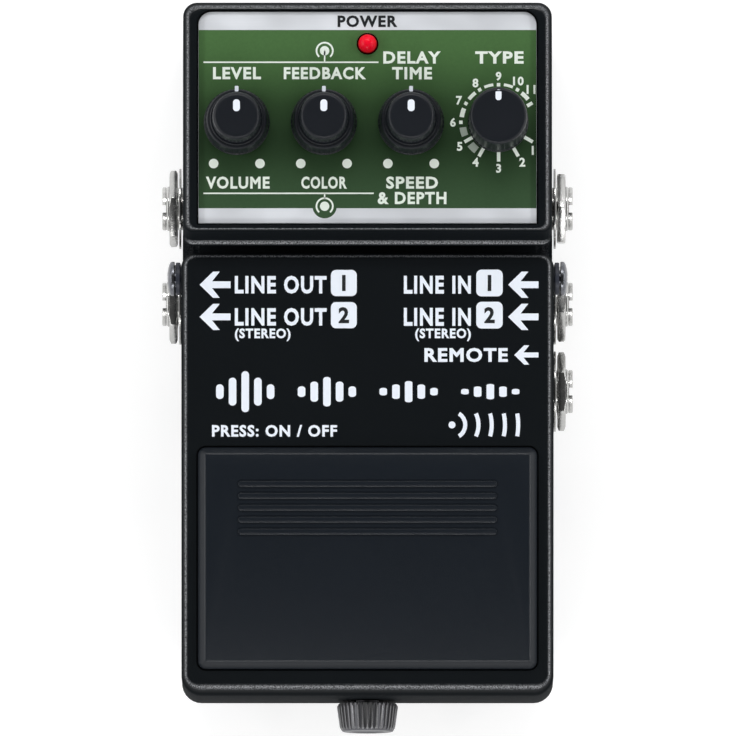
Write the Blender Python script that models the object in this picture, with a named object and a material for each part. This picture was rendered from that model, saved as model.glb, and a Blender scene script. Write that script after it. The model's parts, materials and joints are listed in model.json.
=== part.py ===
"""Compact delay pedal: die-cast case, sprung treadle, dual-concentric controls and phone jacks.

Metres, +Z up, +Y towards the power jack at the rear, +X to the right of the player.
The origin is the middle of the footprint at the height that the rubber base stands on.
"""
import math

import bmesh
import bpy
from mathutils import Matrix, Vector

MM = 0.001

# Case
CASE_HALF_W = 33.0 * MM
CASE_DRAFT = 0.3 * MM
CASE_REAR_Y = 63.0 * MM
CASE_FRONT_Y = -55.8 * MM
CASE_WALL = 2.2 * MM
CASE_CORNER_R = 2.5 * MM
CASE_FRONT_CORNER_R = 4.0 * MM
BLOCK_TOP_Z = 46.5 * MM
BLOCK_FRONT_Y = 22.3 * MM
BLOCK_EDGE_R = 1.2 * MM
BLOCK_SLOPE_RUN = 1.25 * MM
LEDGE_TOP_Z = 40.4 * MM
LEDGE_REACH = 0.9 * MM
LEDGE_THICK = 1.2 * MM
RECESS_SET_BACK = 0.5 * MM
RIM_WIDTH_SIDE = 2.4 * MM
RIM_WIDTH_FRONT = 1.0 * MM
RIM_WIDTH_REAR = 1.4 * MM
RIM_DEPTH = 1.4 * MM
RIM_CORNER_R = 2.6 * MM
PANEL_THICK = 2.2 * MM
BLOCK_WALL_FRONT = 2.0 * MM
BOSS_R = 3.2 * MM

# Treadle
TREADLE_PROUD = 0.05 * MM
TREADLE_REAR_Y = 18.9 * MM
TREADLE_REAR_Z = 41.0 * MM
TREADLE_FRONT_Y = -59.0 * MM
TREADLE_SLOPE = math.radians(8.6)
TREADLE_PLATE = 2.1 * MM
TREADLE_FLANGE = 2.2 * MM
TREADLE_FLANGE_DEPTH = 11.0 * MM
TREADLE_LIP_BOTTOM_Z = 9.4 * MM
TREADLE_LIP_THICK = 2.1 * MM
TREADLE_REAR_R = 1.6 * MM
TREADLE_FRONT_R = 2.2 * MM
TREADLE_SIDE_R = 1.1 * MM
TREADLE_CORNER_R = 3.5 * MM
TREADLE_HEEL_R = 3.7 * MM
TREADLE_REAR_CORNER_R = 2.5 * MM
TREADLE_REAR_LIP = 2.8 * MM
TREADLE_DECK_GAP = 4.4 * MM
TREADLE_SIDE_GAP = 0.8 * MM
SHOULDER_GAP_REAR = 0.6 * MM
SHOULDER_GAP_FRONT = 2.7 * MM
RIB_DEPTH = 1.5 * MM
RIB_THICK = 1.4 * MM
RIB_X = 14.0 * MM

# Hinge
HINGE_Y = 14.7 * MM
HINGE_Z = 34.9 * MM
HINGE_EAR_R = 3.0 * MM
HINGE_EAR_PROUD = 0.1 * MM
HINGE_SHANK_R = 1.5 * MM
HINGE_HEAD_R = 3.05 * MM
HINGE_HEAD_THICK = 1.3 * MM
HINGE_BUSH_R = 2.2 * MM
HINGE_BUSH_FLANGE_R = 2.9 * MM
HINGE_BUSH_FLANGE = 0.8 * MM
HINGE_SCREW_DEPTH = 5.0 * MM
HINGE_BOSS_DEPTH = 4.0 * MM

# Pad on the treadle
PAD_SIDE_MARGIN = 2.95 * MM
PAD_REAR_Y = -15.4 * MM
PAD_FRONT_Y = -54.4 * MM
PAD_THICK = 2.0 * MM
PAD_CHAMFER = 1.3 * MM
PAD_SINK = 0.6 * MM
PAD_CORNER_R = 1.4 * MM
PAD_RIB_COUNT = 5
PAD_RIB_MARGIN = 7.1 * MM
PAD_RIB_WIDTH = 1.1 * MM
PAD_RIB_PITCH = 2.1 * MM
PAD_RIB_HEIGHT = 0.35 * MM
PAD_RIB_BACK = 6.0 * MM

# Thumb screw and its guide
THUMB_Z = 15.0 * MM
THUMB_BASE_R = 5.45 * MM
THUMB_END_R = 4.95 * MM
THUMB_LENGTH = 5.0 * MM
THUMB_RIDGES = 26
THUMB_RIDGE_DEPTH = 0.28 * MM
THUMB_CHAMFER = 0.7 * MM
THUMB_SHANK_R = 2.0 * MM
THUMB_SHANK_LENGTH = 7.6 * MM
INSERT_R = 3.2 * MM
INSERT_THICK = 0.4 * MM
GUIDE_SLOT_HALF_W = 4.0 * MM
GUIDE_WALL = 1.4 * MM
GUIDE_FLOOR_Z = 9.4 * MM
GUIDE_TOP_Z = 19.5 * MM

# Base
RUBBER_THICK = 2.0 * MM
RUBBER_INSET = 1.6 * MM
PLATE_THICK = 1.2 * MM
PLATE_INSET = 0.5 * MM
BASE_SCREW_SIDE_MARGIN = 3.6 * MM
BASE_SCREW_REAR_MARGIN = 4.2 * MM
BASE_SCREW_FRONT_MARGIN = 3.2 * MM
BASE_SCREW_R = 1.3 * MM
BASE_SCREW_LENGTH = 8.0 * MM
BASE_HEAD_R = 2.5 * MM
BASE_HEAD_THICK = 1.2 * MM
RUBBER_NOTCH_R = 3.4 * MM

# Jacks
JACK_Z = 17.5 * MM
JACK_REAR_Y = 28.8 * MM
JACK_MIDDLE_Y = 11.7 * MM
JACK_CONTROL_Y = -3.9 * MM
JACK_STAND_OUT = 3.6 * MM
JACK_BARREL_R = 4.0 * MM
JACK_BORE_R = 3.2 * MM
JACK_BACK_WALL = 1.45 * MM
JACK_WELL_GAP = 0.85 * MM
JACK_COLLAR_R = 5.2 * MM
JACK_BODY_W = 15.0 * MM
JACK_BODY_H = 14.0 * MM
JACK_BODY_CHAMFER = 1.4 * MM
JACK_SLOT_W = 2.0 * MM
JACK_SLOT_DEPTH = 0.7 * MM
JACK_LIP_R = 3.6 * MM
JACK_LIP_DEPTH = 0.5 * MM
NUT_ACROSS_FLATS = 12.2 * MM
NUT_THICK = 1.5 * MM
NUT_CHAMFER = 0.35 * MM
WASHER_R = 7.2 * MM
WASHER_THICK = 0.4 * MM

# Power jack
POWER_X = 12.0 * MM
POWER_COLLAR_R = 4.2 * MM
POWER_COLLAR_END_Y = 64.5 * MM
POWER_BORE_R = 2.85 * MM
POWER_BORE_DEPTH = 9.0 * MM
POWER_PIN_R = 1.05 * MM
POWER_BODY_W = 9.6 * MM
POWER_BODY_H = 11.0 * MM
POWER_BODY_LENGTH = 12.0 * MM

# Controls
CONTROL_Y = 41.55 * MM
CONTROL_SIDE_MARGIN = 7.125 * MM
OUTER_KNOB_BASE_R = 5.85 * MM
OUTER_KNOB_TOP_R = 5.45 * MM
OUTER_KNOB_HEIGHT = 6.0 * MM
OUTER_KNOB_FLUTES = 20
INNER_KNOB_BASE_R = 4.75 * MM
INNER_KNOB_NECK_R = 4.35 * MM
INNER_KNOB_TOP_R = 3.75 * MM
INNER_KNOB_FLUTES = 16
INNER_KNOB_HEIGHT = 6.5 * MM
KNOB_EDGE_R = 0.5 * MM
KNOB_FLUTE_DEPTH = 0.22 * MM
MODE_KNOB_BASE_R = 5.6 * MM
MODE_KNOB_TOP_R = 5.0 * MM
MODE_KNOB_FLUTES = 22
POINTER_W = 1.3 * MM
POINTER_DEPTH = 0.25 * MM
OUTER_SHAFT_R = 2.5 * MM
OUTER_SHAFT_BORE_R = 1.9 * MM
INNER_SHAFT_R = 1.6 * MM
MODE_SHAFT_R = 3.0 * MM
SHAFT_SEAT = 2.0 * MM
POT_BUSHING_R = 3.5 * MM
POT_BODY_W = 11.0 * MM
POT_BODY_DEPTH = 12.5 * MM
POT_SHAFT_DEPTH = 3.0 * MM
POT_BUSHING_RISE = 1.0 * MM
LABEL_THICK = 0.4 * MM
LED_Y = 55.6 * MM
LED_R = 1.65 * MM
LED_DOME_RISE = 1.9 * MM
LED_FOOT_R = 2.3 * MM

# Boards
BOARD_THICK = 1.6 * MM
BOARD_SIDE_MARGIN = 1.2 * MM
MAIN_BOARD_REAR_Y = 55.4 * MM
POT_BOARD_MARGIN = 7.5 * MM

# Battery bay, battery and snap
BATTERY_END_ROOM = 2.2 * MM
BATTERY_W = 26.2 * MM
BATTERY_H = 17.0 * MM
BATTERY_TERMINAL_R = 2.6 * MM
BATTERY_TERMINAL_H = 1.6 * MM
BATTERY_TERMINAL_SPACING = 12.7 * MM
SNAP_THICK = 2.4 * MM
BAY_CLEARANCE = 0.6 * MM
BAY_FRONT_Y = -50.4 * MM
PARTITION = 1.8 * MM

# Return spring and its well
SPRING_MEAN_R = 5.2 * MM
SPRING_WIRE_R = 0.65 * MM
SPRING_TURNS = 8
SPRING_POINTS = 10
SPRING_END_SHARE = 0.35
WELL_R = 6.8 * MM
WELL_WALL = 1.5 * MM
WELL_FLOOR = 1.5 * MM
SPRING_PEG_R = 3.6 * MM
SPRING_PEG_H = 3.0 * MM

# Foot switch
SWITCH_WELL_GAP = 1.5 * MM
SWITCH_BODY_W = 12.0 * MM
SWITCH_BODY_H = 13.5 * MM
SWITCH_STEM_R = 3.6 * MM
BUTTON_R = 2.5 * MM
BUTTON_RISE = 1.9 * MM
PUSHER_R = 3.4 * MM
PUSHER_GAP = 0.95 * MM

# Shares chosen by hand
LIP_LEAD_DEG = 2
LEDGE_TIP_SHARE = 0.65
LEDGE_BROW_SHARE = 0.25
LEDGE_CREST_SHARE = 0.8
HEAD_RIM_SHARE = 0.8
HINGE_HEAD_EDGE_SHARE = 0.45
KNOB_SHOULDER_SHARE = 1.5
KNOB_BROW_SHARE = 0.3
KNOB_BROW_DROP_SHARE = 0.4
TROUGH_SHARE = 0.66
KNOB_FOOT_SHARE = 0.12
KNOB_NECK_SHARE = 0.2
POINTER_START_SHARE = 0.42

# Clearances
FIT = 0.3 * MM
STACK = 0.2 * MM
RUN = 0.2 * MM
OVERRUN = 2.0 * MM
TOP_GAP = 0.5 * MM
WELD = 0.001 * MM

ROUND = 24
SMALL_ROUND = 16

# Sizes that follow from the ones above
PLATE_Z = RUBBER_THICK + FIT
CASE_Z = PLATE_Z + PLATE_THICK + FIT
TREADLE_HALF_W = CASE_HALF_W + TREADLE_PROUD
CASE_UPPER_HALF_W = TREADLE_HALF_W - TREADLE_FLANGE - TREADLE_SIDE_GAP
CASE_INNER_HALF_W = CASE_HALF_W - CASE_WALL
RECESS_FLOOR_Z = BLOCK_TOP_Z - RIM_DEPTH
RECESS_HALF_W = CASE_HALF_W - CASE_DRAFT - RIM_WIDTH_SIDE
RECESS_FRONT_Y = BLOCK_FRONT_Y + RIM_WIDTH_FRONT
RECESS_REAR_Y = CASE_REAR_Y - RIM_WIDTH_REAR
PANEL_UNDER_Z = RECESS_FLOOR_Z - PANEL_THICK
LEDGE_WALL_Y = BLOCK_FRONT_Y - RECESS_SET_BACK
LEDGE_TIP_Y = BLOCK_FRONT_Y - BLOCK_SLOPE_RUN - LEDGE_REACH
BLOCK_CAVITY_FRONT_Y = BLOCK_FRONT_Y + BLOCK_WALL_FRONT
CASE_CAVITY_REAR_Y = CASE_REAR_Y - CASE_WALL
LABEL_Z = RECESS_FLOOR_Z + STACK
LABEL_TOP_Z = LABEL_Z + LABEL_THICK
OUTER_KNOB_Z = LABEL_TOP_Z + TOP_GAP
INNER_KNOB_Z = OUTER_KNOB_Z + OUTER_KNOB_HEIGHT + FIT
KNOB_TOP_Z = INNER_KNOB_Z + INNER_KNOB_HEIGHT
JACK_PLACES = [
    ("jack_out_b", -1, JACK_REAR_Y),
    ("jack_out_a", -1, JACK_MIDDLE_Y),
    ("jack_in_b", 1, JACK_REAR_Y),
    ("jack_in_a", 1, JACK_MIDDLE_Y),
    ("jack_control", 1, JACK_CONTROL_Y),
]
CONTROL_X = RECESS_HALF_W - CONTROL_SIDE_MARGIN
CONTROL_XS = [-CONTROL_X, -CONTROL_X / 3, CONTROL_X / 3, CONTROL_X]
PAD_HALF_W = TREADLE_HALF_W - PAD_SIDE_MARGIN
BASE_SCREW_X = CASE_HALF_W - BASE_SCREW_SIDE_MARGIN
BASE_SCREW_REAR_Y = CASE_REAR_Y - BASE_SCREW_REAR_MARGIN
BASE_SCREW_FRONT_Y = CASE_FRONT_Y + BASE_SCREW_FRONT_MARGIN
JACK_END_X = CASE_HALF_W + JACK_STAND_OUT
BAY_HALF_W = CASE_UPPER_HALF_W - CASE_WALL - BAY_CLEARANCE / 2
BATTERY_ROOM = BAY_HALF_W - BAY_CLEARANCE / 2
BATTERY_L = 2 * BATTERY_ROOM - BATTERY_TERMINAL_H - FIT - SNAP_THICK - BATTERY_END_ROOM
MAIN_BOARD_HALF_W = CASE_INNER_HALF_W - BOARD_SIDE_MARGIN
POT_BOARD_HALF_W = MAIN_BOARD_HALF_W - CASE_DRAFT
BAY_REAR_Y = BAY_FRONT_Y + BATTERY_W + BAY_CLEARANCE
SPRING_Y = BAY_REAR_Y + PARTITION + WELL_R + WELL_WALL + STACK
MAIN_BOARD_Z = JACK_Z - JACK_BODY_H / 2 - FIT - BOARD_THICK
MAIN_BOARD_TOP_Z = MAIN_BOARD_Z + BOARD_THICK
MAIN_BOARD_FRONT_Y = BAY_REAR_Y + PARTITION + FIT
POT_BODY_TOP_Z = PANEL_UNDER_Z - FIT
POT_BOARD_TOP_Z = POT_BODY_TOP_Z - POT_BODY_DEPTH - FIT
WELL_OUTER_R = WELL_R + WELL_WALL
SWITCH_X = -(WELL_OUTER_R + SWITCH_BODY_W / 2 + SWITCH_WELL_GAP)
WELL_FLOOR_TOP_Z = CASE_Z + WELL_FLOOR
JACK_BODY_INNER_X = WELL_OUTER_R + JACK_WELL_GAP
JACK_COLLAR_OUT_X = CASE_INNER_HALF_W - FIT
JACK_BODY_OUT_X = CASE_UPPER_HALF_W - CASE_WALL - FIT


def treadle_top_z(y):
    """Height of the treadle's sloping top face above a place along the pedal."""
    return TREADLE_REAR_Z - math.tan(TREADLE_SLOPE) * (TREADLE_REAR_Y - y)


def treadle_under_z(y):
    """Height of the treadle plate's lower face."""
    return treadle_top_z(y) - TREADLE_PLATE / math.cos(TREADLE_SLOPE)


def deck_z(y):
    """Height of the case's front deck, which runs parallel to the treadle."""
    return treadle_under_z(y) - TREADLE_DECK_GAP


def flange_edge_z(y):
    """Height of the lower edge of the treadle's side flanges."""
    return treadle_top_z(y) - TREADLE_FLANGE_DEPTH


def shoulder_z(y):
    """Height of the case's shoulder under the flanges, with room for the treadle's travel."""
    share = (HINGE_Y - y) / (HINGE_Y - CASE_FRONT_Y)
    return flange_edge_z(y) - SHOULDER_GAP_REAR - (SHOULDER_GAP_FRONT - SHOULDER_GAP_REAR) * share


# Tools

def clear_scene():
    for obj in list(bpy.data.objects):
        bpy.data.objects.remove(obj, do_unlink=True)


def make_material(name, colour, roughness, metallic=0.0):
    material = bpy.data.materials.new(name)
    material.use_nodes = True
    shader = material.node_tree.nodes["Principled BSDF"]
    shader.inputs["Base Color"].default_value = (*colour, 1.0)
    shader.inputs["Roughness"].default_value = roughness
    shader.inputs["Metallic"].default_value = metallic
    return material


def make_object(name, bm, material=None):
    """Turn a bmesh into a scene object with smooth round faces and sharp edges."""
    bmesh.ops.recalc_face_normals(bm, faces=bm.faces)
    mesh = bpy.data.meshes.new(name)
    bm.to_mesh(mesh)
    bm.free()
    mesh.shade_smooth()
    mesh.set_sharp_from_angle(angle=math.radians(35))
    if material:
        mesh.materials.append(material)
    obj = bpy.data.objects.new(name, mesh)
    bpy.context.scene.collection.objects.link(obj)
    return obj


def arc(centre_a, centre_b, radius, start_deg, end_deg, steps):
    """Points along an arc, both ends included."""
    points = []
    for step in range(steps + 1):
        angle = math.radians(start_deg + (end_deg - start_deg) * step / steps)
        points.append((centre_a + radius * math.cos(angle), centre_b + radius * math.sin(angle)))
    return points


def rounded_box_outline(x0, x1, y0, y1, radius, steps=3):
    """Counter-clockwise outline of a rectangle with round corners."""
    points = arc(x1 - radius, y1 - radius, radius, 0, 90, steps)
    points += arc(x0 + radius, y1 - radius, radius, 90, 180, steps)
    points += arc(x0 + radius, y0 + radius, radius, 180, 270, steps)
    points += arc(x1 - radius, y0 + radius, radius, 270, 360, steps)
    return points


def stacked_loops(loops, close=False):
    """Skin a stack of point loops of equal length, with capped ends unless it closes on itself."""
    bm = bmesh.new()
    rings = [[bm.verts.new(point) for point in loop] for loop in loops]
    pairs = list(zip(rings, rings[1:]))
    if close:
        pairs.append((rings[-1], rings[0]))
    for low, high in pairs:
        count = len(low)
        for place in range(count):
            after = (place + 1) % count
            bm.faces.new((low[place], low[after], high[after], high[place]))
    if not close:
        bm.faces.new(list(reversed(rings[0])))
        bm.faces.new(rings[-1])
    return bm


def slab(outline, low_z, high_z):
    """Upright prism over an outline; each height is a number or a function of y."""
    def height(level, y):
        return level(y) if callable(level) else level
    low = [(x, y, height(low_z, y)) for x, y in outline]
    high = [(x, y, height(high_z, y)) for x, y in outline]
    return stacked_loops([low, high])


def block(x0, x1, y0, y1, z0, z1):
    return slab([(x0, y0), (x1, y0), (x1, y1), (x0, y1)], z0, z1)


def turned(profile, segments=ROUND, hollow=False, flutes=None):
    """Turn a (radius, height) profile round Z.

    A solid profile starts and ends on the axis; a hollow one closes on itself.
    With flutes, a third value on a profile point is the depth of its grooves.
    """
    bm = bmesh.new()
    rings = []
    for radius, z, *rest in profile:
        groove = rest[0] if rest else 0.0
        if radius == 0:
            rings.append([bm.verts.new((0.0, 0.0, z))])
            continue
        ring = []
        for place in range(segments):
            angle = 2 * math.pi * place / segments
            reach = radius
            if flutes and groove and place % 2:
                reach -= groove
            ring.append(bm.verts.new((reach * math.cos(angle), reach * math.sin(angle), z)))
        rings.append(ring)
    pairs = list(zip(rings, rings[1:]))
    if hollow:
        pairs.append((rings[-1], rings[0]))
    for low, high in pairs:
        for place in range(segments):
            after = (place + 1) % segments
            if len(low) == 1:
                bm.faces.new((low[0], high[after], high[place]))
            elif len(high) == 1:
                bm.faces.new((low[place], low[after], high[0]))
            else:
                bm.faces.new((low[place], low[after], high[after], high[place]))
    return bm


def rod(radius, z0, z1, segments=SMALL_ROUND):
    return turned([(0, z0), (radius, z0), (radius, z1), (0, z1)], segments)


def tube(outer, inner, z0, z1, segments=SMALL_ROUND):
    return turned([(outer, z0), (outer, z1), (inner, z1), (inner, z0)], segments, hollow=True)


def along(bm, axis):
    """Lay a bmesh built along Z along another axis."""
    turns = {
        "+X": Matrix.Rotation(math.radians(90), 4, "Y"),
        "-X": Matrix.Rotation(math.radians(-90), 4, "Y"),
        "+Y": Matrix.Rotation(math.radians(-90), 4, "X"),
        "-Y": Matrix.Rotation(math.radians(90), 4, "X"),
    }
    bm.transform(turns[axis])
    return bm


def moved(bm, x=0.0, y=0.0, z=0.0):
    bm.transform(Matrix.Translation((x, y, z)))
    return bm


def combine(obj, bm, operation):
    """Join a shape to an object, cut it away, or keep what both share."""
    tool = make_object(obj.name + "_tool", bm)
    tool.hide_render = True
    tool.display_type = "WIRE"
    modifier = obj.modifiers.new(operation.lower(), "BOOLEAN")
    modifier.operation = operation
    modifier.solver = "EXACT"
    modifier.object = tool
    return tool


def settle(obj, tools):
    """Fix an object's Boolean result and drop the shapes that made it."""
    bpy.context.view_layer.update()
    graph = bpy.context.evaluated_depsgraph_get()
    mesh = bpy.data.meshes.new_from_object(obj.evaluated_get(graph))
    bm = bmesh.new()
    bm.from_mesh(mesh)
    bmesh.ops.remove_doubles(bm, verts=bm.verts, dist=WELD)
    bmesh.ops.dissolve_degenerate(bm, edges=bm.edges, dist=WELD)
    bm.to_mesh(mesh)
    bm.free()
    obj.modifiers.clear()
    obj.data = mesh
    mesh.name = obj.name
    mesh.set_sharp_from_angle(angle=math.radians(35))
    for tool in tools:
        bpy.data.objects.remove(tool, do_unlink=True)
    return obj


def carve(obj, additions=(), cuts=()):
    """Join the additions to an object, take the cuts away, and settle it."""
    tools = [combine(obj, bm, "UNION") for bm in additions]
    tools += [combine(obj, bm, "DIFFERENCE") for bm in cuts]
    return settle(obj, tools)


def set_origin(obj, place):
    """Put an object's origin on a joint's axis without moving its shape."""
    place = Vector(place)
    obj.data.transform(Matrix.Translation(-place))
    obj.location = place


# Materials

def make_materials():
    return {
        "case_paint": make_material("case_paint", (0.022, 0.024, 0.028), 0.42, 0.2),
        "label_green": make_material("label_green", (0.06, 0.12, 0.04), 0.45),
        "rubber_black": make_material("rubber_black", (0.014, 0.016, 0.02), 0.7),
        "knob_black": make_material("knob_black", (0.016, 0.017, 0.02), 0.38),
        "nickel": make_material("nickel", (0.72, 0.72, 0.7), 0.22, 1.0),
        "dark_chrome": make_material("dark_chrome", (0.32, 0.33, 0.35), 0.25, 1.0),
        "thumb_steel": make_material("thumb_steel", (0.2, 0.2, 0.2), 0.4, 0.9),
        "zinc_steel": make_material("zinc_steel", (0.55, 0.56, 0.58), 0.35, 1.0),
        "board": make_material("board", (0.02, 0.13, 0.06), 0.5),
        "black_plastic": make_material("black_plastic", (0.02, 0.02, 0.022), 0.5),
        "blue_nylon": make_material("blue_nylon", (0.12, 0.14, 0.2), 0.5),
        "led_red": make_material("led_red", (0.8, 0.01, 0.01), 0.15),
        "battery_skin": make_material("battery_skin", (0.35, 0.36, 0.38), 0.35, 0.4),
        "plunger_white": make_material("plunger_white", (0.8, 0.8, 0.78), 0.5),
    }


# Case

def block_outline(half_w, front_y, rear_y, radius):
    """Outline of the control block: round rear corners, tight front ones."""
    front_r = min(radius, BLOCK_EDGE_R)
    points = arc(half_w - radius, rear_y - radius, radius, 0, 90, 4)
    points += arc(-half_w + radius, rear_y - radius, radius, 90, 180, 4)
    points += arc(-half_w + front_r, front_y + front_r, front_r, 180, 270, 2)
    points += arc(half_w - front_r, front_y + front_r, front_r, 270, 360, 2)
    return points


def control_block():
    """The raised rear block with the ledge under its front edge and a round top edge."""
    levels = [
        (CASE_Z, LEDGE_WALL_Y, 0.0),
        (LEDGE_TOP_Z - LEDGE_THICK - FIT, LEDGE_WALL_Y, 0.0),
        (LEDGE_TOP_Z - LEDGE_THICK, LEDGE_TIP_Y + FIT, 0.0),
        (LEDGE_TOP_Z - LEDGE_THICK * LEDGE_TIP_SHARE, LEDGE_TIP_Y, 0.0),
        (LEDGE_TOP_Z - LEDGE_THICK * LEDGE_BROW_SHARE, LEDGE_TIP_Y + FIT / 2, 0.0),
        (LEDGE_TOP_Z, LEDGE_TIP_Y + LEDGE_REACH * LEDGE_CREST_SHARE, 0.0),
        (BLOCK_TOP_Z - BLOCK_EDGE_R, BLOCK_FRONT_Y - FIT, 0.0),
    ]
    for step in (1, 2, 3):
        turn = math.radians(30 * step)
        inset = BLOCK_EDGE_R * (1 - math.cos(turn))
        rise = BLOCK_EDGE_R * math.sin(turn)
        levels.append((BLOCK_TOP_Z - BLOCK_EDGE_R + rise, BLOCK_FRONT_Y - FIT, inset))
    loops = []
    for z, front_y, inset in levels:
        draft = CASE_DRAFT * (z - CASE_Z) / (BLOCK_TOP_Z - CASE_Z)
        outline = block_outline(
            CASE_HALF_W - draft - inset, front_y + inset / 2, CASE_REAR_Y - inset, CASE_CORNER_R
        )
        loops.append([(x, y, z) for x, y in outline])
    return stacked_loops(loops)


def front_body():
    """The full-width lower front, up to the shoulder under the treadle's flanges."""
    join_y = LEDGE_WALL_Y + CASE_WALL / 2
    corner_r = CASE_FRONT_CORNER_R
    outline = [(CASE_HALF_W - CASE_DRAFT / 2, join_y), (-CASE_HALF_W + CASE_DRAFT / 2, join_y)]
    outline += arc(-CASE_HALF_W + CASE_DRAFT / 2 + corner_r, CASE_FRONT_Y + corner_r, corner_r, 180,
                   270, 4)
    outline += arc(CASE_HALF_W - CASE_DRAFT / 2 - corner_r, CASE_FRONT_Y + corner_r, corner_r, 270,
                   360, 4)
    return slab(outline, CASE_Z, shoulder_z)


def deck_body():
    """The narrower upper front that the treadle closes over."""
    outline = rounded_box_outline(
        -CASE_UPPER_HALF_W, CASE_UPPER_HALF_W, CASE_FRONT_Y, trough_front_y(), CASE_WALL / 2, 2
    )
    return slab(outline, CASE_Z, deck_z)


def trough_body():
    """The lower deck behind the hinge, where the treadle's rear edge swings down."""
    return block(-CASE_UPPER_HALF_W + FIT / 2, CASE_UPPER_HALF_W - FIT / 2, HINGE_Y,
                 LEDGE_WALL_Y + CASE_WALL / 2,
                 CASE_Z, trough_z())


def hinge_ear(side):
    outer = CASE_UPPER_HALF_W + HINGE_EAR_PROUD
    ear = along(rod(HINGE_EAR_R, -HINGE_BOSS_DEPTH / 2, HINGE_BOSS_DEPTH / 2), "+X")
    return moved(ear, side * (outer - HINGE_BOSS_DEPTH / 2), HINGE_Y, HINGE_Z)


def make_case(materials):
    case = make_object("case", control_block(), materials["case_paint"])
    carve(case, [front_body(), deck_body(), trough_body(), hinge_ear(1), hinge_ear(-1)])

    upper_half_w = CASE_UPPER_HALF_W - CASE_WALL
    below = CASE_Z - OVERRUN
    cavity_top_rear = shoulder_z(LEDGE_WALL_Y) - CASE_WALL
    cuts = [
        block(-CASE_INNER_HALF_W, CASE_INNER_HALF_W, BAY_FRONT_Y, LEDGE_WALL_Y,
              below, lambda y: shoulder_z(y) - CASE_WALL),
        block(-upper_half_w, upper_half_w, BAY_FRONT_Y, trough_front_y() - CASE_WALL,
              below, lambda y: deck_z(y) - CASE_WALL),
        block(-upper_half_w, upper_half_w, trough_front_y() - CASE_WALL - OVERRUN,
              BLOCK_CAVITY_FRONT_Y + OVERRUN,
              below, trough_z() - CASE_WALL),
        block(-CASE_INNER_HALF_W, CASE_INNER_HALF_W, LEDGE_WALL_Y - OVERRUN,
              BLOCK_CAVITY_FRONT_Y + OVERRUN,
              below, cavity_top_rear),
        slab(rounded_box_outline(-CASE_INNER_HALF_W + CASE_DRAFT, CASE_INNER_HALF_W - CASE_DRAFT,
                                 BLOCK_CAVITY_FRONT_Y, CASE_CAVITY_REAR_Y, BLOCK_EDGE_R, 2),
             below, PANEL_UNDER_Z),
    ]
    carve(case, cuts=cuts)

    partition = block(
        -CASE_INNER_HALF_W, CASE_INNER_HALF_W, BAY_REAR_Y, BAY_REAR_Y + PARTITION,
        CASE_Z, lambda y: shoulder_z(y) - CASE_WALL / 2,
    )
    partition_top = block(
        -upper_half_w - FIT, upper_half_w + FIT, BAY_REAR_Y, BAY_REAR_Y + PARTITION,
        JACK_Z, lambda y: deck_z(y) - CASE_WALL / 2,
    )
    well = slab_round(WELL_OUTER_R, CASE_Z, lambda y: deck_z(y) - CASE_WALL / 2, SPRING_Y)
    bosses = [
        moved(rod(BOSS_R, CASE_Z + FIT, CASE_Z + BASE_SCREW_LENGTH + CASE_WALL), side * BASE_SCREW_X,
              BASE_SCREW_REAR_Y)
        for side in (-1, 1)
    ]
    carve(case, additions=[partition, partition_top, well] + bosses)

    cuts = [
        block(-BAY_HALF_W, BAY_HALF_W, BAY_FRONT_Y, BAY_REAR_Y, JACK_Z, BLOCK_TOP_Z),
        slab_round(WELL_R, WELL_FLOOR_TOP_Z, BLOCK_TOP_Z, SPRING_Y),
        moved(rod(SWITCH_STEM_R + FIT, MAIN_BOARD_TOP_Z, BLOCK_TOP_Z), SWITCH_X, SPRING_Y),
        slab(panel_outline(0.0), RECESS_FLOOR_Z, BLOCK_TOP_Z + OVERRUN),
        moved(rod(LED_R + FIT, PANEL_UNDER_Z - OVERRUN, BLOCK_TOP_Z), 0.0, LED_Y),
        block(-GUIDE_SLOT_HALF_W - FIT, GUIDE_SLOT_HALF_W + FIT, CASE_FRONT_Y - OVERRUN,
              BAY_FRONT_Y + OVERRUN,
              GUIDE_FLOOR_Z - FIT, BLOCK_TOP_Z),
    ]
    for x in CONTROL_XS:
        cuts.append(moved(rod(POT_BUSHING_R + FIT, PANEL_UNDER_Z - OVERRUN, BLOCK_TOP_Z, ROUND), x,
                          CONTROL_Y))
    for _, side, y in JACK_PLACES:
        hole = along(rod(JACK_BARREL_R + FIT, -CASE_WALL * 2, CASE_WALL * 2, ROUND), "+X")
        cuts.append(moved(hole, side * CASE_HALF_W, y, JACK_Z))
    for side in (-1, 1):
        for y in (BASE_SCREW_REAR_Y, BASE_SCREW_FRONT_Y):
            cuts.append(moved(rod(BASE_SCREW_R + FIT, CASE_Z - OVERRUN, CASE_Z + BASE_SCREW_LENGTH),
                              side * BASE_SCREW_X, y))
        pilot = along(rod(HINGE_SHANK_R + FIT, -HINGE_BOSS_DEPTH * 2, HINGE_BOSS_DEPTH * 2), "+X")
        cuts.append(moved(pilot, side * CASE_UPPER_HALF_W, HINGE_Y, HINGE_Z))
    power_hole = along(rod(POWER_COLLAR_R + FIT, -CASE_WALL * 2, CASE_WALL * 2, ROUND), "+Y")
    cuts.append(moved(power_hole, POWER_X, CASE_REAR_Y, power_z()))
    carve(case, cuts=cuts)
    return case


def slab_round(radius, low_z, high_z, y, segments=ROUND):
    """Upright round prism on the centre line whose ends may follow a slope."""
    outline = arc(0.0, y, radius, 0, 360 - 360 / segments, segments - 1)
    return slab(outline, low_z, high_z)


def trough_front_y():
    """Where the deck drops to let the treadle's rear edge swing down behind the hinge."""
    return HINGE_Y + HINGE_EAR_R - TOP_GAP


def trough_z():
    swing = math.hypot(TREADLE_REAR_Y - TREADLE_REAR_R - HINGE_Y,
                       TREADLE_REAR_Z - TREADLE_REAR_R - HINGE_Z)
    return HINGE_Z - (swing + TREADLE_REAR_R) * TROUGH_SHARE


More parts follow.
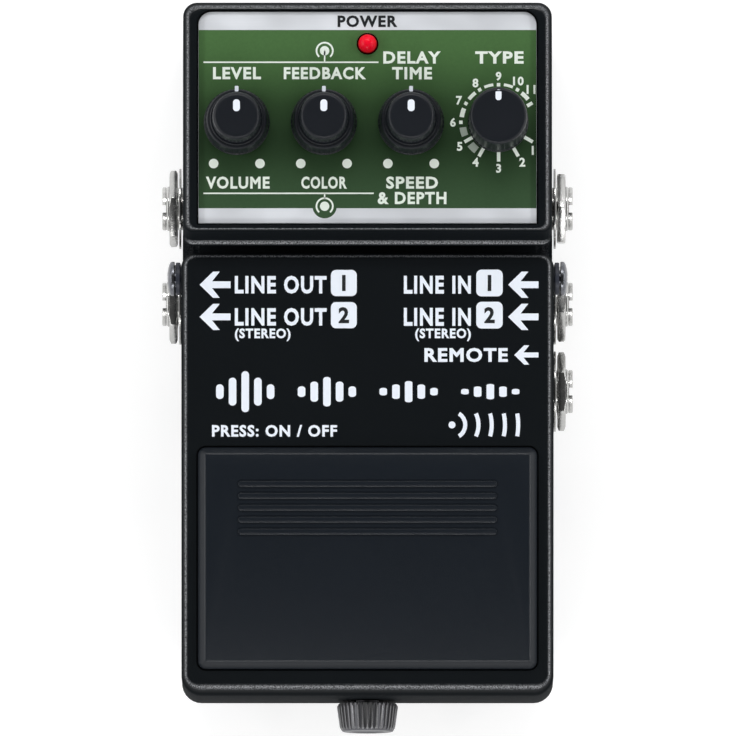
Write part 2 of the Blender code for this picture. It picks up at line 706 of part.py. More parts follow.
def power_z():
    return MAIN_BOARD_TOP_Z + FIT + POWER_BODY_H / 2


# Label, base and boards

def panel_outline(margin):
    """Outline of the recess, or of the label that lies in it with a margin: round rear corners only."""
    half_w = RECESS_HALF_W - margin
    front_y = RECESS_FRONT_Y + margin
    rear_y = RECESS_REAR_Y - margin
    radius = RIM_CORNER_R - margin
    outline = [(-half_w, front_y), (half_w, front_y)]
    outline += arc(half_w - radius, rear_y - radius, radius, 0, 90, 4)
    outline += arc(-half_w + radius, rear_y - radius, radius, 90, 180, 4)
    return outline


def make_label(materials):
    label = make_object("panel_label", slab(panel_outline(FIT), LABEL_Z, LABEL_TOP_Z),
                        materials["label_green"])
    low = LABEL_Z - OVERRUN
    high = LABEL_TOP_Z + OVERRUN
    holes = [moved(rod(POT_BUSHING_R + FIT, low, high), x, CONTROL_Y) for x in CONTROL_XS]
    holes.append(moved(rod(LED_R + FIT, low, high), 0.0, LED_Y))
    carve(label, cuts=holes)


def base_screw_places():
    return [(side * BASE_SCREW_X, y) for y in (BASE_SCREW_REAR_Y, BASE_SCREW_FRONT_Y) for side in (-1,
                                                                                                   1)]


def make_base(materials):
    half_w = CASE_HALF_W - PLATE_INSET
    plate = make_object("base_plate", slab(rounded_box_outline(
        -half_w, half_w, CASE_FRONT_Y + PLATE_INSET, CASE_REAR_Y - PLATE_INSET, CASE_CORNER_R),
        PLATE_Z, PLATE_Z + PLATE_THICK), materials["zinc_steel"])
    low = PLATE_Z - OVERRUN
    high = PLATE_Z + PLATE_THICK + OVERRUN
    carve(plate, cuts=[moved(rod(BASE_SCREW_R + FIT, low, high), x, y) for x, y in base_screw_places()])

    half_w = CASE_HALF_W - RUBBER_INSET
    rubber = make_object("base_rubber", slab(rounded_box_outline(
        -half_w, half_w, CASE_FRONT_Y + RUBBER_INSET, CASE_REAR_Y - RUBBER_INSET, CASE_CORNER_R),
        0.0, RUBBER_THICK), materials["rubber_black"])
    notches = []
    for x, y in base_screw_places():
        corner_x = math.copysign(CASE_HALF_W, x)
        corner_y = CASE_REAR_Y if y > 0 else CASE_FRONT_Y
        notches.append(moved(rod(RUBBER_NOTCH_R, -OVERRUN, PLATE_Z), x, y))
        x0, x1 = sorted((x - math.copysign(RUBBER_NOTCH_R, x), corner_x))
        y0, y1 = sorted((y, corner_y))
        notches.append(block(x0, x1, y0, y1, -OVERRUN, PLATE_Z))
        x0, x1 = sorted((x, corner_x))
        y0, y1 = sorted((y - math.copysign(RUBBER_NOTCH_R, y), corner_y))
        notches.append(block(x0, x1, y0, y1, -OVERRUN, PLATE_Z))
    carve(rubber, cuts=notches)

    head_top = PLATE_Z - FIT
    head_low = head_top - BASE_HEAD_THICK
    for number, (x, y) in enumerate(base_screw_places(), 1):
        screw = turned([
            (0, head_low), (BASE_HEAD_R * HEAD_RIM_SHARE, head_low), (BASE_HEAD_R,
                                                                      head_low + BASE_HEAD_THICK / 2),
            (BASE_HEAD_R, head_top), (BASE_SCREW_R, head_top),
            (BASE_SCREW_R, CASE_Z + BASE_SCREW_LENGTH - FIT * 2), (0, CASE_Z + BASE_SCREW_LENGTH - FIT),
        ], SMALL_ROUND)
        make_object(f"base_screw_{number}", moved(screw, x, y), materials["zinc_steel"])


def make_boards(materials):
    well_room = WELL_OUTER_R + FIT
    board = make_object("main_board", block(
        -MAIN_BOARD_HALF_W, MAIN_BOARD_HALF_W, MAIN_BOARD_FRONT_Y, MAIN_BOARD_REAR_Y,
        MAIN_BOARD_Z, MAIN_BOARD_TOP_Z), materials["board"])
    low = MAIN_BOARD_Z - OVERRUN
    high = MAIN_BOARD_TOP_Z + OVERRUN
    carve(board, cuts=[
        block(-well_room, well_room, MAIN_BOARD_FRONT_Y - OVERRUN, SPRING_Y, low, high),
        slab_round(well_room, low, high, SPRING_Y),
    ])
    make_object("pot_board", block(
        -POT_BOARD_HALF_W, POT_BOARD_HALF_W, CONTROL_Y - POT_BOARD_MARGIN, LED_Y + LED_FOOT_R + FIT,
        POT_BOARD_TOP_Z - BOARD_THICK, POT_BOARD_TOP_Z), materials["board"])


# Controls

def fluted_profile(base_r, top_r, low_z, high_z, depth):
    """Outside of a ribbed knob: a plain foot, grooved sides and a round top edge."""
    foot = (high_z - low_z) * KNOB_FOOT_SHARE
    return [
        (base_r, low_z), (base_r, low_z + foot), (base_r - depth, low_z + foot + depth, depth),
        (top_r, high_z - KNOB_EDGE_R * KNOB_SHOULDER_SHARE, depth),
        (top_r - KNOB_EDGE_R * KNOB_BROW_SHARE, high_z - KNOB_EDGE_R * KNOB_BROW_DROP_SHARE),
        (top_r - KNOB_EDGE_R, high_z),
    ]


def make_dual_control(number, x, materials):
    """One pot with its two shafts and two knobs."""
    top = LABEL_TOP_Z + POT_BUSHING_RISE
    body_low = POT_BODY_TOP_Z - POT_BODY_DEPTH
    half = POT_BODY_W / 2
    pot = make_object(f"dual_pot_{number}", slab(
        rounded_box_outline(-half, half, -half, half, KNOB_EDGE_R * 2, 1), body_low, POT_BODY_TOP_Z),
        materials["dark_chrome"])
    bore_low = PANEL_UNDER_Z - POT_SHAFT_DEPTH
    carve(pot, additions=[rod(POT_BUSHING_R, POT_BODY_TOP_Z - FIT, top)],
          cuts=[rod(OUTER_SHAFT_R + FIT, bore_low, top + OVERRUN)])
    pot.location = (x, CONTROL_Y, 0.0)

    low = OUTER_KNOB_Z
    high = low + OUTER_KNOB_HEIGHT
    under = low + POT_BUSHING_RISE + FIT
    room_r = POT_BUSHING_R + TOP_GAP
    bore_r = OUTER_SHAFT_R + FIT
    profile = fluted_profile(OUTER_KNOB_BASE_R, OUTER_KNOB_TOP_R, low, high, KNOB_FLUTE_DEPTH)
    profile += [(bore_r, high), (bore_r, under), (room_r, under), (room_r, low)]
    knob = make_object(f"outer_knob_{number}", turned(profile, OUTER_KNOB_FLUTES * 2, True, True),
                       materials["knob_black"])
    pointer_groove(knob, OUTER_KNOB_TOP_R, high, INNER_KNOB_BASE_R + FIT / 2,
                   OUTER_KNOB_TOP_R + OVERRUN)
    knob.location = (x, CONTROL_Y, 0.0)

    shaft = make_object(f"outer_shaft_{number}", tube(
        OUTER_SHAFT_R, OUTER_SHAFT_BORE_R, bore_low + FIT, high - FIT), materials["nickel"])
    shaft.location = (x, CONTROL_Y, 0.0)

    low = INNER_KNOB_Z
    seat = KNOB_TOP_Z - SHAFT_SEAT
    bore_r = INNER_SHAFT_R + FIT
    neck = low + (KNOB_TOP_Z - low) * KNOB_NECK_SHARE
    profile = [
        (0, seat), (bore_r, seat), (bore_r, low), (INNER_KNOB_BASE_R, low),
        (INNER_KNOB_BASE_R, low + KNOB_EDGE_R), (INNER_KNOB_NECK_R, neck),
        (INNER_KNOB_NECK_R, neck + KNOB_EDGE_R / 2, KNOB_FLUTE_DEPTH),
        (INNER_KNOB_TOP_R + FIT, KNOB_TOP_Z - KNOB_EDGE_R * KNOB_SHOULDER_SHARE, KNOB_FLUTE_DEPTH),
        (INNER_KNOB_TOP_R, KNOB_TOP_Z - KNOB_EDGE_R * KNOB_BROW_DROP_SHARE),
        (INNER_KNOB_TOP_R - KNOB_EDGE_R, KNOB_TOP_Z), (0, KNOB_TOP_Z),
    ]
    knob = make_object(f"inner_knob_{number}", turned(profile, INNER_KNOB_FLUTES * 2, False, True),
                       materials["knob_black"])
    pointer_groove(knob, INNER_KNOB_TOP_R, KNOB_TOP_Z, INNER_KNOB_TOP_R * POINTER_START_SHARE,
                   INNER_KNOB_BASE_R + OVERRUN)
    knob.location = (x, CONTROL_Y, 0.0)

    shaft = make_object(f"inner_shaft_{number}", rod(INNER_SHAFT_R, bore_low + FIT, seat - FIT),
                        materials["nickel"])
    shaft.location = (x, CONTROL_Y, 0.0)


def pointer_groove(knob, top_r, top_z, start, end):
    """Cut the shallow groove that holds a knob's white pointer."""
    carve(knob,
          cuts=[block(-POINTER_W / 2, POINTER_W / 2, start, end, top_z - POINTER_DEPTH,
                      top_z + OVERRUN)])


def make_mode_control(materials):
    """The rotary switch with its shaft and one tall knob."""
    x = CONTROL_XS[-1]
    top = LABEL_TOP_Z + POT_BUSHING_RISE
    body_low = POT_BODY_TOP_Z - POT_BODY_DEPTH
    switch = make_object("mode_switch", moved(
        rod(POT_BODY_W / 2 + FIT, body_low, POT_BODY_TOP_Z)), materials["black_plastic"])
    bore_low = PANEL_UNDER_Z - POT_SHAFT_DEPTH
    carve(switch, additions=[rod(POT_BUSHING_R, POT_BODY_TOP_Z - FIT, top)],
          cuts=[rod(MODE_SHAFT_R + FIT / 2, bore_low, top + OVERRUN)])
    switch.location = (x, CONTROL_Y, 0.0)

    low = OUTER_KNOB_Z
    seat = KNOB_TOP_Z - SHAFT_SEAT
    under = low + POT_BUSHING_RISE + FIT
    room_r = POT_BUSHING_R + TOP_GAP
    bore_r = MODE_SHAFT_R + FIT
    profile = [(0, seat), (bore_r, seat), (bore_r, under), (room_r, under), (room_r, low)]
    profile += fluted_profile(MODE_KNOB_BASE_R, MODE_KNOB_TOP_R, low, KNOB_TOP_Z, KNOB_FLUTE_DEPTH)
    profile += [(0, KNOB_TOP_Z)]
    knob = make_object("mode_knob", turned(profile, MODE_KNOB_FLUTES * 2, False, True),
                       materials["knob_black"])
    pointer_groove(knob, MODE_KNOB_TOP_R, KNOB_TOP_Z, MODE_KNOB_TOP_R * POINTER_START_SHARE,
                   MODE_KNOB_BASE_R + OVERRUN)
    knob.location = (x, CONTROL_Y, 0.0)
    shaft = make_object("mode_shaft", rod(MODE_SHAFT_R, bore_low + FIT, seat - FIT),
                        materials["nickel"])
    shaft.location = (x, CONTROL_Y, 0.0)


def make_led(materials):
    """Indicator light on its tall spacer, standing on the pot board."""
    foot = POT_BOARD_TOP_Z + FIT
    dome = LABEL_TOP_Z + LED_DOME_RISE
    shoulder = PANEL_UNDER_Z - FIT
    profile = [(0, foot), (LED_FOOT_R, foot), (LED_FOOT_R, shoulder), (LED_R, shoulder)]
    for step in range(4):
        turn = math.radians(90 * step / 4)
        profile.append((LED_R * math.cos(turn), dome - LED_R + LED_R * math.sin(turn)))
    profile.append((0, dome))
    led = make_object("status_led", turned(profile, SMALL_ROUND), materials["led_red"])
    led.location = (0.0, LED_Y, 0.0)


# Jacks

def make_jack(name, side, y, materials):
    """A phone jack with its socket, washer and hex nut, lying along X with the socket outwards."""
    half_w = JACK_BODY_W / 2
    half_h = JACK_BODY_H / 2
    outline = [(half_h - JACK_BODY_CHAMFER, -half_w), (half_h, -half_w + JACK_BODY_CHAMFER),
               (half_h, half_w - JACK_BODY_CHAMFER), (half_h - JACK_BODY_CHAMFER, half_w),
               (-half_h, half_w), (-half_h, -half_w)]
    body = make_object(name, along(slab([(-z, w) for z, w in outline], JACK_BODY_INNER_X, JACK_BODY_OUT_X), "+X"),
                       materials["black_plastic"])
    barrel = along(turned([
        (0, JACK_BODY_OUT_X - JACK_BODY_CHAMFER), (JACK_COLLAR_R, JACK_BODY_OUT_X - JACK_BODY_CHAMFER),
        (JACK_COLLAR_R, JACK_COLLAR_OUT_X), (JACK_BARREL_R, JACK_COLLAR_OUT_X),
        (JACK_BARREL_R, JACK_END_X - JACK_LIP_DEPTH / 2), (JACK_BARREL_R - JACK_LIP_DEPTH / 2,
                                                           JACK_END_X),
        (0, JACK_END_X),
    ], 24), "+X")
    bore_end = JACK_BODY_INNER_X + JACK_BACK_WALL
    bore = along(turned([
        (0, bore_end), (JACK_BORE_R, bore_end), (JACK_BORE_R, JACK_END_X - JACK_LIP_DEPTH),
        (JACK_LIP_R, JACK_END_X), (JACK_LIP_R, JACK_END_X + OVERRUN), (0, JACK_END_X + OVERRUN),
    ], 24), "+X")
    slot = block(JACK_END_X - JACK_SLOT_DEPTH, JACK_END_X + OVERRUN, -JACK_SLOT_W / 2, JACK_SLOT_W / 2,
                 -JACK_BARREL_R - OVERRUN, JACK_BARREL_R + OVERRUN)
    carve(body, additions=[barrel], cuts=[bore, slot])

    washer_x = CASE_HALF_W + STACK
    washer = make_object(name + "_washer", along(tube(
        WASHER_R, JACK_BARREL_R + FIT, washer_x, washer_x + WASHER_THICK), "+X"), materials["nickel"])

    nut_x = washer_x + WASHER_THICK + STACK
    corner_r = NUT_ACROSS_FLATS / 2 / math.cos(math.radians(30))
    hexagon = turned([
        (0, nut_x), (corner_r - NUT_CHAMFER * 2, nut_x), (corner_r, nut_x + NUT_CHAMFER),
        (corner_r, nut_x + NUT_THICK - NUT_CHAMFER), (corner_r - NUT_CHAMFER * 2, nut_x + NUT_THICK),
        (0, nut_x + NUT_THICK),
    ], 6)
    nut = make_object(name + "_nut", along(hexagon, "+X"), materials["nickel"])
    thread = along(rod(JACK_BARREL_R + FIT, nut_x - OVERRUN, nut_x + NUT_THICK + OVERRUN), "+X")
    carve(nut, cuts=[thread])

    for piece in (body, washer, nut):
        if side < 0:
            piece.data.transform(Matrix.Rotation(math.pi, 4, "Z"))
        piece.location = (0.0, y, JACK_Z)


def make_power_jack(materials):
    """Barrel power socket standing on the main board, its collar through the rear wall."""
    z = power_z()
    half_w = POWER_BODY_W / 2
    rear = CASE_CAVITY_REAR_Y - FIT
    jack = make_object("dc_jack", block(
        POWER_X - half_w, POWER_X + half_w, rear - POWER_BODY_LENGTH, rear,
        z - POWER_BODY_H / 2, z + POWER_BODY_H / 2), materials["black_plastic"])
    collar = along(rod(POWER_COLLAR_R, rear - FIT, POWER_COLLAR_END_Y, 24), "+Y")
    bore_end = POWER_COLLAR_END_Y - POWER_BORE_DEPTH
    bore = along(turned([
        (POWER_BORE_R, bore_end), (POWER_BORE_R, POWER_COLLAR_END_Y + OVERRUN),
        (POWER_PIN_R, POWER_COLLAR_END_Y + OVERRUN), (POWER_PIN_R, bore_end),
    ], 24, hollow=True), "+Y")
    pin_room = along(rod(POWER_BORE_R - FIT, POWER_COLLAR_END_Y - TOP_GAP,
                         POWER_COLLAR_END_Y + OVERRUN * 2), "+Y")
    carve(jack, additions=[moved(collar, POWER_X, 0.0, z)],
          cuts=[moved(bore, POWER_X, 0.0, z), moved(pin_room, POWER_X, 0.0, z)])


# Treadle

def heel_z(y):
    """Lower edge of the side flange, rounded up behind the hinge."""
    bottom = flange_edge_z(HINGE_Y)
    centre_y = TREADLE_REAR_Y - TREADLE_HEEL_R
    if y <= centre_y:
        return flange_edge_z(y)
    run = min(y - centre_y, TREADLE_HEEL_R)
    return bottom + TREADLE_HEEL_R - math.sqrt(TREADLE_HEEL_R ** 2 - run ** 2)


def treadle_rows(side_inset, rear_inset, front_inset):
    """Plan outline of the treadle as (x, y, outward y share, edge), alike in number for every inset.

    The edge says where the skin ends below: on a side flange, the rear lip or the front lip.
    """
    half_w = TREADLE_HALF_W - side_inset
    rear_y = TREADLE_REAR_Y - rear_inset
    front_y = TREADLE_FRONT_Y + front_inset
    front_r = TREADLE_CORNER_R - front_inset
    rear_r = TREADLE_REAR_CORNER_R - rear_inset
    lip_end_y = CASE_FRONT_Y - FIT
    turn = math.degrees(math.asin((front_y + front_r - lip_end_y) / front_r))
    rear_steps = [(90 * step / 4, "flange") for step in range(5)]
    front_steps = [(0, "flange"), (turn - LIP_LEAD_DEG, "flange"), (turn, "lip"), ((turn + 90) / 2, "lip"),
                   (90, "lip")]
    rows = []

    def corner(centre_x, centre_y, radius, start, steps):
        for extra, edge in steps:
            angle = math.radians(start + extra)
            place = (centre_x + radius * math.cos(angle), centre_y + radius * math.sin(angle))
            rows.append((*place, math.sin(angle), edge))

    corner(half_w - rear_r, rear_y - rear_r, rear_r, 0, rear_steps)
    rows.append((half_w - rear_r - FIT / 2, rear_y, 1.0, "rear"))
    rows.append((-half_w + rear_r + FIT / 2, rear_y, 1.0, "rear"))
    corner(-half_w + rear_r, rear_y - rear_r, rear_r, 90, rear_steps)
    corner(-half_w + front_r, front_y + front_r, front_r, 180, front_steps)
    corner(half_w - front_r, front_y + front_r, front_r, 270,
           [(90 - extra, edge) for extra, edge in reversed(front_steps)])
    return rows


def treadle_shell():
    """A lid in one skin: round outer edges, side flanges, a deep front lip and a short rear lip."""
    def edge_radius(share):
        if share > 0:
            return TREADLE_SIDE_R + (TREADLE_REAR_R - TREADLE_SIDE_R) * share
        return TREADLE_SIDE_R + (TREADLE_FRONT_R - TREADLE_SIDE_R) * -share

    def bottom(y, edge):
        if edge == "lip":
            return TREADLE_LIP_BOTTOM_Z
        if edge == "rear":
            return TREADLE_REAR_Z - TREADLE_REAR_LIP
        return heel_z(y)

    outer = treadle_rows(0.0, 0.0, 0.0)
    inner = treadle_rows(TREADLE_FLANGE, TREADLE_FLANGE, TREADLE_LIP_THICK)
    loops = [
        [(x, y, treadle_under_z(y)) for x, y, _, _ in inner],
        [(x, y, bottom(y, edge)) for x, y, _, edge in inner],
        [(x, y, bottom(y, edge)) for x, y, _, edge in outer],
        [(x, y, treadle_top_z(y) - edge_radius(share)) for x, y, share, _ in outer],
    ]
    for step in (1, 2, 3):
        turn = math.radians(30 * step)
        share_in = 1 - math.cos(turn)
        rows = treadle_rows(TREADLE_SIDE_R * share_in, TREADLE_REAR_R * share_in,
                            TREADLE_FRONT_R * share_in)
        loops.append([
            (x, y,
             treadle_top_z(y) - edge_radius(share) * (1 - math.sin(turn))) for x, y, share, _ in rows
        ])
    return stacked_loops(loops)


def make_treadle(materials):
    treadle = make_object("treadle", treadle_shell(), materials["case_paint"])
    peg_low = treadle_under_z(SPRING_Y) - SPRING_PEG_H
    pusher_low = button_top_z() + PUSHER_GAP
    inside = TREADLE_PLATE / 2
    additions = [
        slab_round(SPRING_PEG_R, peg_low, lambda y: treadle_under_z(y) + inside, SPRING_Y, SMALL_ROUND),
    ]
    pusher = slab_round(PUSHER_R, pusher_low, lambda y: treadle_under_z(y) + inside, SPRING_Y,
                        SMALL_ROUND)
    additions.append(moved(pusher, SWITCH_X))
    for side in (-1, 1):
        rib_y0 = TREADLE_FRONT_Y + TREADLE_LIP_THICK * 2
        rib_y1 = SPRING_Y - WELL_OUTER_R
        additions.append(block(
            side * RIB_X - RIB_THICK / 2, side * RIB_X + RIB_THICK / 2, rib_y0, rib_y1,
            lambda y: treadle_under_z(y) - RIB_DEPTH, lambda y: treadle_under_z(y) + inside))
    cuts = [pad_recess()]
    bush_hole = along(rod(HINGE_BUSH_R + RUN, -TREADLE_HALF_W * 2, TREADLE_HALF_W * 2, 24), "+X")
    cuts.append(moved(bush_hole, 0.0, HINGE_Y, HINGE_Z))
    thumb_hole = along(rod(
        THUMB_SHANK_R + FIT, -TREADLE_LIP_THICK * 2, TREADLE_LIP_THICK * 2, 24), "+Y")
    cuts.append(moved(thumb_hole, 0.0, TREADLE_FRONT_Y, THUMB_Z))
    carve(treadle, additions=additions, cuts=cuts)
    set_origin(treadle, (0.0, HINGE_Y, HINGE_Z))


def pad_outline(inset):
    return rounded_box_outline(-PAD_HALF_W + inset, PAD_HALF_W - inset, PAD_FRONT_Y + inset,
                               PAD_REAR_Y - inset,
                               PAD_CORNER_R - min(inset, PAD_CORNER_R - FIT), 3)


def pad_recess():
    """The shallow pocket in the treadle's top that the pad is glued into."""
    return slab(pad_outline(-FIT), lambda y: treadle_top_z(y) - PAD_SINK - FIT,
                lambda y: treadle_top_z(y) + OVERRUN)


def make_pad(materials):
    """Rubber pad with chamfered edges and low grip ribs across its rear part."""
    rise = PAD_THICK - PAD_SINK
    loops = []
    for inset, level in ((0.0, -PAD_SINK), (0.0, FIT), (PAD_CHAMFER, rise)):
        loops.append([(x, y, treadle_top_z(y) + level) for x, y in pad_outline(inset)])
    pad = make_object("treadle_pad", stacked_loops(loops), materials["rubber_black"])
    rib_half_w = PAD_HALF_W - PAD_RIB_MARGIN
    ribs = []
    for number in range(PAD_RIB_COUNT):
        y1 = PAD_REAR_Y - PAD_RIB_BACK - number * PAD_RIB_PITCH
        ribs.append(block(
            -rib_half_w, rib_half_w, y1 - PAD_RIB_WIDTH, y1,
            lambda y: treadle_top_z(y) + rise - FIT, lambda y: treadle_top_z(y) + rise + PAD_RIB_HEIGHT))
    carve(pad, additions=ribs)
    set_origin(pad, (0.0, HINGE_Y, HINGE_Z))


# Thumb screw, guide and hinge screws

def make_thumb_screw(materials):
    """Knurled screw head in front of the lip; its plain pin reaches into the guide bush."""
    base = -TREADLE_FRONT_Y + TOP_GAP
    end = base + THUMB_LENGTH
    tip = base - THUMB_SHANK_LENGTH
    head = turned([
        (0, base), (THUMB_BASE_R - THUMB_CHAMFER, base), (THUMB_BASE_R, base + THUMB_CHAMFER / 2,
                                                          THUMB_RIDGE_DEPTH),
        (THUMB_END_R, end - THUMB_CHAMFER, THUMB_RIDGE_DEPTH), (THUMB_END_R - THUMB_CHAMFER, end), (0,
                                                                                                    end),
    ], THUMB_RIDGES * 2, False, True)
    screw = make_object("thumb_screw", along(head, "-Y"), materials["thumb_steel"])
    pin = along(turned([
        (0, tip), (THUMB_SHANK_R - TOP_GAP, tip), (THUMB_SHANK_R, tip + TOP_GAP),
        (THUMB_SHANK_R, base + THUMB_CHAMFER), (0, base + THUMB_CHAMFER),
    ], SMALL_ROUND), "-Y")
    carve(screw, additions=[pin])
    screw.location = (0.0, 0.0, THUMB_Z)

    insert_y = TREADLE_FRONT_Y + TREADLE_LIP_THICK + STACK
    ring = along(tube(INSERT_R, THUMB_SHANK_R + FIT / 2, insert_y, insert_y + INSERT_THICK), "+Y")
    insert = make_object("screw_insert", ring, materials["zinc_steel"])
    insert.location = (0.0, 0.0, THUMB_Z)


def make_guide_bush(materials):
    """Nylon fork in the front wall: it stops the pin sideways and downwards, and is open above."""
    half_w = GUIDE_SLOT_HALF_W
    inner = half_w - GUIDE_WALL
    front = CASE_FRONT_Y + FIT
    rear = BAY_FRONT_Y - FIT
    bush = make_object("guide_bush", block(-half_w, half_w, front, rear, GUIDE_FLOOR_Z, GUIDE_TOP_Z),
                       materials["black_plastic"])
    carve(bush, cuts=[block(-inner, inner, front - OVERRUN, rear + OVERRUN, GUIDE_FLOOR_Z + GUIDE_WALL,
                            GUIDE_TOP_Z + OVERRUN)])


def make_hinge_screws(materials):
    """Shoulder screws at the treadle's rear corners, each through a flanged nylon bush."""
    flange_x = TREADLE_HALF_W + STACK
    head_x = flange_x + HINGE_BUSH_FLANGE + STACK
    head_end = head_x + HINGE_HEAD_THICK
    sleeve_x = CASE_UPPER_HALF_W + STACK
    screw_tip = CASE_UPPER_HALF_W - HINGE_SCREW_DEPTH
    for side, label in ((-1, "left"), (1, "right")):
        screw = turned([
            (0, screw_tip), (HINGE_SHANK_R, screw_tip), (HINGE_SHANK_R, head_x), (HINGE_HEAD_R, head_x),
            (HINGE_HEAD_R, head_x + HINGE_HEAD_THICK * HINGE_HEAD_EDGE_SHARE),
            (HINGE_HEAD_R * HEAD_RIM_SHARE, head_end), (0, head_end),
        ], 24)
        bush = turned([
            (HINGE_BUSH_R, sleeve_x), (HINGE_BUSH_R, flange_x), (HINGE_BUSH_FLANGE_R, flange_x),
            (HINGE_BUSH_FLANGE_R, flange_x + HINGE_BUSH_FLANGE),
            (HINGE_SHANK_R + RUN, flange_x + HINGE_BUSH_FLANGE), (HINGE_SHANK_R + RUN, sleeve_x),
        ], 24, hollow=True)
        for name, bm, slot in (("hinge_screw_", screw, "dark_chrome"),
                               ("hinge_bush_", bush, "blue_nylon")):
            along(bm, "+X")
            if side < 0:
                bm.transform(Matrix.Rotation(math.pi, 4, "Z"))
            piece = make_object(name + label, bm, materials[slot])
            piece.location = (0.0, HINGE_Y, HINGE_Z)


# Foot switch, spring and battery

def button_top_z():
    return deck_z(SPRING_Y) + BUTTON_RISE


def make_foot_switch(materials):
    half = SWITCH_BODY_W / 2
    low = MAIN_BOARD_TOP_Z + FIT
    body_top = low + SWITCH_BODY_H
    stem_top = deck_z(SPRING_Y) - FIT
    switch = make_object("foot_switch", slab(
        rounded_box_outline(-half, half, -half, half, KNOB_EDGE_R * 2,
                            1), low, body_top), materials["black_plastic"])
    bore_r = BUTTON_R + FIT
    carve(switch, additions=[rod(SWITCH_STEM_R, body_top - FIT, stem_top, 24)],
          cuts=[rod(bore_r, body_top - SWITCH_BODY_H / 2, stem_top + OVERRUN, 24)])
    switch.location = (SWITCH_X, SPRING_Y, 0.0)
    top = button_top_z()
    button = turned([
        (0, body_top - SWITCH_BODY_H / 2 + BUTTON_RISE), (BUTTON_R,
                                                          body_top - SWITCH_BODY_H / 2 + BUTTON_RISE),
        (BUTTON_R, top - FIT), (BUTTON_R - FIT, top), (0, top),
    ], SMALL_ROUND)
    button = make_object("switch_button", button, materials["plunger_white"])
    button.location = (SWITCH_X, SPRING_Y, 0.0)


def make_spring(materials):
    """Return spring as one tube on a helix whose end turns lie closer together."""
    low = WELL_FLOOR_TOP_Z + FIT + SPRING_WIRE_R
    high = treadle_under_z(SPRING_Y - SPRING_MEAN_R - SPRING_WIRE_R) - FIT - SPRING_WIRE_R
    count = SPRING_TURNS * SPRING_POINTS
    places = []
    for step in range(count + 1):
        share = step / count
        climb = share - SPRING_END_SHARE * math.sin(2 * math.pi * share) / (2 * math.pi)
        angle = 2 * math.pi * SPRING_TURNS * share
        x = SPRING_MEAN_R * math.cos(angle)
        y = SPRING_Y + SPRING_MEAN_R * math.sin(angle)
        places.append(Vector((x, y, low + (high - low) * climb)))
    curve = bpy.data.curves.new("return_spring", "CURVE")
    curve.dimensions = "3D"
    curve.bevel_depth = SPRING_WIRE_R
    curve.bevel_resolution = 1
    curve.use_fill_caps = True
    spline = curve.splines.new("POLY")
    spline.points.add(count)
    for point, place in zip(spline.points, places):
        point.co = (*place, 1.0)
    curve.materials.append(materials["zinc_steel"])
    spring = bpy.data.objects.new("return_spring", curve)
    bpy.context.scene.collection.objects.link(spring)
    gap = min((a - b).length for place,
              a in enumerate(places) for b in places[place + SPRING_POINTS // 2:])
    print(f"return spring: least gap to itself {(gap - 2 * SPRING_WIRE_R) / MM:.2f} mm")


def make_battery(materials):
    """The 9 V block lying across the bay, with its snap connector on the terminals."""
    x0 = -BATTERY_ROOM
    x1 = x0 + BATTERY_L
    y0 = BAY_FRONT_Y + BAY_CLEARANCE / 2
    low = CASE_Z
    middle_y = y0 + BATTERY_W / 2
    middle_z = low + BATTERY_H / 2
    outline = rounded_box_outline(-BATTERY_H / 2, BATTERY_H / 2, -BATTERY_W / 2, BATTERY_W / 2,
                                  KNOB_EDGE_R * 3, 2)
    body = moved(along(slab(outline, x0, x1), "+X"), 0.0, middle_y, middle_z)
    battery = make_object("battery", body, materials["battery_skin"])
    terminals = []
    for side in (-1, 1):
        stud = along(rod(BATTERY_TERMINAL_R, x1 - FIT, x1 + BATTERY_TERMINAL_H), "+X")
        terminals.append(moved(stud, 0.0, middle_y + side * BATTERY_TERMINAL_SPACING / 2, middle_z))
    carve(battery, additions=terminals)

    snap_x0 = x1 + FIT
    snap_x1 = x1 + BATTERY_TERMINAL_H + FIT + SNAP_THICK
    outline = rounded_box_outline(
        -BATTERY_H / 2 + SNAP_THICK / 2, BATTERY_H / 2 - SNAP_THICK / 2,
        -BATTERY_W / 2 + FIT, BATTERY_W / 2 - FIT, KNOB_EDGE_R * 3, 2)
    snap = make_object("battery_snap",
                       moved(along(slab(outline, snap_x0, snap_x1), "+X"), 0.0, middle_y, middle_z),
                       materials["black_plastic"])
    sockets = []
    for side in (-1, 1):
        socket = along(rod(BATTERY_TERMINAL_R + FIT, x1, x1 + BATTERY_TERMINAL_H + FIT), "+X")
        sockets.append(moved(socket, 0.0, middle_y + side * BATTERY_TERMINAL_SPACING / 2, middle_z))
    carve(snap, cuts=sockets)


def build_pedal():
    clear_scene()
    materials = make_materials()
    make_case(materials)
    make_label(materials)
    make_base(materials)
    make_boards(materials)
    for number, x in enumerate(CONTROL_XS[:-1], 1):
        make_dual_control(number, x, materials)
    make_mode_control(materials)
    make_led(materials)
    for name, side, y in JACK_PLACES:
        make_jack(name, side, y, materials)
    make_power_jack(materials)
    make_treadle(materials)
    make_pad(materials)
    make_thumb_screw(materials)
    make_guide_bush(materials)
    make_hinge_screws(materials)
    make_foot_switch(materials)
    make_spring(materials)
    make_battery(materials)


build_pedal()
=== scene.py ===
"""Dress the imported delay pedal: cast case, printed label, treadle, knobs, jacks, studio and camera.

Metres, +Z up, +Y towards the power jack, +X to the right of the player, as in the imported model.
"""
import json
import math

import bmesh
import bpy
from bpy.props import FloatProperty, FloatVectorProperty, IntProperty, PointerProperty
from mathutils import Matrix, Vector


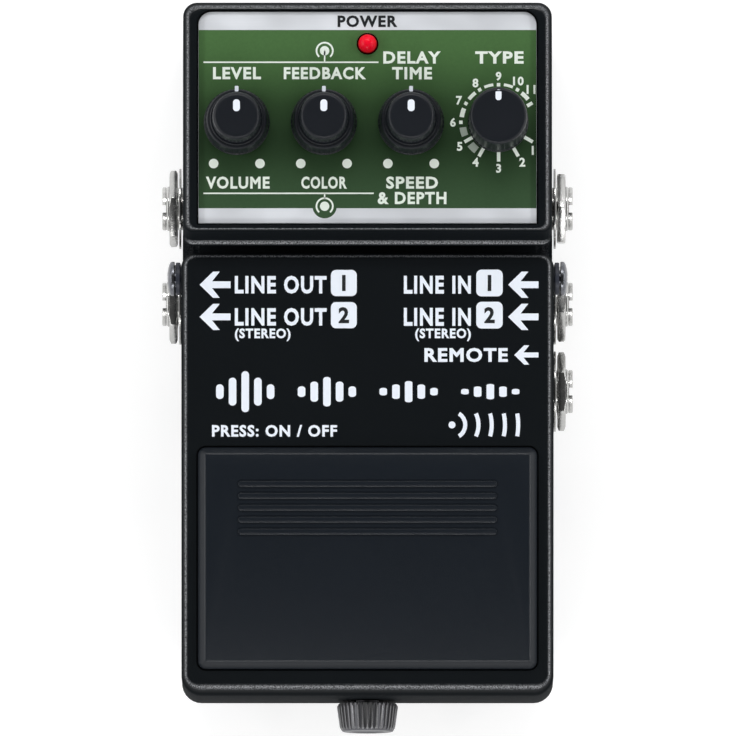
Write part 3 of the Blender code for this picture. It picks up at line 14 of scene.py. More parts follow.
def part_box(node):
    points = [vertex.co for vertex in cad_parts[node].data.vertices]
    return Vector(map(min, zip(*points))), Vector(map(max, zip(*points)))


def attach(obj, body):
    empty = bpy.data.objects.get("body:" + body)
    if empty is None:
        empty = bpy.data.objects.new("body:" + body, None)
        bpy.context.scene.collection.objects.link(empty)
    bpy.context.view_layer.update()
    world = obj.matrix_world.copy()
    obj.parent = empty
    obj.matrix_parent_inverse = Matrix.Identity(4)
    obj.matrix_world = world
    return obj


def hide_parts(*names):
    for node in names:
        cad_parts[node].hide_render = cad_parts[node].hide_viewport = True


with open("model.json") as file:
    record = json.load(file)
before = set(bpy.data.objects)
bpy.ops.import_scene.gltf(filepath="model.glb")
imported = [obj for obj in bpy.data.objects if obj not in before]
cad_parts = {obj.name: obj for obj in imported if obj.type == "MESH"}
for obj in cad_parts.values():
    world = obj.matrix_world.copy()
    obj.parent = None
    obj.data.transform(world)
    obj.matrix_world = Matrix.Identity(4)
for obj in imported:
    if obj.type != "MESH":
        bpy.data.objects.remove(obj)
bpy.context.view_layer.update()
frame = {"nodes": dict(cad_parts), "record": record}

bl_info = {
    "name": "Delay pedal dresser",
    "version": (1, 0, 0),
    "blender": (4, 5, 0),
    "location": "3D View > Sidebar > Pedal",
    "description": "Builds the finished surfaces of a compact delay pedal over its packed model",
    "category": "Object",
}

MM = 0.001

# Case
CASE_HALF_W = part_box("case")[1][0]
CASE_REAR_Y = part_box("case")[1][1]
CASE_FRONT_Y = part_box("case")[0][1]
CASE_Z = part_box("case")[0][2]
BLOCK_TOP_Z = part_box("case")[1][2]
CASE_DRAFT = 0.3 * MM
CASE_WALL = 2.2 * MM
CASE_CORNER_R = 2.5 * MM
CASE_FRONT_CORNER_R = 4.0 * MM
BLOCK_FRONT_Y = 22.3 * MM
BLOCK_EDGE_R = 1.7 * MM
BLOCK_SLOPE_RUN = 1.25 * MM
BLOCK_WALL_FRONT = 2.0 * MM
LEDGE_TOP_Z = 40.4 * MM
LEDGE_REACH = 0.9 * MM
LEDGE_THICK = 1.2 * MM
RECESS_SET_BACK = 0.5 * MM
RIM_SIDE = 2.4 * MM
RIM_FRONT = 1.0 * MM
RIM_REAR = 1.4 * MM
RIM_DEPTH = 1.4 * MM
RIM_CORNER_R = 2.6 * MM
PANEL_THICK = 2.2 * MM
BOSS_R = 3.2 * MM

# Treadle
TREADLE_HALF_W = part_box("treadle")[1][0]
TREADLE_REAR_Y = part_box("treadle")[1][1]
TREADLE_FRONT_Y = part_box("treadle")[0][1]
TREADLE_REAR_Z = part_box("treadle")[1][2]
TREADLE_LIP_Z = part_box("treadle")[0][2]
TREADLE_SLOPE = math.radians(8.6)
TREADLE_PLATE = 2.1 * MM
TREADLE_FLANGE = 2.2 * MM
TREADLE_FLANGE_DEPTH = 11.0 * MM
TREADLE_LIP_THICK = 2.1 * MM
TREADLE_REAR_R = 1.6 * MM
TREADLE_FRONT_R = 2.3 * MM
TREADLE_SIDE_R = 1.5 * MM
TREADLE_CORNER_R = 3.5 * MM
TREADLE_HEEL_R = 3.7 * MM
TREADLE_REAR_CORNER_R = 2.5 * MM
TREADLE_REAR_LIP = 2.8 * MM
TREADLE_DECK_GAP = 4.4 * MM
TREADLE_SIDE_GAP = 0.8 * MM
TREADLE_HEM_R = 0.35 * MM
SHOULDER_GAP_REAR = 0.6 * MM
SHOULDER_GAP_FRONT = 2.7 * MM
RIB_X = 14.0 * MM
RIB_THICK = 1.4 * MM
RIB_DEPTH = 1.5 * MM

# Hinge
HINGE_Y = 14.7 * MM
HINGE_Z = 34.9 * MM
HINGE_EAR_R = 3.0 * MM
HINGE_BOSS_DEPTH = 4.0 * MM
HINGE_SHANK_R = 1.5 * MM
HINGE_HEAD_R = 3.05 * MM
HINGE_HEAD_THICK = 1.3 * MM
HINGE_BUSH_R = 2.2 * MM
HINGE_BUSH_FLANGE_R = 2.9 * MM
HINGE_BUSH_FLANGE = 0.8 * MM
HINGE_SCREW_DEPTH = 5.0 * MM

# Pad
PAD_HALF_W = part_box("treadle_pad")[1][0]
PAD_REAR_Y = -15.4 * MM
PAD_FRONT_Y = -54.4 * MM
PAD_THICK = 2.0 * MM
PAD_SINK = 0.6 * MM
PAD_CHAMFER = 1.3 * MM
PAD_CORNER_R = 1.4 * MM
PAD_SOFT_R = 0.35 * MM
PAD_RIB_COUNT = 5
PAD_RIB_SPAN = 46.0 * MM
PAD_RIB_WIDTH = 1.1 * MM
PAD_RIB_PITCH = 2.1 * MM
PAD_RIB_HEIGHT = 0.35 * MM
PAD_RIB_BACK = 6.0 * MM

# Thumb screw and guide
THUMB_Z = 15.0 * MM
THUMB_BASE_R = 5.45 * MM
THUMB_END_R = 4.95 * MM
THUMB_LENGTH = 5.0 * MM
THUMB_RIDGES = 36
THUMB_RIDGE_DEPTH = 0.28 * MM
THUMB_CHAMFER = 0.5 * MM
THUMB_HEEL = 0.15 * MM
THUMB_SHANK_R = 2.0 * MM
THUMB_SHANK_LENGTH = 7.6 * MM
GUIDE_HALF_W = 4.0 * MM
GUIDE_FLOOR_Z = 9.4 * MM

# Base
BASE_SCREW_X = 29.4 * MM
BASE_SCREW_REAR_Y = 58.8 * MM
BASE_SCREW_FRONT_Y = -52.6 * MM
BASE_SCREW_R = 1.3 * MM
BASE_SCREW_LENGTH = 8.0 * MM
BASE_HEAD_R = 2.5 * MM
BASE_HEAD_THICK = 1.2 * MM
RUBBER_NOTCH_R = 3.4 * MM

# Jacks
JACK_Z = 17.5 * MM
JACK_PLACES = [
    ("jack_out_b", -1, 28.8 * MM),
    ("jack_out_a", -1, 11.7 * MM),
    ("jack_in_b", 1, 28.8 * MM),
    ("jack_in_a", 1, 11.7 * MM),
    ("jack_control", 1, -3.9 * MM),
]
JACK_END_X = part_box("jack_in_a")[1][0]
JACK_BARREL_R = 4.0 * MM
JACK_BORE_R = 3.2 * MM
JACK_BORE_END_X = 10.6 * MM
JACK_COLLAR_X = 30.5 * MM
JACK_SLOT_W = 2.0 * MM
JACK_SLOT_DEPTH = 0.7 * MM
JACK_LIP_R = 3.6 * MM
JACK_LIP_DEPTH = 0.5 * MM
NUT_ACROSS_FLATS = 12.2 * MM
NUT_THICK = 1.5 * MM
NUT_CHAMFER = 0.35 * MM
WASHER_R = 7.2 * MM
WASHER_THICK = 0.4 * MM
THREAD_PITCH = 0.75 * MM
THREAD_DEPTH = 0.22 * MM
POWER_X = 12.0 * MM
POWER_Z = 16.0 * MM
POWER_COLLAR_R = 4.2 * MM
POWER_COLLAR_END_Y = 64.5 * MM
POWER_BORE_R = 2.85 * MM
POWER_BORE_DEPTH = 9.0 * MM
POWER_PIN_R = 1.05 * MM

# Controls
LABEL_TOP_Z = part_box("panel_label")[1][2]
LABEL_LOW_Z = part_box("panel_label")[0][2]
CONTROL_Y = 41.55 * MM
CONTROL_X = 23.175 * MM
CONTROL_XS = [-CONTROL_X, -CONTROL_X / 3, CONTROL_X / 3, CONTROL_X]
KNOB_TOP_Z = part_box("mode_knob")[1][2]
OUTER_KNOB_Z = 46.2 * MM
OUTER_KNOB_HEIGHT = 6.0 * MM
OUTER_KNOB_BASE_R = 5.85 * MM
OUTER_KNOB_TOP_R = 5.45 * MM
OUTER_KNOB_BORE_R = 2.8 * MM
INNER_KNOB_Z = 52.5 * MM
INNER_KNOB_BASE_R = 4.75 * MM
INNER_KNOB_NECK_R = 4.35 * MM
INNER_KNOB_TOP_R = 4.0 * MM
MODE_KNOB_BASE_R = 5.35 * MM
MODE_KNOB_TOP_R = 5.15 * MM
POT_BUSHING_R = 3.5 * MM
POINTER_W = 1.22 * MM
LED_Y = 55.6 * MM
LED_R = 1.65 * MM

# Clearances and thin layers
FIT = 0.3 * MM
STACK = 0.2 * MM
RUN = 0.2 * MM
OVERRUN = 2.0 * MM
TOP_GAP = 0.5 * MM
WELD = 0.002 * MM
INK_THICK = 0.03 * MM
INK_LIFT = 0.012 * MM

# Bay, spring well and foot switch
BAY_FRONT_Y = -50.4 * MM
BAY_REAR_Y = -23.6 * MM
BAY_HALF_W = 27.55 * MM
PARTITION = 1.8 * MM
SPRING_Y = -13.3 * MM
WELL_R = 6.8 * MM
WELL_WALL = 1.5 * MM
WELL_FLOOR = 1.5 * MM
SPRING_PEG_R = 3.6 * MM
SPRING_PEG_H = 3.0 * MM
SWITCH_X = -15.8 * MM
SWITCH_STEM_R = 3.6 * MM
PUSHER_R = 3.4 * MM
BUTTON_TOP_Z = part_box("switch_button")[1][2]
PUSHER_GAP = 0.95 * MM

# Sizes that follow
CASE_UPPER_HALF_W = TREADLE_HALF_W - TREADLE_FLANGE - TREADLE_SIDE_GAP
CASE_INNER_HALF_W = CASE_HALF_W - CASE_WALL
RECESS_FLOOR_Z = BLOCK_TOP_Z - RIM_DEPTH
RECESS_HALF_W = CASE_HALF_W - CASE_DRAFT - RIM_SIDE
RECESS_FRONT_Y = BLOCK_FRONT_Y + RIM_FRONT
RECESS_REAR_Y = CASE_REAR_Y - RIM_REAR
PANEL_UNDER_Z = RECESS_FLOOR_Z - PANEL_THICK
LEDGE_WALL_Y = BLOCK_FRONT_Y - RECESS_SET_BACK
LEDGE_TIP_Y = BLOCK_FRONT_Y - BLOCK_SLOPE_RUN - LEDGE_REACH
BLOCK_CAVITY_FRONT_Y = BLOCK_FRONT_Y + BLOCK_WALL_FRONT
CASE_CAVITY_REAR_Y = CASE_REAR_Y - CASE_WALL
TROUGH_FRONT_Y = HINGE_Y + HINGE_EAR_R - TOP_GAP
WELL_OUTER_R = WELL_R + WELL_WALL
WASHER_X = CASE_HALF_W + STACK
NUT_X = WASHER_X + WASHER_THICK + STACK

TROUGH_SHARE = 0.66

# Smoothness
CORNER_STEPS = 10
EDGE_STEPS = 6
ROUND = 64
FINE_ROUND = 96


def treadle_top_z(y):
    """Height of the treadle's sloping top face above a place along the pedal."""
    return TREADLE_REAR_Z - math.tan(TREADLE_SLOPE) * (TREADLE_REAR_Y - y)


def treadle_under_z(y):
    return treadle_top_z(y) - TREADLE_PLATE / math.cos(TREADLE_SLOPE)


def deck_z(y):
    """Height of the case's front deck under the treadle."""
    return treadle_under_z(y) - TREADLE_DECK_GAP


def flange_edge_z(y):
    return treadle_top_z(y) - TREADLE_FLANGE_DEPTH


def shoulder_z(y):
    """Height of the case's shoulder under the treadle's side flanges."""
    share = (HINGE_Y - y) / (HINGE_Y - CASE_FRONT_Y)
    return flange_edge_z(y) - SHOULDER_GAP_REAR - (SHOULDER_GAP_FRONT - SHOULDER_GAP_REAR) * share


def trough_z():
    """Height of the low deck behind the hinge."""
    swing = math.hypot(TREADLE_REAR_Y - TREADLE_REAR_R - HINGE_Y, TREADLE_REAR_Z - TREADLE_REAR_R - HINGE_Z)
    return HINGE_Z - (swing + TREADLE_REAR_R) * TROUGH_SHARE



# Mesh tools

def new_object(name, mesh, material=None):
    if material:
        mesh.materials.append(material)
    obj = bpy.data.objects.new(name, mesh)
    bpy.context.scene.collection.objects.link(obj)
    return obj


def smooth(mesh, angle_deg=32):
    mesh.shade_smooth()
    mesh.set_sharp_from_angle(angle=math.radians(angle_deg))
    return mesh


def make_object(name, bm, material=None, angle_deg=32, turn_out=True):
    """Turn a bmesh into a smooth-shaded object with sharp edges kept."""
    if turn_out:
        bmesh.ops.recalc_face_normals(bm, faces=bm.faces)
    mesh = bpy.data.meshes.new(name)
    bm.to_mesh(mesh)
    bm.free()
    return new_object(name, smooth(mesh, angle_deg), material)


def arc(centre_a, centre_b, radius, start_deg, end_deg, steps):
    """Points along an arc, both ends included."""
    points = []
    for step in range(steps + 1):
        angle = math.radians(start_deg + (end_deg - start_deg) * step / steps)
        points.append((centre_a + radius * math.cos(angle), centre_b + radius * math.sin(angle)))
    return points


def rounded_box_outline(x0, x1, y0, y1, radius, steps=CORNER_STEPS):
    """Counter-clockwise outline of a rectangle with round corners."""
    points = arc(x1 - radius, y1 - radius, radius, 0, 90, steps)
    points += arc(x0 + radius, y1 - radius, radius, 90, 180, steps)
    points += arc(x0 + radius, y0 + radius, radius, 180, 270, steps)
    points += arc(x1 - radius, y0 + radius, radius, 270, 360, steps)
    return points


def stacked_loops(loops, capped=True):
    """Skin a stack of point loops of equal length."""
    bm = bmesh.new()
    rings = [[bm.verts.new(point) for point in loop] for loop in loops]
    pairs = list(zip(rings, rings[1:]))
    if not capped:
        pairs.append((rings[-1], rings[0]))
    for low, high in pairs:
        count = len(low)
        for place in range(count):
            after = (place + 1) % count
            bm.faces.new((low[place], low[after], high[after], high[place]))
    if capped:
        bm.faces.new(list(reversed(rings[0])))
        bm.faces.new(rings[-1])
    return bm


def slab(outline, low_z, high_z):
    """Upright prism over an outline; each height is a number or a function of y."""
    def height(level, y):
        return level(y) if callable(level) else level
    low = [(x, y, height(low_z, y)) for x, y in outline]
    high = [(x, y, height(high_z, y)) for x, y in outline]
    return stacked_loops([low, high])


def block(x0, x1, y0, y1, z0, z1):
    return slab([(x0, y0), (x1, y0), (x1, y1), (x0, y1)], z0, z1)


def turned(profile, segments=ROUND, hollow=False):
    """Turn a (radius, height) profile round Z; a solid one starts and ends on the axis."""
    bm = bmesh.new()
    rings = []
    for radius, z in profile:
        if radius == 0:
            rings.append([bm.verts.new((0.0, 0.0, z))])
            continue
        rings.append([bm.verts.new((x, y, z)) for x, y in arc(0.0, 0.0, radius, 0, 360 - 360 / segments,
                                                              segments - 1)])
    pairs = list(zip(rings, rings[1:]))
    if hollow:
        pairs.append((rings[-1], rings[0]))
    for low, high in pairs:
        for place in range(segments):
            after = (place + 1) % segments
            if len(low) == 1:
                bm.faces.new((low[0], high[after], high[place]))
            elif len(high) == 1:
                bm.faces.new((low[place], low[after], high[0]))
            else:
                bm.faces.new((low[place], low[after], high[after], high[place]))
    return bm


def rod(radius, z0, z1, segments=ROUND):
    return turned([(0, z0), (radius, z0), (radius, z1), (0, z1)], segments)


def along(bm, axis):
    """Lay a bmesh built along Z along another axis."""
    turns = {
        "+X": Matrix.Rotation(math.radians(90), 4, "Y"),
        "+Y": Matrix.Rotation(math.radians(-90), 4, "X"),
        "-Y": Matrix.Rotation(math.radians(90), 4, "X"),
    }
    bm.transform(turns[axis])
    return bm


def moved(bm, x=0.0, y=0.0, z=0.0):
    bm.transform(Matrix.Translation((x, y, z)))
    return bm


def joined(*parts):
    """One bmesh from several."""
    whole = bmesh.new()
    for part in parts:
        mesh = bpy.data.meshes.new("part")
        part.to_mesh(mesh)
        part.free()
        whole.from_mesh(mesh)
        bpy.data.meshes.remove(mesh)
    return whole


def evaluated_mesh(obj):
    """The object's mesh with its modifiers applied."""
    bpy.context.view_layer.update()
    graph = bpy.context.evaluated_depsgraph_get()
    return bpy.data.meshes.new_from_object(obj.evaluated_get(graph))


def settle(obj, angle_deg=32):
    """Keep the object's evaluated shape and drop its modifiers."""
    mesh = evaluated_mesh(obj)
    bm = bmesh.new()
    bm.from_mesh(mesh)
    bmesh.ops.remove_doubles(bm, verts=bm.verts, dist=WELD)
    bmesh.ops.dissolve_degenerate(bm, edges=bm.edges, dist=WELD)
    bm.to_mesh(mesh)
    bm.free()
    obj.modifiers.clear()
    old = obj.data
    obj.data = mesh
    mesh.name = obj.name
    bpy.data.meshes.remove(old)
    smooth(mesh, angle_deg)
    return obj


def carve(obj, additions=(), cuts=()):
    """Join shapes to an object or cut them away, and settle it."""
    tools = []
    for operation, shapes in (("UNION", additions), ("DIFFERENCE", cuts)):
        for bm in shapes:
            tool = make_object(obj.name + "_tool", bm)
            modifier = obj.modifiers.new(operation.lower(), "BOOLEAN")
            modifier.operation = operation
            modifier.solver = "EXACT"
            modifier.object = tool
            tools.append(tool)
    settle(obj)
    for tool in tools:
        mesh = tool.data
        bpy.data.objects.remove(tool, do_unlink=True)
        bpy.data.meshes.remove(mesh)
    return obj


def soften(obj, width, segments=2, angle_deg=40):
    """Round the sharp edges of a finished shape by a small radius."""
    bevel = obj.modifiers.new("soft_edges", "BEVEL")
    bevel.width = width
    bevel.segments = segments
    bevel.limit_method = "ANGLE"
    bevel.angle_limit = math.radians(angle_deg)
    bevel.use_clamp_overlap = True
    bevel.miter_outer = "MITER_ARC"
    return settle(obj)


def round_steps(radius, steps=EDGE_STEPS):
    """(inset, rise) pairs up a quarter-round edge."""
    pairs = []
    for step in range(1, steps + 1):
        turn = math.radians(90 * step / steps)
        pairs.append((radius * (1 - math.cos(turn)), radius * math.sin(turn)))
    return pairs


# Geometry Nodes for what repeats

def add_node(tree, kind, **inputs):
    """Add a node and set its plain input values by name."""
    node = tree.nodes.new(kind)
    for name, value in inputs.items():
        node.inputs[name.replace("_", " ")].default_value = value
    return node


def new_geometry_tree(name, sockets):
    """Geometry node group with a geometry in and out and the named inputs."""
    tree = bpy.data.node_groups.new(name, "GeometryNodeTree")
    tree.is_modifier = True
    tree.interface.new_socket("Geometry", in_out="OUTPUT", socket_type="NodeSocketGeometry")
    tree.interface.new_socket("Geometry", in_out="INPUT", socket_type="NodeSocketGeometry")
    for socket, kind in sockets:
        tree.interface.new_socket(socket, in_out="INPUT", socket_type=kind)
    source = tree.nodes.new("NodeGroupInput")
    return tree, source


def end_geometry_tree(tree, source, instances):
    """Finish a tree with real geometry and the given finish."""
    real = tree.nodes.new("GeometryNodeRealizeInstances")
    paint = tree.nodes.new("GeometryNodeSetMaterial")
    out = tree.nodes.new("NodeGroupOutput")
    tree.links.new(instances, real.inputs["Geometry"])
    tree.links.new(real.outputs["Geometry"], paint.inputs["Geometry"])
    tree.links.new(source.outputs["Finish"], paint.inputs["Material"])
    tree.links.new(paint.outputs["Geometry"], out.inputs["Geometry"])
    return tree


def math_node(tree, operation, first, second):
    """Math node whose two inputs are sockets or plain numbers."""
    node = tree.nodes.new("ShaderNodeMath")
    node.operation = operation
    for place, value in enumerate((first, second)):
        if isinstance(value, (int, float)):
            node.inputs[place].default_value = value
        else:
            tree.links.new(value, node.inputs[place])
    return node.outputs[0]


def ring_tree():
    """Copies of a shape turned about Z by an even step."""
    tree, source = new_geometry_tree("copies round an axis", [
        ("Count", "NodeSocketInt"), ("Start", "NodeSocketFloat"), ("Step", "NodeSocketFloat"),
        ("Finish", "NodeSocketMaterial"),
    ])
    points = tree.nodes.new("GeometryNodePoints")
    index = tree.nodes.new("GeometryNodeInputIndex")
    angle = math_node(tree, "ADD", source.outputs["Start"],
                      math_node(tree, "MULTIPLY", index.outputs[0], source.outputs["Step"]))
    turn = tree.nodes.new("ShaderNodeCombineXYZ")
    euler = tree.nodes.new("FunctionNodeEulerToRotation")
    place = tree.nodes.new("GeometryNodeInstanceOnPoints")
    tree.links.new(source.outputs["Count"], points.inputs["Count"])
    tree.links.new(angle, turn.inputs["Z"])
    tree.links.new(turn.outputs[0], euler.inputs[0])
    tree.links.new(points.outputs[0], place.inputs["Points"])
    tree.links.new(source.outputs["Geometry"], place.inputs["Instance"])
    tree.links.new(euler.outputs[0], place.inputs["Rotation"])
    return end_geometry_tree(tree, source, place.outputs[0])


def row_tree():
    """Copies of a shape in a row, each shorter in y than the last by a share."""
    tree, source = new_geometry_tree("copies in a row", [
        ("Count", "NodeSocketInt"), ("Step", "NodeSocketVector"), ("Keep", "NodeSocketFloat"),
        ("Finish", "NodeSocketMaterial"),
    ])
    points = tree.nodes.new("GeometryNodePoints")
    index = tree.nodes.new("GeometryNodeInputIndex")
    reach = tree.nodes.new("ShaderNodeVectorMath")
    reach.operation = "SCALE"
    size = tree.nodes.new("ShaderNodeCombineXYZ")
    size.inputs["X"].default_value = 1.0
    size.inputs["Z"].default_value = 1.0
    place = tree.nodes.new("GeometryNodeInstanceOnPoints")
    tree.links.new(source.outputs["Count"], points.inputs["Count"])
    tree.links.new(source.outputs["Step"], reach.inputs[0])
    tree.links.new(index.outputs[0], reach.inputs["Scale"])
    tree.links.new(reach.outputs["Vector"], points.inputs["Position"])
    tree.links.new(math_node(tree, "POWER", source.outputs["Keep"], index.outputs[0]), size.inputs["Y"])
    tree.links.new(points.outputs[0], place.inputs["Points"])
    tree.links.new(source.outputs["Geometry"], place.inputs["Instance"])
    tree.links.new(size.outputs[0], place.inputs["Scale"])
    return end_geometry_tree(tree, source, place.outputs[0])


def spot_tree():
    """A shape copied to every vertex of a mesh of places."""
    tree, source = new_geometry_tree("copies at places", [
        ("Shape", "NodeSocketObject"), ("Finish", "NodeSocketMaterial"),
    ])
    shape = tree.nodes.new("GeometryNodeObjectInfo")
    place = tree.nodes.new("GeometryNodeInstanceOnPoints")
    tree.links.new(source.outputs["Shape"], shape.inputs["Object"])
    tree.links.new(source.outputs["Geometry"], place.inputs["Points"])
    tree.links.new(shape.outputs["Geometry"], place.inputs["Instance"])
    return end_geometry_tree(tree, source, place.outputs[0])


def shared_tree(name, build):
    return bpy.data.node_groups.get(name) or build()


def grow(bm, tree, paint, **inputs):
    """Run a bmesh through a geometry tree and give back the result as a bmesh."""
    obj = make_object("seed", bm, turn_out=False)
    modifier = obj.modifiers.new("copies", "NODES")
    modifier.node_group = tree
    values = dict(inputs, Finish=paint)
    for item in tree.interface.items_tree:
        if item.item_type == "SOCKET" and item.in_out == "INPUT" and item.name in values:
            modifier[item.identifier] = values[item.name]
    mesh = evaluated_mesh(obj)
    obj.modifiers.clear()
    bpy.data.objects.remove(obj, do_unlink=True)
    grown = bmesh.new()
    grown.from_mesh(mesh)
    bpy.data.meshes.remove(mesh)
    return grown


def ring_of(bm, count, paint, start_deg=0.0, step_deg=None):
    """Even copies of a shape round Z."""
    step = 360.0 / count if step_deg is None else step_deg
    return grow(bm, shared_tree("copies round an axis", ring_tree), paint,
                Count=count, Start=math.radians(start_deg), Step=math.radians(step))


def row_of(bm, count, step, paint, keep=1.0):
    """Copies of a shape in a row."""
    return grow(bm, shared_tree("copies in a row", row_tree), paint, Count=count, Step=step, Keep=keep)


def spots_of(bm, places, paint):
    """Copies of a shape at listed places."""
    shape = make_object("spot_shape", bm, turn_out=False)
    dots = bmesh.new()
    for place in places:
        dots.verts.new(place)
    grown = grow(dots, shared_tree("copies at places", spot_tree), paint, Shape=shape)
    bpy.data.objects.remove(shape, do_unlink=True)
    return grown


# Finishes

def shader_tree(name):
    """New material with its Principled shader and the object's own coordinates."""
    material = bpy.data.materials.new(name)
    material.use_nodes = True
    tree = material.node_tree
    coords = tree.nodes.new("ShaderNodeTexCoord")
    return material, tree, tree.nodes["Principled BSDF"], coords.outputs["Object"]


def noise(tree, place, size, detail=3.0, stretch=(1.0, 1.0, 1.0)):
    """Noise whose features are about the given size; a stretch of 0.05 makes them 20 times longer."""
    mapping = tree.nodes.new("ShaderNodeMapping")
    mapping.inputs["Scale"].default_value = stretch
    texture = add_node(tree, "ShaderNodeTexNoise", Scale=1.0 / size, Detail=detail)
    tree.links.new(place, mapping.inputs["Vector"])
    tree.links.new(mapping.outputs[0], texture.inputs["Vector"])
    return texture.outputs["Fac"]


def spread(tree, value, low, high):
    """Map a 0 to 1 value onto a range."""
    node = add_node(tree, "ShaderNodeMapRange", To_Min=low, To_Max=high)
    node.clamp = True
    tree.links.new(value, node.inputs["Value"])
    return node.outputs[0]


def blend_colours(tree, share, first, second):
    """Mix two colours, each a socket or an (r, g, b)."""
    node = tree.nodes.new("ShaderNodeMix")
    node.data_type = "RGBA"
    tree.links.new(share, node.inputs[0])
    for socket, colour in ((node.inputs[6], first), (node.inputs[7], second)):
        if isinstance(colour, tuple):
            socket.default_value = (*colour, 1.0)
        else:
            tree.links.new(colour, socket)
    return node.outputs[2]


def band(tree, value, start, end):
    """Rise from 0 to 1 between two values."""
    node = add_node(tree, "ShaderNodeMapRange", From_Min=start, From_Max=end)
    node.interpolation_type = "SMOOTHSTEP"
    tree.links.new(value, node.inputs["Value"])
    return node.outputs[0]


def bump(tree, height, depth, shader, strength=1.0):
    node = add_node(tree, "ShaderNodeBump", Strength=strength, Distance=depth)
    tree.links.new(height, node.inputs["Height"])
    tree.links.new(node.outputs[0], shader.inputs["Normal"])


def edge_share(tree, start=0.53, end=0.62):
    """How much a spot lies on an outer edge."""
    geometry = tree.nodes.new("ShaderNodeNewGeometry")
    return band(tree, geometry.outputs["Pointiness"], start, end)


def face_axes(tree):
    """The direction of a face in its own piece's axes."""
    coords = tree.nodes.new("ShaderNodeTexCoord")
    split = tree.nodes.new("ShaderNodeSeparateXYZ")
    tree.links.new(coords.outputs["Normal"], split.inputs[0])
    return split.outputs


def level_share(tree):
    """How far a face looks upwards: 0 on upright faces, 1 on tops and their round edges."""
    return band(tree, face_axes(tree)["Z"], 0.45, 0.92)


def painted_highlight_share(tree):
    """1 on the upper part of round top edges, where a face turns away from all three axes, else 0: where the painted
    highlight goes.
    """
    axes = face_axes(tree)
    main = 0.0
    for axis in axes:
        main = math_node(tree, "MAXIMUM", main, math_node(tree, "ABSOLUTE", axis, 0.0))
    turned_away = spread(tree, band(tree, main, 0.86, 0.965), 1.0, 0.0)
    return math_node(tree, "MULTIPLY", turned_away, band(tree, axes["Z"], 0.7, 0.88))


def finish(name, colour, roughness, metallic=0.0, specular=0.5, grain=0.3 * MM, depth=0.01 * MM,
           mottle=0.12, rough_swing=0.06, stretch=(1.0, 1.0, 1.0), wear_and_highlight=None, wear_and_highlight_share=0.35, flank=None):
    """Procedural finish: mottled colour, uneven roughness, fine grain and worn edges.

    A flank, as (roughness, specular), is what handling never polished: the upright faces. Such a
    paint gets, in place of worn edges, a painted highlight: a light colour on the upper part of its round edges.
    """
    material, tree, shader, place = shader_tree(name)
    cloud = noise(tree, place, 9.0 * MM, 4.0)
    fine = noise(tree, place, grain, 2.0, stretch)
    dark = tuple(part * (1.0 - mottle) for part in colour)
    light = tuple(min(1.0, part * (1.0 + mottle)) for part in colour)
    tone = blend_colours(tree, cloud, dark, light)
    # Edge colour: with a flank it is a painted highlight on the upper part of round top edges, speckled; without one it
    # is wear on pointed edges.
    if wear_and_highlight:
        edges = painted_highlight_share(tree) if flank else edge_share(tree)
        edge_specks = band(tree, fine, 0.3, 0.7) if flank else fine
        share = math_node(tree, "MULTIPLY", edges, spread(tree, edge_specks, 0.0, wear_and_highlight_share))
        tone = blend_colours(tree, share, tone, wear_and_highlight)
    tree.links.new(tone, shader.inputs["Base Color"])
    uneven = spread(tree, noise(tree, place, grain * 4, 2.0, stretch), max(0.02, roughness - rough_swing),
                    roughness + rough_swing)
    shader.inputs["Metallic"].default_value = metallic
    shader.inputs["Specular IOR Level"].default_value = specular
    if flank:
        level = level_share(tree)
        uneven = math_node(tree, "ADD", uneven, spread(tree, level, flank[0] - roughness, 0.0))
        tree.links.new(spread(tree, level, flank[1], specular), shader.inputs["Specular IOR Level"])
    tree.links.new(uneven, shader.inputs["Roughness"])
    bump(tree, fine, depth, shader)
    return material


def green_finish(rear, middle, front):
    """Printed green with painted shade round the knobs: darkest in the knobs' row and lighter towards both strips."""
    material, tree, shader, place = shader_tree("label_green")
    split = tree.nodes.new("ShaderNodeSeparateXYZ")
    tree.links.new(place, split.inputs[0])
    shade_y = GREEN_FRONT_Y + (GREEN_REAR_Y - GREEN_FRONT_Y) * GREEN_SHADE_SHARE
    # Painted shade: the middle colour, darkest at the knobs' row, stands in for the knobs' shadow on the label.
    tone = blend_colours(tree, band(tree, split.outputs["Y"], GREEN_FRONT_Y, shade_y), tuple(front), tuple(middle))
    tone = blend_colours(tree, band(tree, split.outputs["Y"], shade_y, GREEN_REAR_Y), tone, tuple(rear))
    speck = noise(tree, place, 0.5 * MM, 3.0)
    tone = blend_colours(tree, spread(tree, speck, 0.0, 0.22), tone, tuple(part * 0.6 for part in middle))
    tree.links.new(tone, shader.inputs["Base Color"])
    tree.links.new(spread(tree, speck, 0.36, 0.5), shader.inputs["Roughness"])
    shader.inputs["Specular IOR Level"].default_value = 0.12
    bump(tree, noise(tree, place, 0.12 * MM, 2.0), 0.004 * MM, shader)
    return material


GREEN_SHADE_SHARE = 0.38


def silver_finish(colour):
    """Brushed plate whose strokes run from side to side, with broad lighter bands of painted sheen."""
    material, tree, shader, place = shader_tree("label_silver")
    strokes = noise(tree, place, 0.16 * MM, 4.0, (0.012, 1.0, 1.0))
    # Painted sheen: broad soft bands that lighten the plate's colour in places.
    painted_sheen = band(tree, noise(tree, place, 3.0 * MM, 1.0, (0.3, 0.5, 1.0)), 0.3, 0.7)
    tone = blend_colours(tree, painted_sheen, tuple(part * 0.8 for part in colour), tuple(colour))
    tone = blend_colours(tree, spread(tree, strokes, 0.0, 0.2), tone, tuple(part * 0.7 for part in colour))
    tree.links.new(tone, shader.inputs["Base Color"])
    tree.links.new(spread(tree, strokes, 0.26, 0.46), shader.inputs["Roughness"])
    shader.inputs["Metallic"].default_value = 0.1
    bump(tree, strokes, 0.006 * MM, shader)
    return material


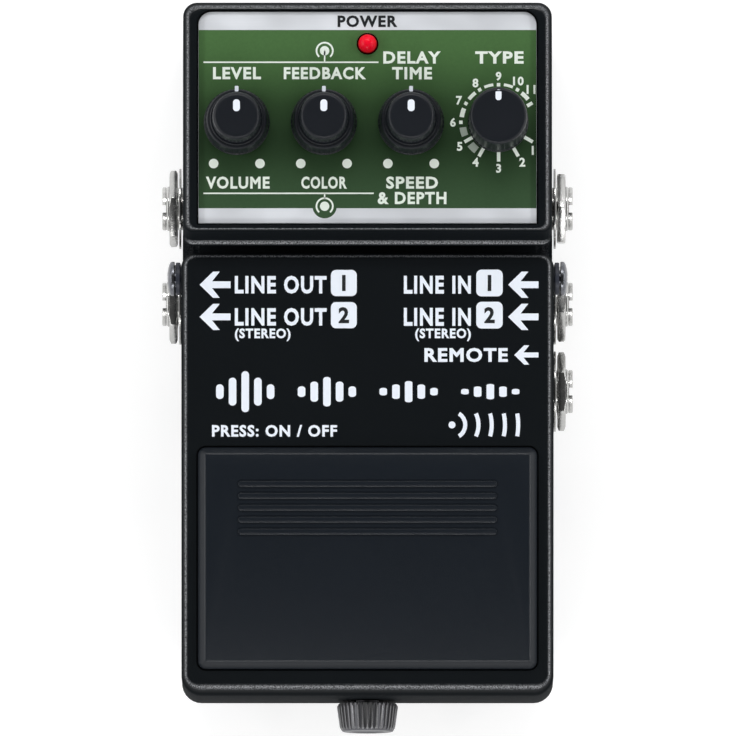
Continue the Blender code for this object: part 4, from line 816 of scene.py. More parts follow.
def board_finish():
    """Circuit board: green mask over copper tracks."""
    material, tree, shader, place = shader_tree("board")
    tracks = add_node(tree, "ShaderNodeTexVoronoi", Scale=1.0 / (4.0 * MM))
    tracks.distance = "MANHATTAN"
    tree.links.new(place, tracks.inputs["Vector"])
    line = band(tree, tracks.outputs["Distance"], 0.42, 0.5)
    tone = blend_colours(tree, line, (0.012, 0.09, 0.035), (0.03, 0.17, 0.06))
    tree.links.new(tone, shader.inputs["Base Color"])
    tree.links.new(spread(tree, line, 0.3, 0.45), shader.inputs["Roughness"])
    bump(tree, line, 0.03 * MM, shader)
    return material


def battery_finish():
    """Printed jacket: a plain grey can with one darker band."""
    material, tree, shader, place = shader_tree("battery_skin")
    split = tree.nodes.new("ShaderNodeSeparateXYZ")
    tree.links.new(place, split.inputs[0])
    cloud = noise(tree, place, 6.0 * MM, 3.0)
    base = blend_colours(tree, cloud, (0.30, 0.31, 0.33), (0.38, 0.39, 0.41))
    tone = blend_colours(tree, band(tree, split.outputs["X"], 8.0 * MM, 8.3 * MM), base, (0.03, 0.032, 0.04))
    tree.links.new(tone, shader.inputs["Base Color"])
    tree.links.new(spread(tree, cloud, 0.25, 0.4), shader.inputs["Roughness"])
    shader.inputs["Metallic"].default_value = 0.4
    bump(tree, noise(tree, place, 0.4 * MM), 0.01 * MM, shader)
    return material


def led_finish():
    """Clear red dome: glossy, painted lighter at its top and darker towards its foot as a painted glow."""
    material, tree, shader, place = shader_tree("led_red")
    split = tree.nodes.new("ShaderNodeSeparateXYZ")
    tree.links.new(place, split.inputs[0])
    # Painted glow: the colour rises from a darker red at the dome's foot to a bright red at its top.
    rise = band(tree, split.outputs["Z"], LABEL_TOP_Z, LABEL_TOP_Z + LED_R)
    tone = blend_colours(tree, rise, (0.62, 0.002, 0.008), (0.93, 0.006, 0.03))
    tree.links.new(tone, shader.inputs["Base Color"])
    tree.links.new(spread(tree, noise(tree, place, 0.6 * MM), 0.2, 0.3), shader.inputs["Roughness"])
    shader.inputs["Specular IOR Level"].default_value = 0.15
    shader.inputs["Subsurface Weight"].default_value = 0.25
    shader.inputs["Subsurface Radius"].default_value = (1.5 * MM, 0.1 * MM, 0.1 * MM)
    shader.inputs["Subsurface Scale"].default_value = 1.0
    bump(tree, noise(tree, place, 0.8 * MM), 0.002 * MM, shader)
    return material


def make_finishes(looks):
    """Every finish of the pedal, by name."""
    made = {
        # Case and treadle paints: the light edge colour (0.28, 0.29, 0.31) is a painted highlight along their round top
        # edges.
        "case_paint": finish("case_paint", tuple(looks.case_colour), looks.case_roughness, specular=0.3,
                             grain=0.24 * MM, depth=0.03 * MM, mottle=0.1, wear_and_highlight=(0.28, 0.29, 0.31),
                             wear_and_highlight_share=0.85, flank=(0.75, 0.03)),
        "treadle_paint": finish("treadle_paint", tuple(looks.treadle_colour), looks.case_roughness, specular=0.3,
                                grain=0.24 * MM, depth=0.03 * MM, mottle=0.1, wear_and_highlight=(0.28, 0.29, 0.31),
                                wear_and_highlight_share=0.85, flank=(0.75, 0.03)),
        "rubber_black": finish("rubber_black", tuple(looks.rubber_colour), 0.36, specular=0.34, grain=0.16 * MM,
                               depth=0.02 * MM, mottle=0.08, wear_and_highlight=(0.04, 0.042, 0.046)),
        "knob_black": finish("knob_black", tuple(looks.knob_colour), 0.36, specular=0.22, grain=0.12 * MM,
                             depth=0.006 * MM, mottle=0.15, wear_and_highlight=(0.06, 0.062, 0.07)),
        "nickel": finish("nickel", (0.52, 0.52, 0.51), 0.25, 1.0, grain=0.3 * MM, depth=0.012 * MM,
                         mottle=0.25, rough_swing=0.08, wear_and_highlight=(0.9, 0.9, 0.88)),
        "dark_chrome": finish("dark_chrome", (0.14, 0.145, 0.16), 0.28, 1.0, grain=0.2 * MM, depth=0.002 * MM,
                              mottle=0.08, wear_and_highlight=(0.6, 0.6, 0.62)),
        "thumb_steel": finish("thumb_steel", (0.11, 0.11, 0.12), 0.42, 0.85, grain=0.15 * MM, depth=0.01 * MM,
                              mottle=0.18, wear_and_highlight=(0.5, 0.5, 0.5), wear_and_highlight_share=0.8),
        "zinc_steel": finish("zinc_steel", (0.38, 0.39, 0.41), 0.34, 1.0, grain=0.5 * MM, depth=0.004 * MM,
                             mottle=0.1, wear_and_highlight=(0.7, 0.7, 0.7)),
        "black_plastic": finish("black_plastic", (0.018, 0.018, 0.02), 0.5, specular=0.35, grain=0.2 * MM,
                                depth=0.008 * MM, wear_and_highlight=(0.05, 0.05, 0.055)),
        "blue_nylon": finish("blue_nylon", (0.03, 0.034, 0.05), 0.42, specular=0.4, grain=0.3 * MM,
                             depth=0.006 * MM, wear_and_highlight=(0.1, 0.11, 0.14)),
        "plunger_white": finish("plunger_white", (0.78, 0.78, 0.74), 0.45, grain=0.3 * MM, depth=0.005 * MM,
                                mottle=0.04, wear_and_highlight=(0.85, 0.85, 0.82)),
        "bore_dark": finish("bore_dark", (0.02, 0.02, 0.022), 0.6, specular=0.3, grain=0.3 * MM),
        "ink_white": finish("ink_white", tuple(looks.ink_colour), 0.5, specular=0.25, grain=0.25 * MM,
                            depth=0.002 * MM, mottle=0.03, rough_swing=0.08),
        "ink_green_white": finish("ink_green_white", tuple(looks.label_ink_colour), 0.5, specular=0.25,
                                  grain=0.25 * MM, depth=0.002 * MM, mottle=0.04, rough_swing=0.08),
        "ink_grey": finish("ink_grey", (0.36, 0.42, 0.36), 0.5, specular=0.25, grain=0.3 * MM, depth=0.002 * MM),
        "ink_dark": finish("ink_dark", (0.012, 0.014, 0.016), 0.5, specular=0.3, grain=0.25 * MM,
                           depth=0.002 * MM),
        "label_green": green_finish(looks.green_rear, looks.green_knob_shade, looks.green_front),
        "label_silver": silver_finish(looks.silver_colour),
        "board": board_finish(),
        "battery_skin": battery_finish(),
        "led_red": led_finish(),
    }
    return made


FINISHES = {}


def paint_frame_nodes():
    """Give every carried-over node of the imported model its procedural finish."""
    slots = {part["node"]: part["material_slot"] for part in frame["record"]["subparts"]}
    for name, obj in frame["nodes"].items():
        slot = slots.get(name, "black_plastic")
        if name == "treadle":
            slot = "treadle_paint"
        obj.data.materials.clear()
        obj.data.materials.append(FINISHES[slot])


def dress(obj, body, slot, *nodes):
    """Let a piece move with a body and stand for nodes, which it hides; the slot is not used."""
    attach(obj, body)
    if nodes:
        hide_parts(*nodes)
    return obj


# Case

def block_outline(half_w, front_y, rear_y, radius):
    """Outline of the control block: round rear corners, tight front ones."""
    front_r = BLOCK_EDGE_R
    points = arc(half_w - radius, rear_y - radius, radius, 0, 90, CORNER_STEPS)
    points += arc(-half_w + radius, rear_y - radius, radius, 90, 180, CORNER_STEPS)
    points += arc(-half_w + front_r, front_y + front_r, front_r, 180, 270, EDGE_STEPS)
    points += arc(half_w - front_r, front_y + front_r, front_r, 270, 360, EDGE_STEPS)
    return points


def control_block():
    """The raised rear block: sloping front face, round ledge below it and a round top edge."""
    centre_y = LEDGE_TIP_Y + LEDGE_THICK / 2
    levels = [(CASE_Z, LEDGE_WALL_Y, 0.0), (LEDGE_TOP_Z - LEDGE_THICK - FIT, LEDGE_WALL_Y, 0.0)]
    for y, z in arc(centre_y, LEDGE_TOP_Z - LEDGE_THICK / 2, LEDGE_THICK / 2, 270, 110, EDGE_STEPS * 2):
        levels.append((z, y, 0.0))
    levels.append((LEDGE_TOP_Z + FIT, centre_y + FIT, 0.0))
    levels.append((BLOCK_TOP_Z - BLOCK_EDGE_R, BLOCK_FRONT_Y - FIT, 0.0))
    for inset, rise in round_steps(BLOCK_EDGE_R):
        levels.append((BLOCK_TOP_Z - BLOCK_EDGE_R + rise, BLOCK_FRONT_Y - FIT, inset))
    loops = []
    for z, front_y, inset in levels:
        draft = CASE_DRAFT * (z - CASE_Z) / (BLOCK_TOP_Z - CASE_Z)
        outline = block_outline(CASE_HALF_W - draft - inset, front_y + inset / 2, CASE_REAR_Y - inset,
                                CASE_CORNER_R)
        loops.append([(x, y, z) for x, y in outline])
    return stacked_loops(loops)


def front_body():
    """The full-width lower front, up to the shoulder under the treadle's flanges."""
    join_y = LEDGE_WALL_Y + CASE_WALL / 2
    corner_r = CASE_FRONT_CORNER_R
    half_w = CASE_HALF_W - CASE_DRAFT / 2
    outline = [(half_w, join_y), (-half_w, join_y)]
    outline += arc(-half_w + corner_r, CASE_FRONT_Y + corner_r, corner_r, 180, 270, CORNER_STEPS)
    outline += arc(half_w - corner_r, CASE_FRONT_Y + corner_r, corner_r, 270, 360, CORNER_STEPS)
    return slab(outline, CASE_Z, shoulder_z)


def deck_body():
    outline = rounded_box_outline(-CASE_UPPER_HALF_W, CASE_UPPER_HALF_W, CASE_FRONT_Y, TROUGH_FRONT_Y,
                                  CASE_WALL / 2, EDGE_STEPS)
    return slab(outline, CASE_Z, deck_z)


def round_slab(radius, low_z, high_z, y, x=0.0):
    """Upright round prism whose ends may follow a slope."""
    return slab(arc(x, y, radius, 0, 360 - 360 / ROUND, ROUND - 1), low_z, high_z)


def panel_outline(margin):
    """Outline of the label recess, or of the label that lies in it with a margin."""
    half_w = RECESS_HALF_W - margin
    front_y = RECESS_FRONT_Y + margin
    rear_y = RECESS_REAR_Y - margin
    radius = RIM_CORNER_R - margin
    outline = [(-half_w, front_y), (half_w, front_y)]
    outline += arc(half_w - radius, rear_y - radius, radius, 0, 90, CORNER_STEPS)
    outline += arc(-half_w + radius, rear_y - radius, radius, 90, 180, CORNER_STEPS)
    return outline


def base_screw_places():
    return [(side * BASE_SCREW_X, y) for y in (BASE_SCREW_REAR_Y, BASE_SCREW_FRONT_Y) for side in (-1, 1)]


def make_case_piece(soft_edge):
    """The die-cast case with its cavity, bay, spring well and holes."""
    case = make_object("cast_case", control_block(), FINISHES["case_paint"])
    half_w = CASE_UPPER_HALF_W - FIT / 2
    trough = block(-half_w, half_w, HINGE_Y, LEDGE_WALL_Y + CASE_WALL / 2, CASE_Z, trough_z())
    ears = [moved(along(rod(HINGE_EAR_R, -HINGE_BOSS_DEPTH / 2, HINGE_BOSS_DEPTH / 2), "+X"),
                  side * (CASE_UPPER_HALF_W + FIT / 3 - HINGE_BOSS_DEPTH / 2), HINGE_Y, HINGE_Z)
            for side in (-1, 1)]
    carve(case, [front_body(), deck_body(), trough] + ears)

    upper = CASE_UPPER_HALF_W - CASE_WALL
    inner = CASE_INNER_HALF_W
    below = CASE_Z - OVERRUN
    rear_room = BLOCK_CAVITY_FRONT_Y + OVERRUN
    carve(case, cuts=[
        block(-inner, inner, BAY_FRONT_Y, LEDGE_WALL_Y, below, lambda y: shoulder_z(y) - CASE_WALL),
        block(-upper, upper, BAY_FRONT_Y, TROUGH_FRONT_Y - CASE_WALL, below, lambda y: deck_z(y) - CASE_WALL),
        block(-upper, upper, TROUGH_FRONT_Y - CASE_WALL - OVERRUN, rear_room, below, trough_z() - CASE_WALL),
        block(-inner, inner, LEDGE_WALL_Y - OVERRUN, rear_room, below, shoulder_z(LEDGE_WALL_Y) - CASE_WALL),
        slab(rounded_box_outline(-inner + CASE_DRAFT, inner - CASE_DRAFT, BLOCK_CAVITY_FRONT_Y,
                                 CASE_CAVITY_REAR_Y, BLOCK_EDGE_R, EDGE_STEPS), below, PANEL_UNDER_Z),
    ])
    partition = block(-inner, inner, BAY_REAR_Y, BAY_REAR_Y + PARTITION, CASE_Z + FIT / 3,
                      lambda y: shoulder_z(y) - CASE_WALL / 2)
    partition_top = block(-upper - FIT, upper + FIT, BAY_REAR_Y, BAY_REAR_Y + PARTITION, JACK_Z,
                          lambda y: deck_z(y) - CASE_WALL / 2)
    well = round_slab(WELL_OUTER_R, CASE_Z + FIT / 3, lambda y: deck_z(y) - CASE_WALL / 2, SPRING_Y)
    bosses = [moved(rod(BOSS_R, CASE_Z + FIT / 3, CASE_Z + BASE_SCREW_LENGTH + CASE_WALL),
                    side * BASE_SCREW_X, BASE_SCREW_REAR_Y) for side in (-1, 1)]
    carve(case, [partition, partition_top, well] + bosses)

    cuts = [
        block(-BAY_HALF_W, BAY_HALF_W, BAY_FRONT_Y, BAY_REAR_Y, JACK_Z, BLOCK_TOP_Z),
        round_slab(WELL_R, CASE_Z + WELL_FLOOR, BLOCK_TOP_Z, SPRING_Y),
        moved(rod(SWITCH_STEM_R + FIT, JACK_Z, BLOCK_TOP_Z), SWITCH_X, SPRING_Y),
        slab(panel_outline(0.0), RECESS_FLOOR_Z, BLOCK_TOP_Z + OVERRUN),
        moved(rod(LED_R + FIT, PANEL_UNDER_Z - OVERRUN, BLOCK_TOP_Z), 0.0, LED_Y),
        block(-GUIDE_HALF_W - FIT, GUIDE_HALF_W + FIT, CASE_FRONT_Y - OVERRUN, BAY_FRONT_Y + OVERRUN,
              GUIDE_FLOOR_Z - FIT, BLOCK_TOP_Z),
        moved(along(rod(POWER_COLLAR_R + FIT, -CASE_WALL * 2, CASE_WALL * 2), "+Y"), POWER_X, CASE_REAR_Y,
              POWER_Z),
    ]
    for x in CONTROL_XS:
        cuts.append(moved(rod(POT_BUSHING_R + FIT, PANEL_UNDER_Z - OVERRUN, BLOCK_TOP_Z), x, CONTROL_Y))
    for _, side, y in JACK_PLACES:
        hole = along(rod(JACK_BARREL_R + FIT, -CASE_WALL * 2, CASE_WALL * 2), "+X")
        cuts.append(moved(hole, side * CASE_HALF_W, y, JACK_Z))
    for x, y in base_screw_places():
        cuts.append(moved(rod(BASE_SCREW_R + FIT, CASE_Z - OVERRUN, CASE_Z + BASE_SCREW_LENGTH), x, y))
    for side in (-1, 1):
        pilot = along(rod(HINGE_SHANK_R + FIT, -HINGE_BOSS_DEPTH * 2, HINGE_BOSS_DEPTH * 2), "+X")
        cuts.append(moved(pilot, side * CASE_UPPER_HALF_W, HINGE_Y, HINGE_Z))
    carve(case, cuts=cuts)
    soften(case, soft_edge)
    return dress(case, "chassis", "case_paint", "case")


# Treadle

def heel_z(y):
    """Lower edge of the side flange, rounded up behind the hinge."""
    bottom = flange_edge_z(HINGE_Y)
    centre_y = TREADLE_REAR_Y - TREADLE_HEEL_R
    if y <= centre_y:
        return flange_edge_z(y)
    run = min(y - centre_y, TREADLE_HEEL_R)
    return bottom + TREADLE_HEEL_R - math.sqrt(TREADLE_HEEL_R ** 2 - run ** 2)


def treadle_rows(side_inset, rear_inset, front_inset):
    """Plan outline of the treadle as (x, y, outward y share, edge), alike in number for every inset."""
    half_w = TREADLE_HALF_W - side_inset
    rear_y = TREADLE_REAR_Y - rear_inset
    front_y = TREADLE_FRONT_Y + front_inset
    front_r = TREADLE_CORNER_R - front_inset
    rear_r = TREADLE_REAR_CORNER_R - rear_inset
    lip_end_y = CASE_FRONT_Y - FIT
    turn = math.degrees(math.asin((front_y + front_r - lip_end_y) / front_r))
    rear_steps = [(90 * step / CORNER_STEPS, "flange") for step in range(CORNER_STEPS + 1)]
    front_steps = [((turn - 1) * step / EDGE_STEPS, "flange") for step in range(EDGE_STEPS + 1)]
    front_steps += [(turn + (90 - turn) * step / EDGE_STEPS, "lip") for step in range(EDGE_STEPS + 1)]
    rows = []

    def corner(centre_x, centre_y, radius, start, steps):
        for extra, edge in steps:
            angle = math.radians(start + extra)
            place = (centre_x + radius * math.cos(angle), centre_y + radius * math.sin(angle))
            rows.append((*place, math.sin(angle), edge))

    def side_run(x, start_y, end_y, steps):
        for step in range(1, steps):
            rows.append((x, start_y + (end_y - start_y) * step / steps, 0.0, "flange"))

    corner(half_w - rear_r, rear_y - rear_r, rear_r, 0, rear_steps)
    rows.append((half_w - rear_r - FIT / 2, rear_y, 1.0, "rear"))
    rows.append((-half_w + rear_r + FIT / 2, rear_y, 1.0, "rear"))
    corner(-half_w + rear_r, rear_y - rear_r, rear_r, 90, rear_steps)
    side_run(-half_w, rear_y - rear_r, front_y + front_r, HEEL_STEPS)
    corner(-half_w + front_r, front_y + front_r, front_r, 180, front_steps)
    corner(half_w - front_r, front_y + front_r, front_r, 270,
           [(90 - extra, edge) for extra, edge in reversed(front_steps)])
    side_run(half_w, front_y + front_r, rear_y - rear_r, HEEL_STEPS)
    return rows


HEEL_STEPS = 24


def treadle_shell():
    """A lid in one skin: round outer edges, hemmed flanges, a deep front lip and a short rear lip."""
    def edge_radius(share):
        if share > 0:
            return TREADLE_SIDE_R + (TREADLE_REAR_R - TREADLE_SIDE_R) * share
        return TREADLE_SIDE_R + (TREADLE_FRONT_R - TREADLE_SIDE_R) * -share

    def bottom(y, edge):
        if edge == "lip":
            return TREADLE_LIP_Z
        if edge == "rear":
            return TREADLE_REAR_Z - TREADLE_REAR_LIP
        return heel_z(y)

    inner = treadle_rows(TREADLE_FLANGE, TREADLE_FLANGE, TREADLE_LIP_THICK)
    loops = [
        [(x, y, treadle_under_z(y)) for x, y, _, _ in inner],
        [(x, y, bottom(y, edge) + TREADLE_HEM_R / 2) for x, y, _, edge in inner],
    ]
    rows = treadle_rows(TREADLE_FLANGE - TREADLE_HEM_R / 2, TREADLE_FLANGE - TREADLE_HEM_R / 2,
                        TREADLE_LIP_THICK - TREADLE_HEM_R / 2)
    loops.append([(x, y, bottom(y, edge)) for x, y, _, edge in rows])
    for inset, rise in reversed(round_steps(TREADLE_HEM_R, 4)):
        rows = treadle_rows(inset, inset, inset)
        loops.append([(x, y, bottom(y, edge) + TREADLE_HEM_R - rise) for x, y, _, edge in rows])
    outer = treadle_rows(0.0, 0.0, 0.0)
    loops.append([(x, y, bottom(y, edge) + TREADLE_HEM_R) for x, y, _, edge in outer])
    loops.append([(x, y, treadle_top_z(y) - edge_radius(share)) for x, y, share, _ in outer])
    for inset, rise in round_steps(1.0):
        rows = treadle_rows(TREADLE_SIDE_R * inset, TREADLE_REAR_R * inset, TREADLE_FRONT_R * inset)
        loops.append([
            (x, y, treadle_top_z(y) - edge_radius(share) * (1 - rise)) for x, y, share, _ in rows
        ])
    return stacked_loops(loops)


def pad_outline(inset):
    radius = max(PAD_CORNER_R - inset, FIT)
    return rounded_box_outline(-PAD_HALF_W + inset, PAD_HALF_W - inset, PAD_FRONT_Y + inset,
                               PAD_REAR_Y - inset, radius)


def make_treadle_piece():
    """The sprung lid with its pegs, ribs, pad pocket and holes."""
    treadle = make_object("sprung_treadle", treadle_shell(), FINISHES["treadle_paint"])
    inside = TREADLE_PLATE / 2
    additions = [
        round_slab(SPRING_PEG_R, treadle_under_z(SPRING_Y) - SPRING_PEG_H,
                   lambda y: treadle_under_z(y) + inside, SPRING_Y),
        round_slab(PUSHER_R, BUTTON_TOP_Z + PUSHER_GAP, lambda y: treadle_under_z(y) + inside, SPRING_Y,
                   SWITCH_X),
    ]
    for side in (-1, 1):
        additions.append(block(
            side * RIB_X - RIB_THICK / 2, side * RIB_X + RIB_THICK / 2,
            TREADLE_FRONT_Y + TREADLE_LIP_THICK * 2, SPRING_Y - WELL_OUTER_R,
            lambda y: treadle_under_z(y) - RIB_DEPTH, lambda y: treadle_under_z(y) + inside))
    bush_hole = along(rod(HINGE_BUSH_R + RUN, -TREADLE_HALF_W * 2, TREADLE_HALF_W * 2), "+X")
    thumb_hole = along(rod(THUMB_SHANK_R + FIT, -TREADLE_LIP_THICK * 2, TREADLE_LIP_THICK * 2), "+Y")
    carve(treadle, additions, [
        slab(pad_outline(-FIT), lambda y: treadle_top_z(y) - PAD_SINK - FIT,
             lambda y: treadle_top_z(y) + OVERRUN),
        moved(bush_hole, 0.0, HINGE_Y, HINGE_Z),
        moved(thumb_hole, 0.0, TREADLE_FRONT_Y, THUMB_Z),
    ])
    return dress(treadle, "treadle", "case_paint", "treadle")


def make_pad_piece():
    """Rubber pad with soft chamfered edges and low grip ribs across its rear part."""
    rise = PAD_THICK - PAD_SINK
    shoulder = rise - PAD_CHAMFER
    levels = [(0.0, -PAD_SINK), (0.0, shoulder - PAD_SOFT_R / 2), (PAD_SOFT_R / 4, shoulder + PAD_SOFT_R / 4)]
    levels += [(PAD_CHAMFER - PAD_SOFT_R, rise - PAD_SOFT_R), (PAD_CHAMFER - PAD_SOFT_R / 3, rise - PAD_SOFT_R / 3)]
    levels += [(PAD_CHAMFER + PAD_SOFT_R / 3, rise)]
    loops = [[(x, y, treadle_top_z(y) + level) for x, y in pad_outline(inset)] for inset, level in levels]
    pad = make_object("rubber_pad", stacked_loops(loops), FINISHES["rubber_black"])
    settle(pad)
    half = PAD_RIB_SPAN / 2
    low = rise - FIT
    top = rise + PAD_RIB_HEIGHT
    rear_y = PAD_REAR_Y - PAD_RIB_BACK
    front_y = rear_y - PAD_RIB_WIDTH
    soft = PAD_RIB_HEIGHT * 0.6
    loops = []
    for inset, level in ((0.0, low), (0.0, top - soft), (soft * 0.3, top - soft * 0.3), (soft, top)):
        outline = rounded_box_outline(-half + inset, half - inset, front_y + inset, rear_y - inset,
                                      PAD_RIB_WIDTH / 2 - inset - WELD * 10, EDGE_STEPS)
        loops.append([(x, y, treadle_top_z(y) + level) for x, y in outline])
    drop = -PAD_RIB_PITCH * math.tan(TREADLE_SLOPE)
    ribs = row_of(stacked_loops(loops), PAD_RIB_COUNT, (0.0, -PAD_RIB_PITCH, drop), FINISHES["rubber_black"])
    carve(pad, [ribs])
    return dress(pad, "treadle", "rubber_black", "treadle_pad")


# Printed label

GREEN_FRONT_Y = 26.3 * MM
GREEN_REAR_Y = 58.05 * MM
DOT_R = 0.85 * MM
DOT_Y = 34.25 * MM
DOT_SPREAD = 4.11 * MM
LINE_W = 0.26 * MM
UPPER_LINE_Y = 52.3 * MM
LOWER_LINE_Y = 28.95 * MM
LINE_START_X = -29.1 * MM
UPPER_LINE_END_X = 1.95 * MM
LOWER_LINE_END_X = 1.1 * MM
ICON_X = -7.6 * MM
UPPER_ICON_Y = 54.35 * MM
LOWER_ICON_Y = 26.65 * MM
ICON_R = 1.6 * MM
ICON_DISC_R = 2.15 * MM
LABEL_CAP = 2.2 * MM
TREADLE_CAP = 3.15 * MM
TREADLE_SMALL_CAP = 2.25 * MM
WORD_WEIGHT = 0.036
WORD_SPACING = 1.15


def flat_sheet(outline, z, thick=INK_THICK):
    """Thin closed layer over an outline."""
    return slab(outline, z, z + thick)


def circle(x, y, radius, steps=48):
    return arc(x, y, radius, 0, 360 - 360 / steps, steps - 1)


def sector(inner, outer, start_deg, end_deg, z, steps=8):
    """Piece of a flat ring, thin and closed."""
    outline = arc(0.0, 0.0, outer, start_deg, end_deg, steps)
    outline += list(reversed(arc(0.0, 0.0, inner, start_deg, end_deg, steps)))
    return flat_sheet(outline, z)


def bar(x, y, width, length, z=0.0):
    """Upright stroke centred on a place."""
    half_w = width / 2
    half_l = length / 2
    return flat_sheet([(x - half_w, y - half_l), (x + half_w, y - half_l), (x + half_w, y + half_l),
                       (x - half_w, y + half_l)], z)


def words(text, x, y, cap, width=None, weight=0.0):
    """Capitals as a thin closed mesh centred on a place, squeezed to a width."""
    curve = bpy.data.curves.new("words", "FONT")
    curve.body = text
    curve.size = 1.0
    curve.space_character = WORD_SPACING
    curve.bevel_depth = weight
    curve.bevel_resolution = 0
    curve.extrude = 0.01
    curve.resolution_u = 3
    obj = bpy.data.objects.new("words", curve)
    bpy.context.scene.collection.objects.link(obj)
    mesh = evaluated_mesh(obj)
    bpy.data.objects.remove(obj, do_unlink=True)
    bpy.data.curves.remove(curve)
    xs = [vert.co.x for vert in mesh.vertices]
    ys = [vert.co.y for vert in mesh.vertices]
    bm = bmesh.new()
    bm.from_mesh(mesh)
    bpy.data.meshes.remove(mesh)
    for vert in bm.verts:
        vert.co.z = math.copysign(1.0, vert.co.z)
    bmesh.ops.remove_doubles(bm, verts=bm.verts, dist=0.0001)
    tall = cap / (max(ys) - min(ys))
    wide = tall if width is None else width / (max(xs) - min(xs))
    middle = Vector(((max(xs) + min(xs)) / 2, (max(ys) + min(ys)) / 2, 0.0))
    bm.transform(Matrix.Translation(-middle))
    bm.transform(Matrix.Diagonal((wide, tall, INK_THICK / 2, 1.0)))
    return moved(bm, x, y, INK_THICK / 2)


def arrow(x, y, length, height):
    """Arrow to the left with an open head of two thick strokes."""
    half = height / 2
    left = x - length / 2
    right = x + length / 2
    arm = left + height * 0.52
    tail = arm + height * 0.26
    inner = left + height * 0.48
    shaft = height * 0.13
    outline = [(left, y), (arm, y - half), (tail, y - half), (inner, y - shaft), (right, y - shaft),
               (right, y + shaft), (inner, y + shaft), (tail, y + half), (arm, y + half)]
    return flat_sheet(outline, 0.0)


def tile(x, y, side):
    """Rounded white square that carries a number."""
    half = side / 2
    return flat_sheet(rounded_box_outline(x - half, x + half, y - half, y + half, side * 0.2, 6), 0.0)


def make_label_piece():
    """Silver plate with its rolled edge, and the green print laid over its middle."""
    holes = [moved(rod(POT_BUSHING_R + FIT, LABEL_LOW_Z - OVERRUN, LABEL_TOP_Z + OVERRUN), x, CONTROL_Y)
             for x in CONTROL_XS]
    holes.append(moved(rod(LED_R + FIT, LABEL_LOW_Z - OVERRUN, LABEL_TOP_Z + OVERRUN), 0.0, LED_Y))
    edge = INK_THICK * 2
    top = LABEL_TOP_Z - INK_THICK * 2
    loops = []
    for inset, z in ((0.0, LABEL_LOW_Z), (0.0, top - edge), (edge, top)):
        loops.append([(x, y, z) for x, y in panel_outline(FIT + inset)])
    plate = make_object("label_plate", stacked_loops(loops), FINISHES["label_silver"])
    carve(plate, cuts=[hole.copy() for hole in holes])
    dress(plate, "chassis", "label_green", "panel_label")

    half_w = RECESS_HALF_W - FIT - edge
    sheet = slab([(-half_w, GREEN_FRONT_Y), (half_w, GREEN_FRONT_Y), (half_w, GREEN_REAR_Y),
                  (-half_w, GREEN_REAR_Y)], top - INK_THICK / 2, top + INK_THICK / 2)
    green = make_object("label_print_green", sheet, FINISHES["label_green"])
    disc = slab(circle(ICON_X, LOWER_ICON_Y, ICON_DISC_R), top - INK_THICK / 2, top + INK_THICK / 2)
    carve(green, [disc], holes)
    dress(green, "chassis", "label_green")


def label_ink_z():
    return LABEL_TOP_Z - INK_THICK * 2 + INK_LIFT


def icon(x, y, line_y):
    """Open ring round a dot, with a stem to its line, for one of two concentric knobs."""
    ring = sector(ICON_R - LINE_W * 1.2, ICON_R, -48, 228, 0.0, 30)
    start = y if line_y < y else y + ICON_R - LINE_W
    stem = bar(0.0, (start + line_y) / 2 - y, LINE_W, abs(start - line_y))
    return moved(joined(ring, stem, flat_sheet(circle(0.0, 0.0, ICON_R * 0.52), 0.0)), x, y)


def make_label_words():
    """White print on the green label: plain words for what the knobs do, lines, icons and dots."""
    y_low = 50.35 * MM
    y_high = 53.15 * MM
    y_front = 30.85 * MM
    y_last = 28.1 * MM
    gap = WORD_WEIGHT
    parts = [
        words("LEVEL", -23.15 * MM, y_low, LABEL_CAP, 8.5 * MM, gap),
        words("FEEDBACK", -7.55 * MM, y_low, LABEL_CAP, 14.6 * MM, gap),
        words("DELAY", 7.9 * MM, y_high, LABEL_CAP, 10.2 * MM, gap),
        words("TIME", 7.9 * MM, y_low, LABEL_CAP, 7.1 * MM, gap),
        words("TYPE", 23.4 * MM, y_high, LABEL_CAP, 8.6 * MM, gap),
        words("VOLUME", -23.0 * MM, y_front, LABEL_CAP, 11.3 * MM, gap),
        words("COLOR", -7.7 * MM, y_front, LABEL_CAP, 8.1 * MM, gap),
        words("SPEED", 7.9 * MM, y_front, LABEL_CAP, 9.2 * MM, gap),
        words("& DEPTH", 7.9 * MM, y_last, LABEL_CAP, 12.2 * MM, gap),
        bar((LINE_START_X + UPPER_LINE_END_X) / 2, UPPER_LINE_Y, UPPER_LINE_END_X - LINE_START_X, LINE_W),
        bar((LINE_START_X + LOWER_LINE_END_X) / 2, LOWER_LINE_Y, LOWER_LINE_END_X - LINE_START_X, LINE_W),
        icon(ICON_X, UPPER_ICON_Y, UPPER_LINE_Y),
        icon(ICON_X, LOWER_ICON_Y, LOWER_LINE_Y),
    ]
    dots = [(x + side * DOT_SPREAD, DOT_Y, 0.0) for x in CONTROL_XS[:-1] for side in (-1, 1)]
    parts.append(spots_of(flat_sheet(circle(0.0, 0.0, DOT_R, 32), 0.0), dots, FINISHES["ink_green_white"]))
    ink = make_object("label_print_white", moved(joined(*parts), 0.0, 0.0, label_ink_z()),
                      FINISHES["ink_green_white"], turn_out=False)
    dress(ink, "chassis", "label_green")
    dark = words("POWER", 0.0, 59.6 * MM, 2.1 * MM, 10.6 * MM, gap)
    word = make_object("label_print_dark", moved(dark, 0.0, 0.0, label_ink_z()), FINISHES["ink_dark"],
                       turn_out=False)
    dress(word, "chassis", "label_green")


DIAL_X = 23.25 * MM
DIAL_Y = 41.6 * MM
DIAL_INNER_R = 4.9 * MM
DIAL_TICK_W = 0.62 * MM
DIAL_CAP = 1.6 * MM
DIAL_STEP_DEG = 30
DIAL_NUMBERS = [
    ("1", 6.05, -5.0), ("2", 4.2, -7.1), ("3", 0.0, -8.2), ("4", -4.1, -7.1), ("5", -6.9, -4.3),
    ("6", -8.1, 0.0), ("7", -7.0, 3.9), ("8", -4.1, 7.0), ("9", 0.0, 8.2), ("10", 3.5, 7.35),
    ("11", 5.75, 5.85),
]


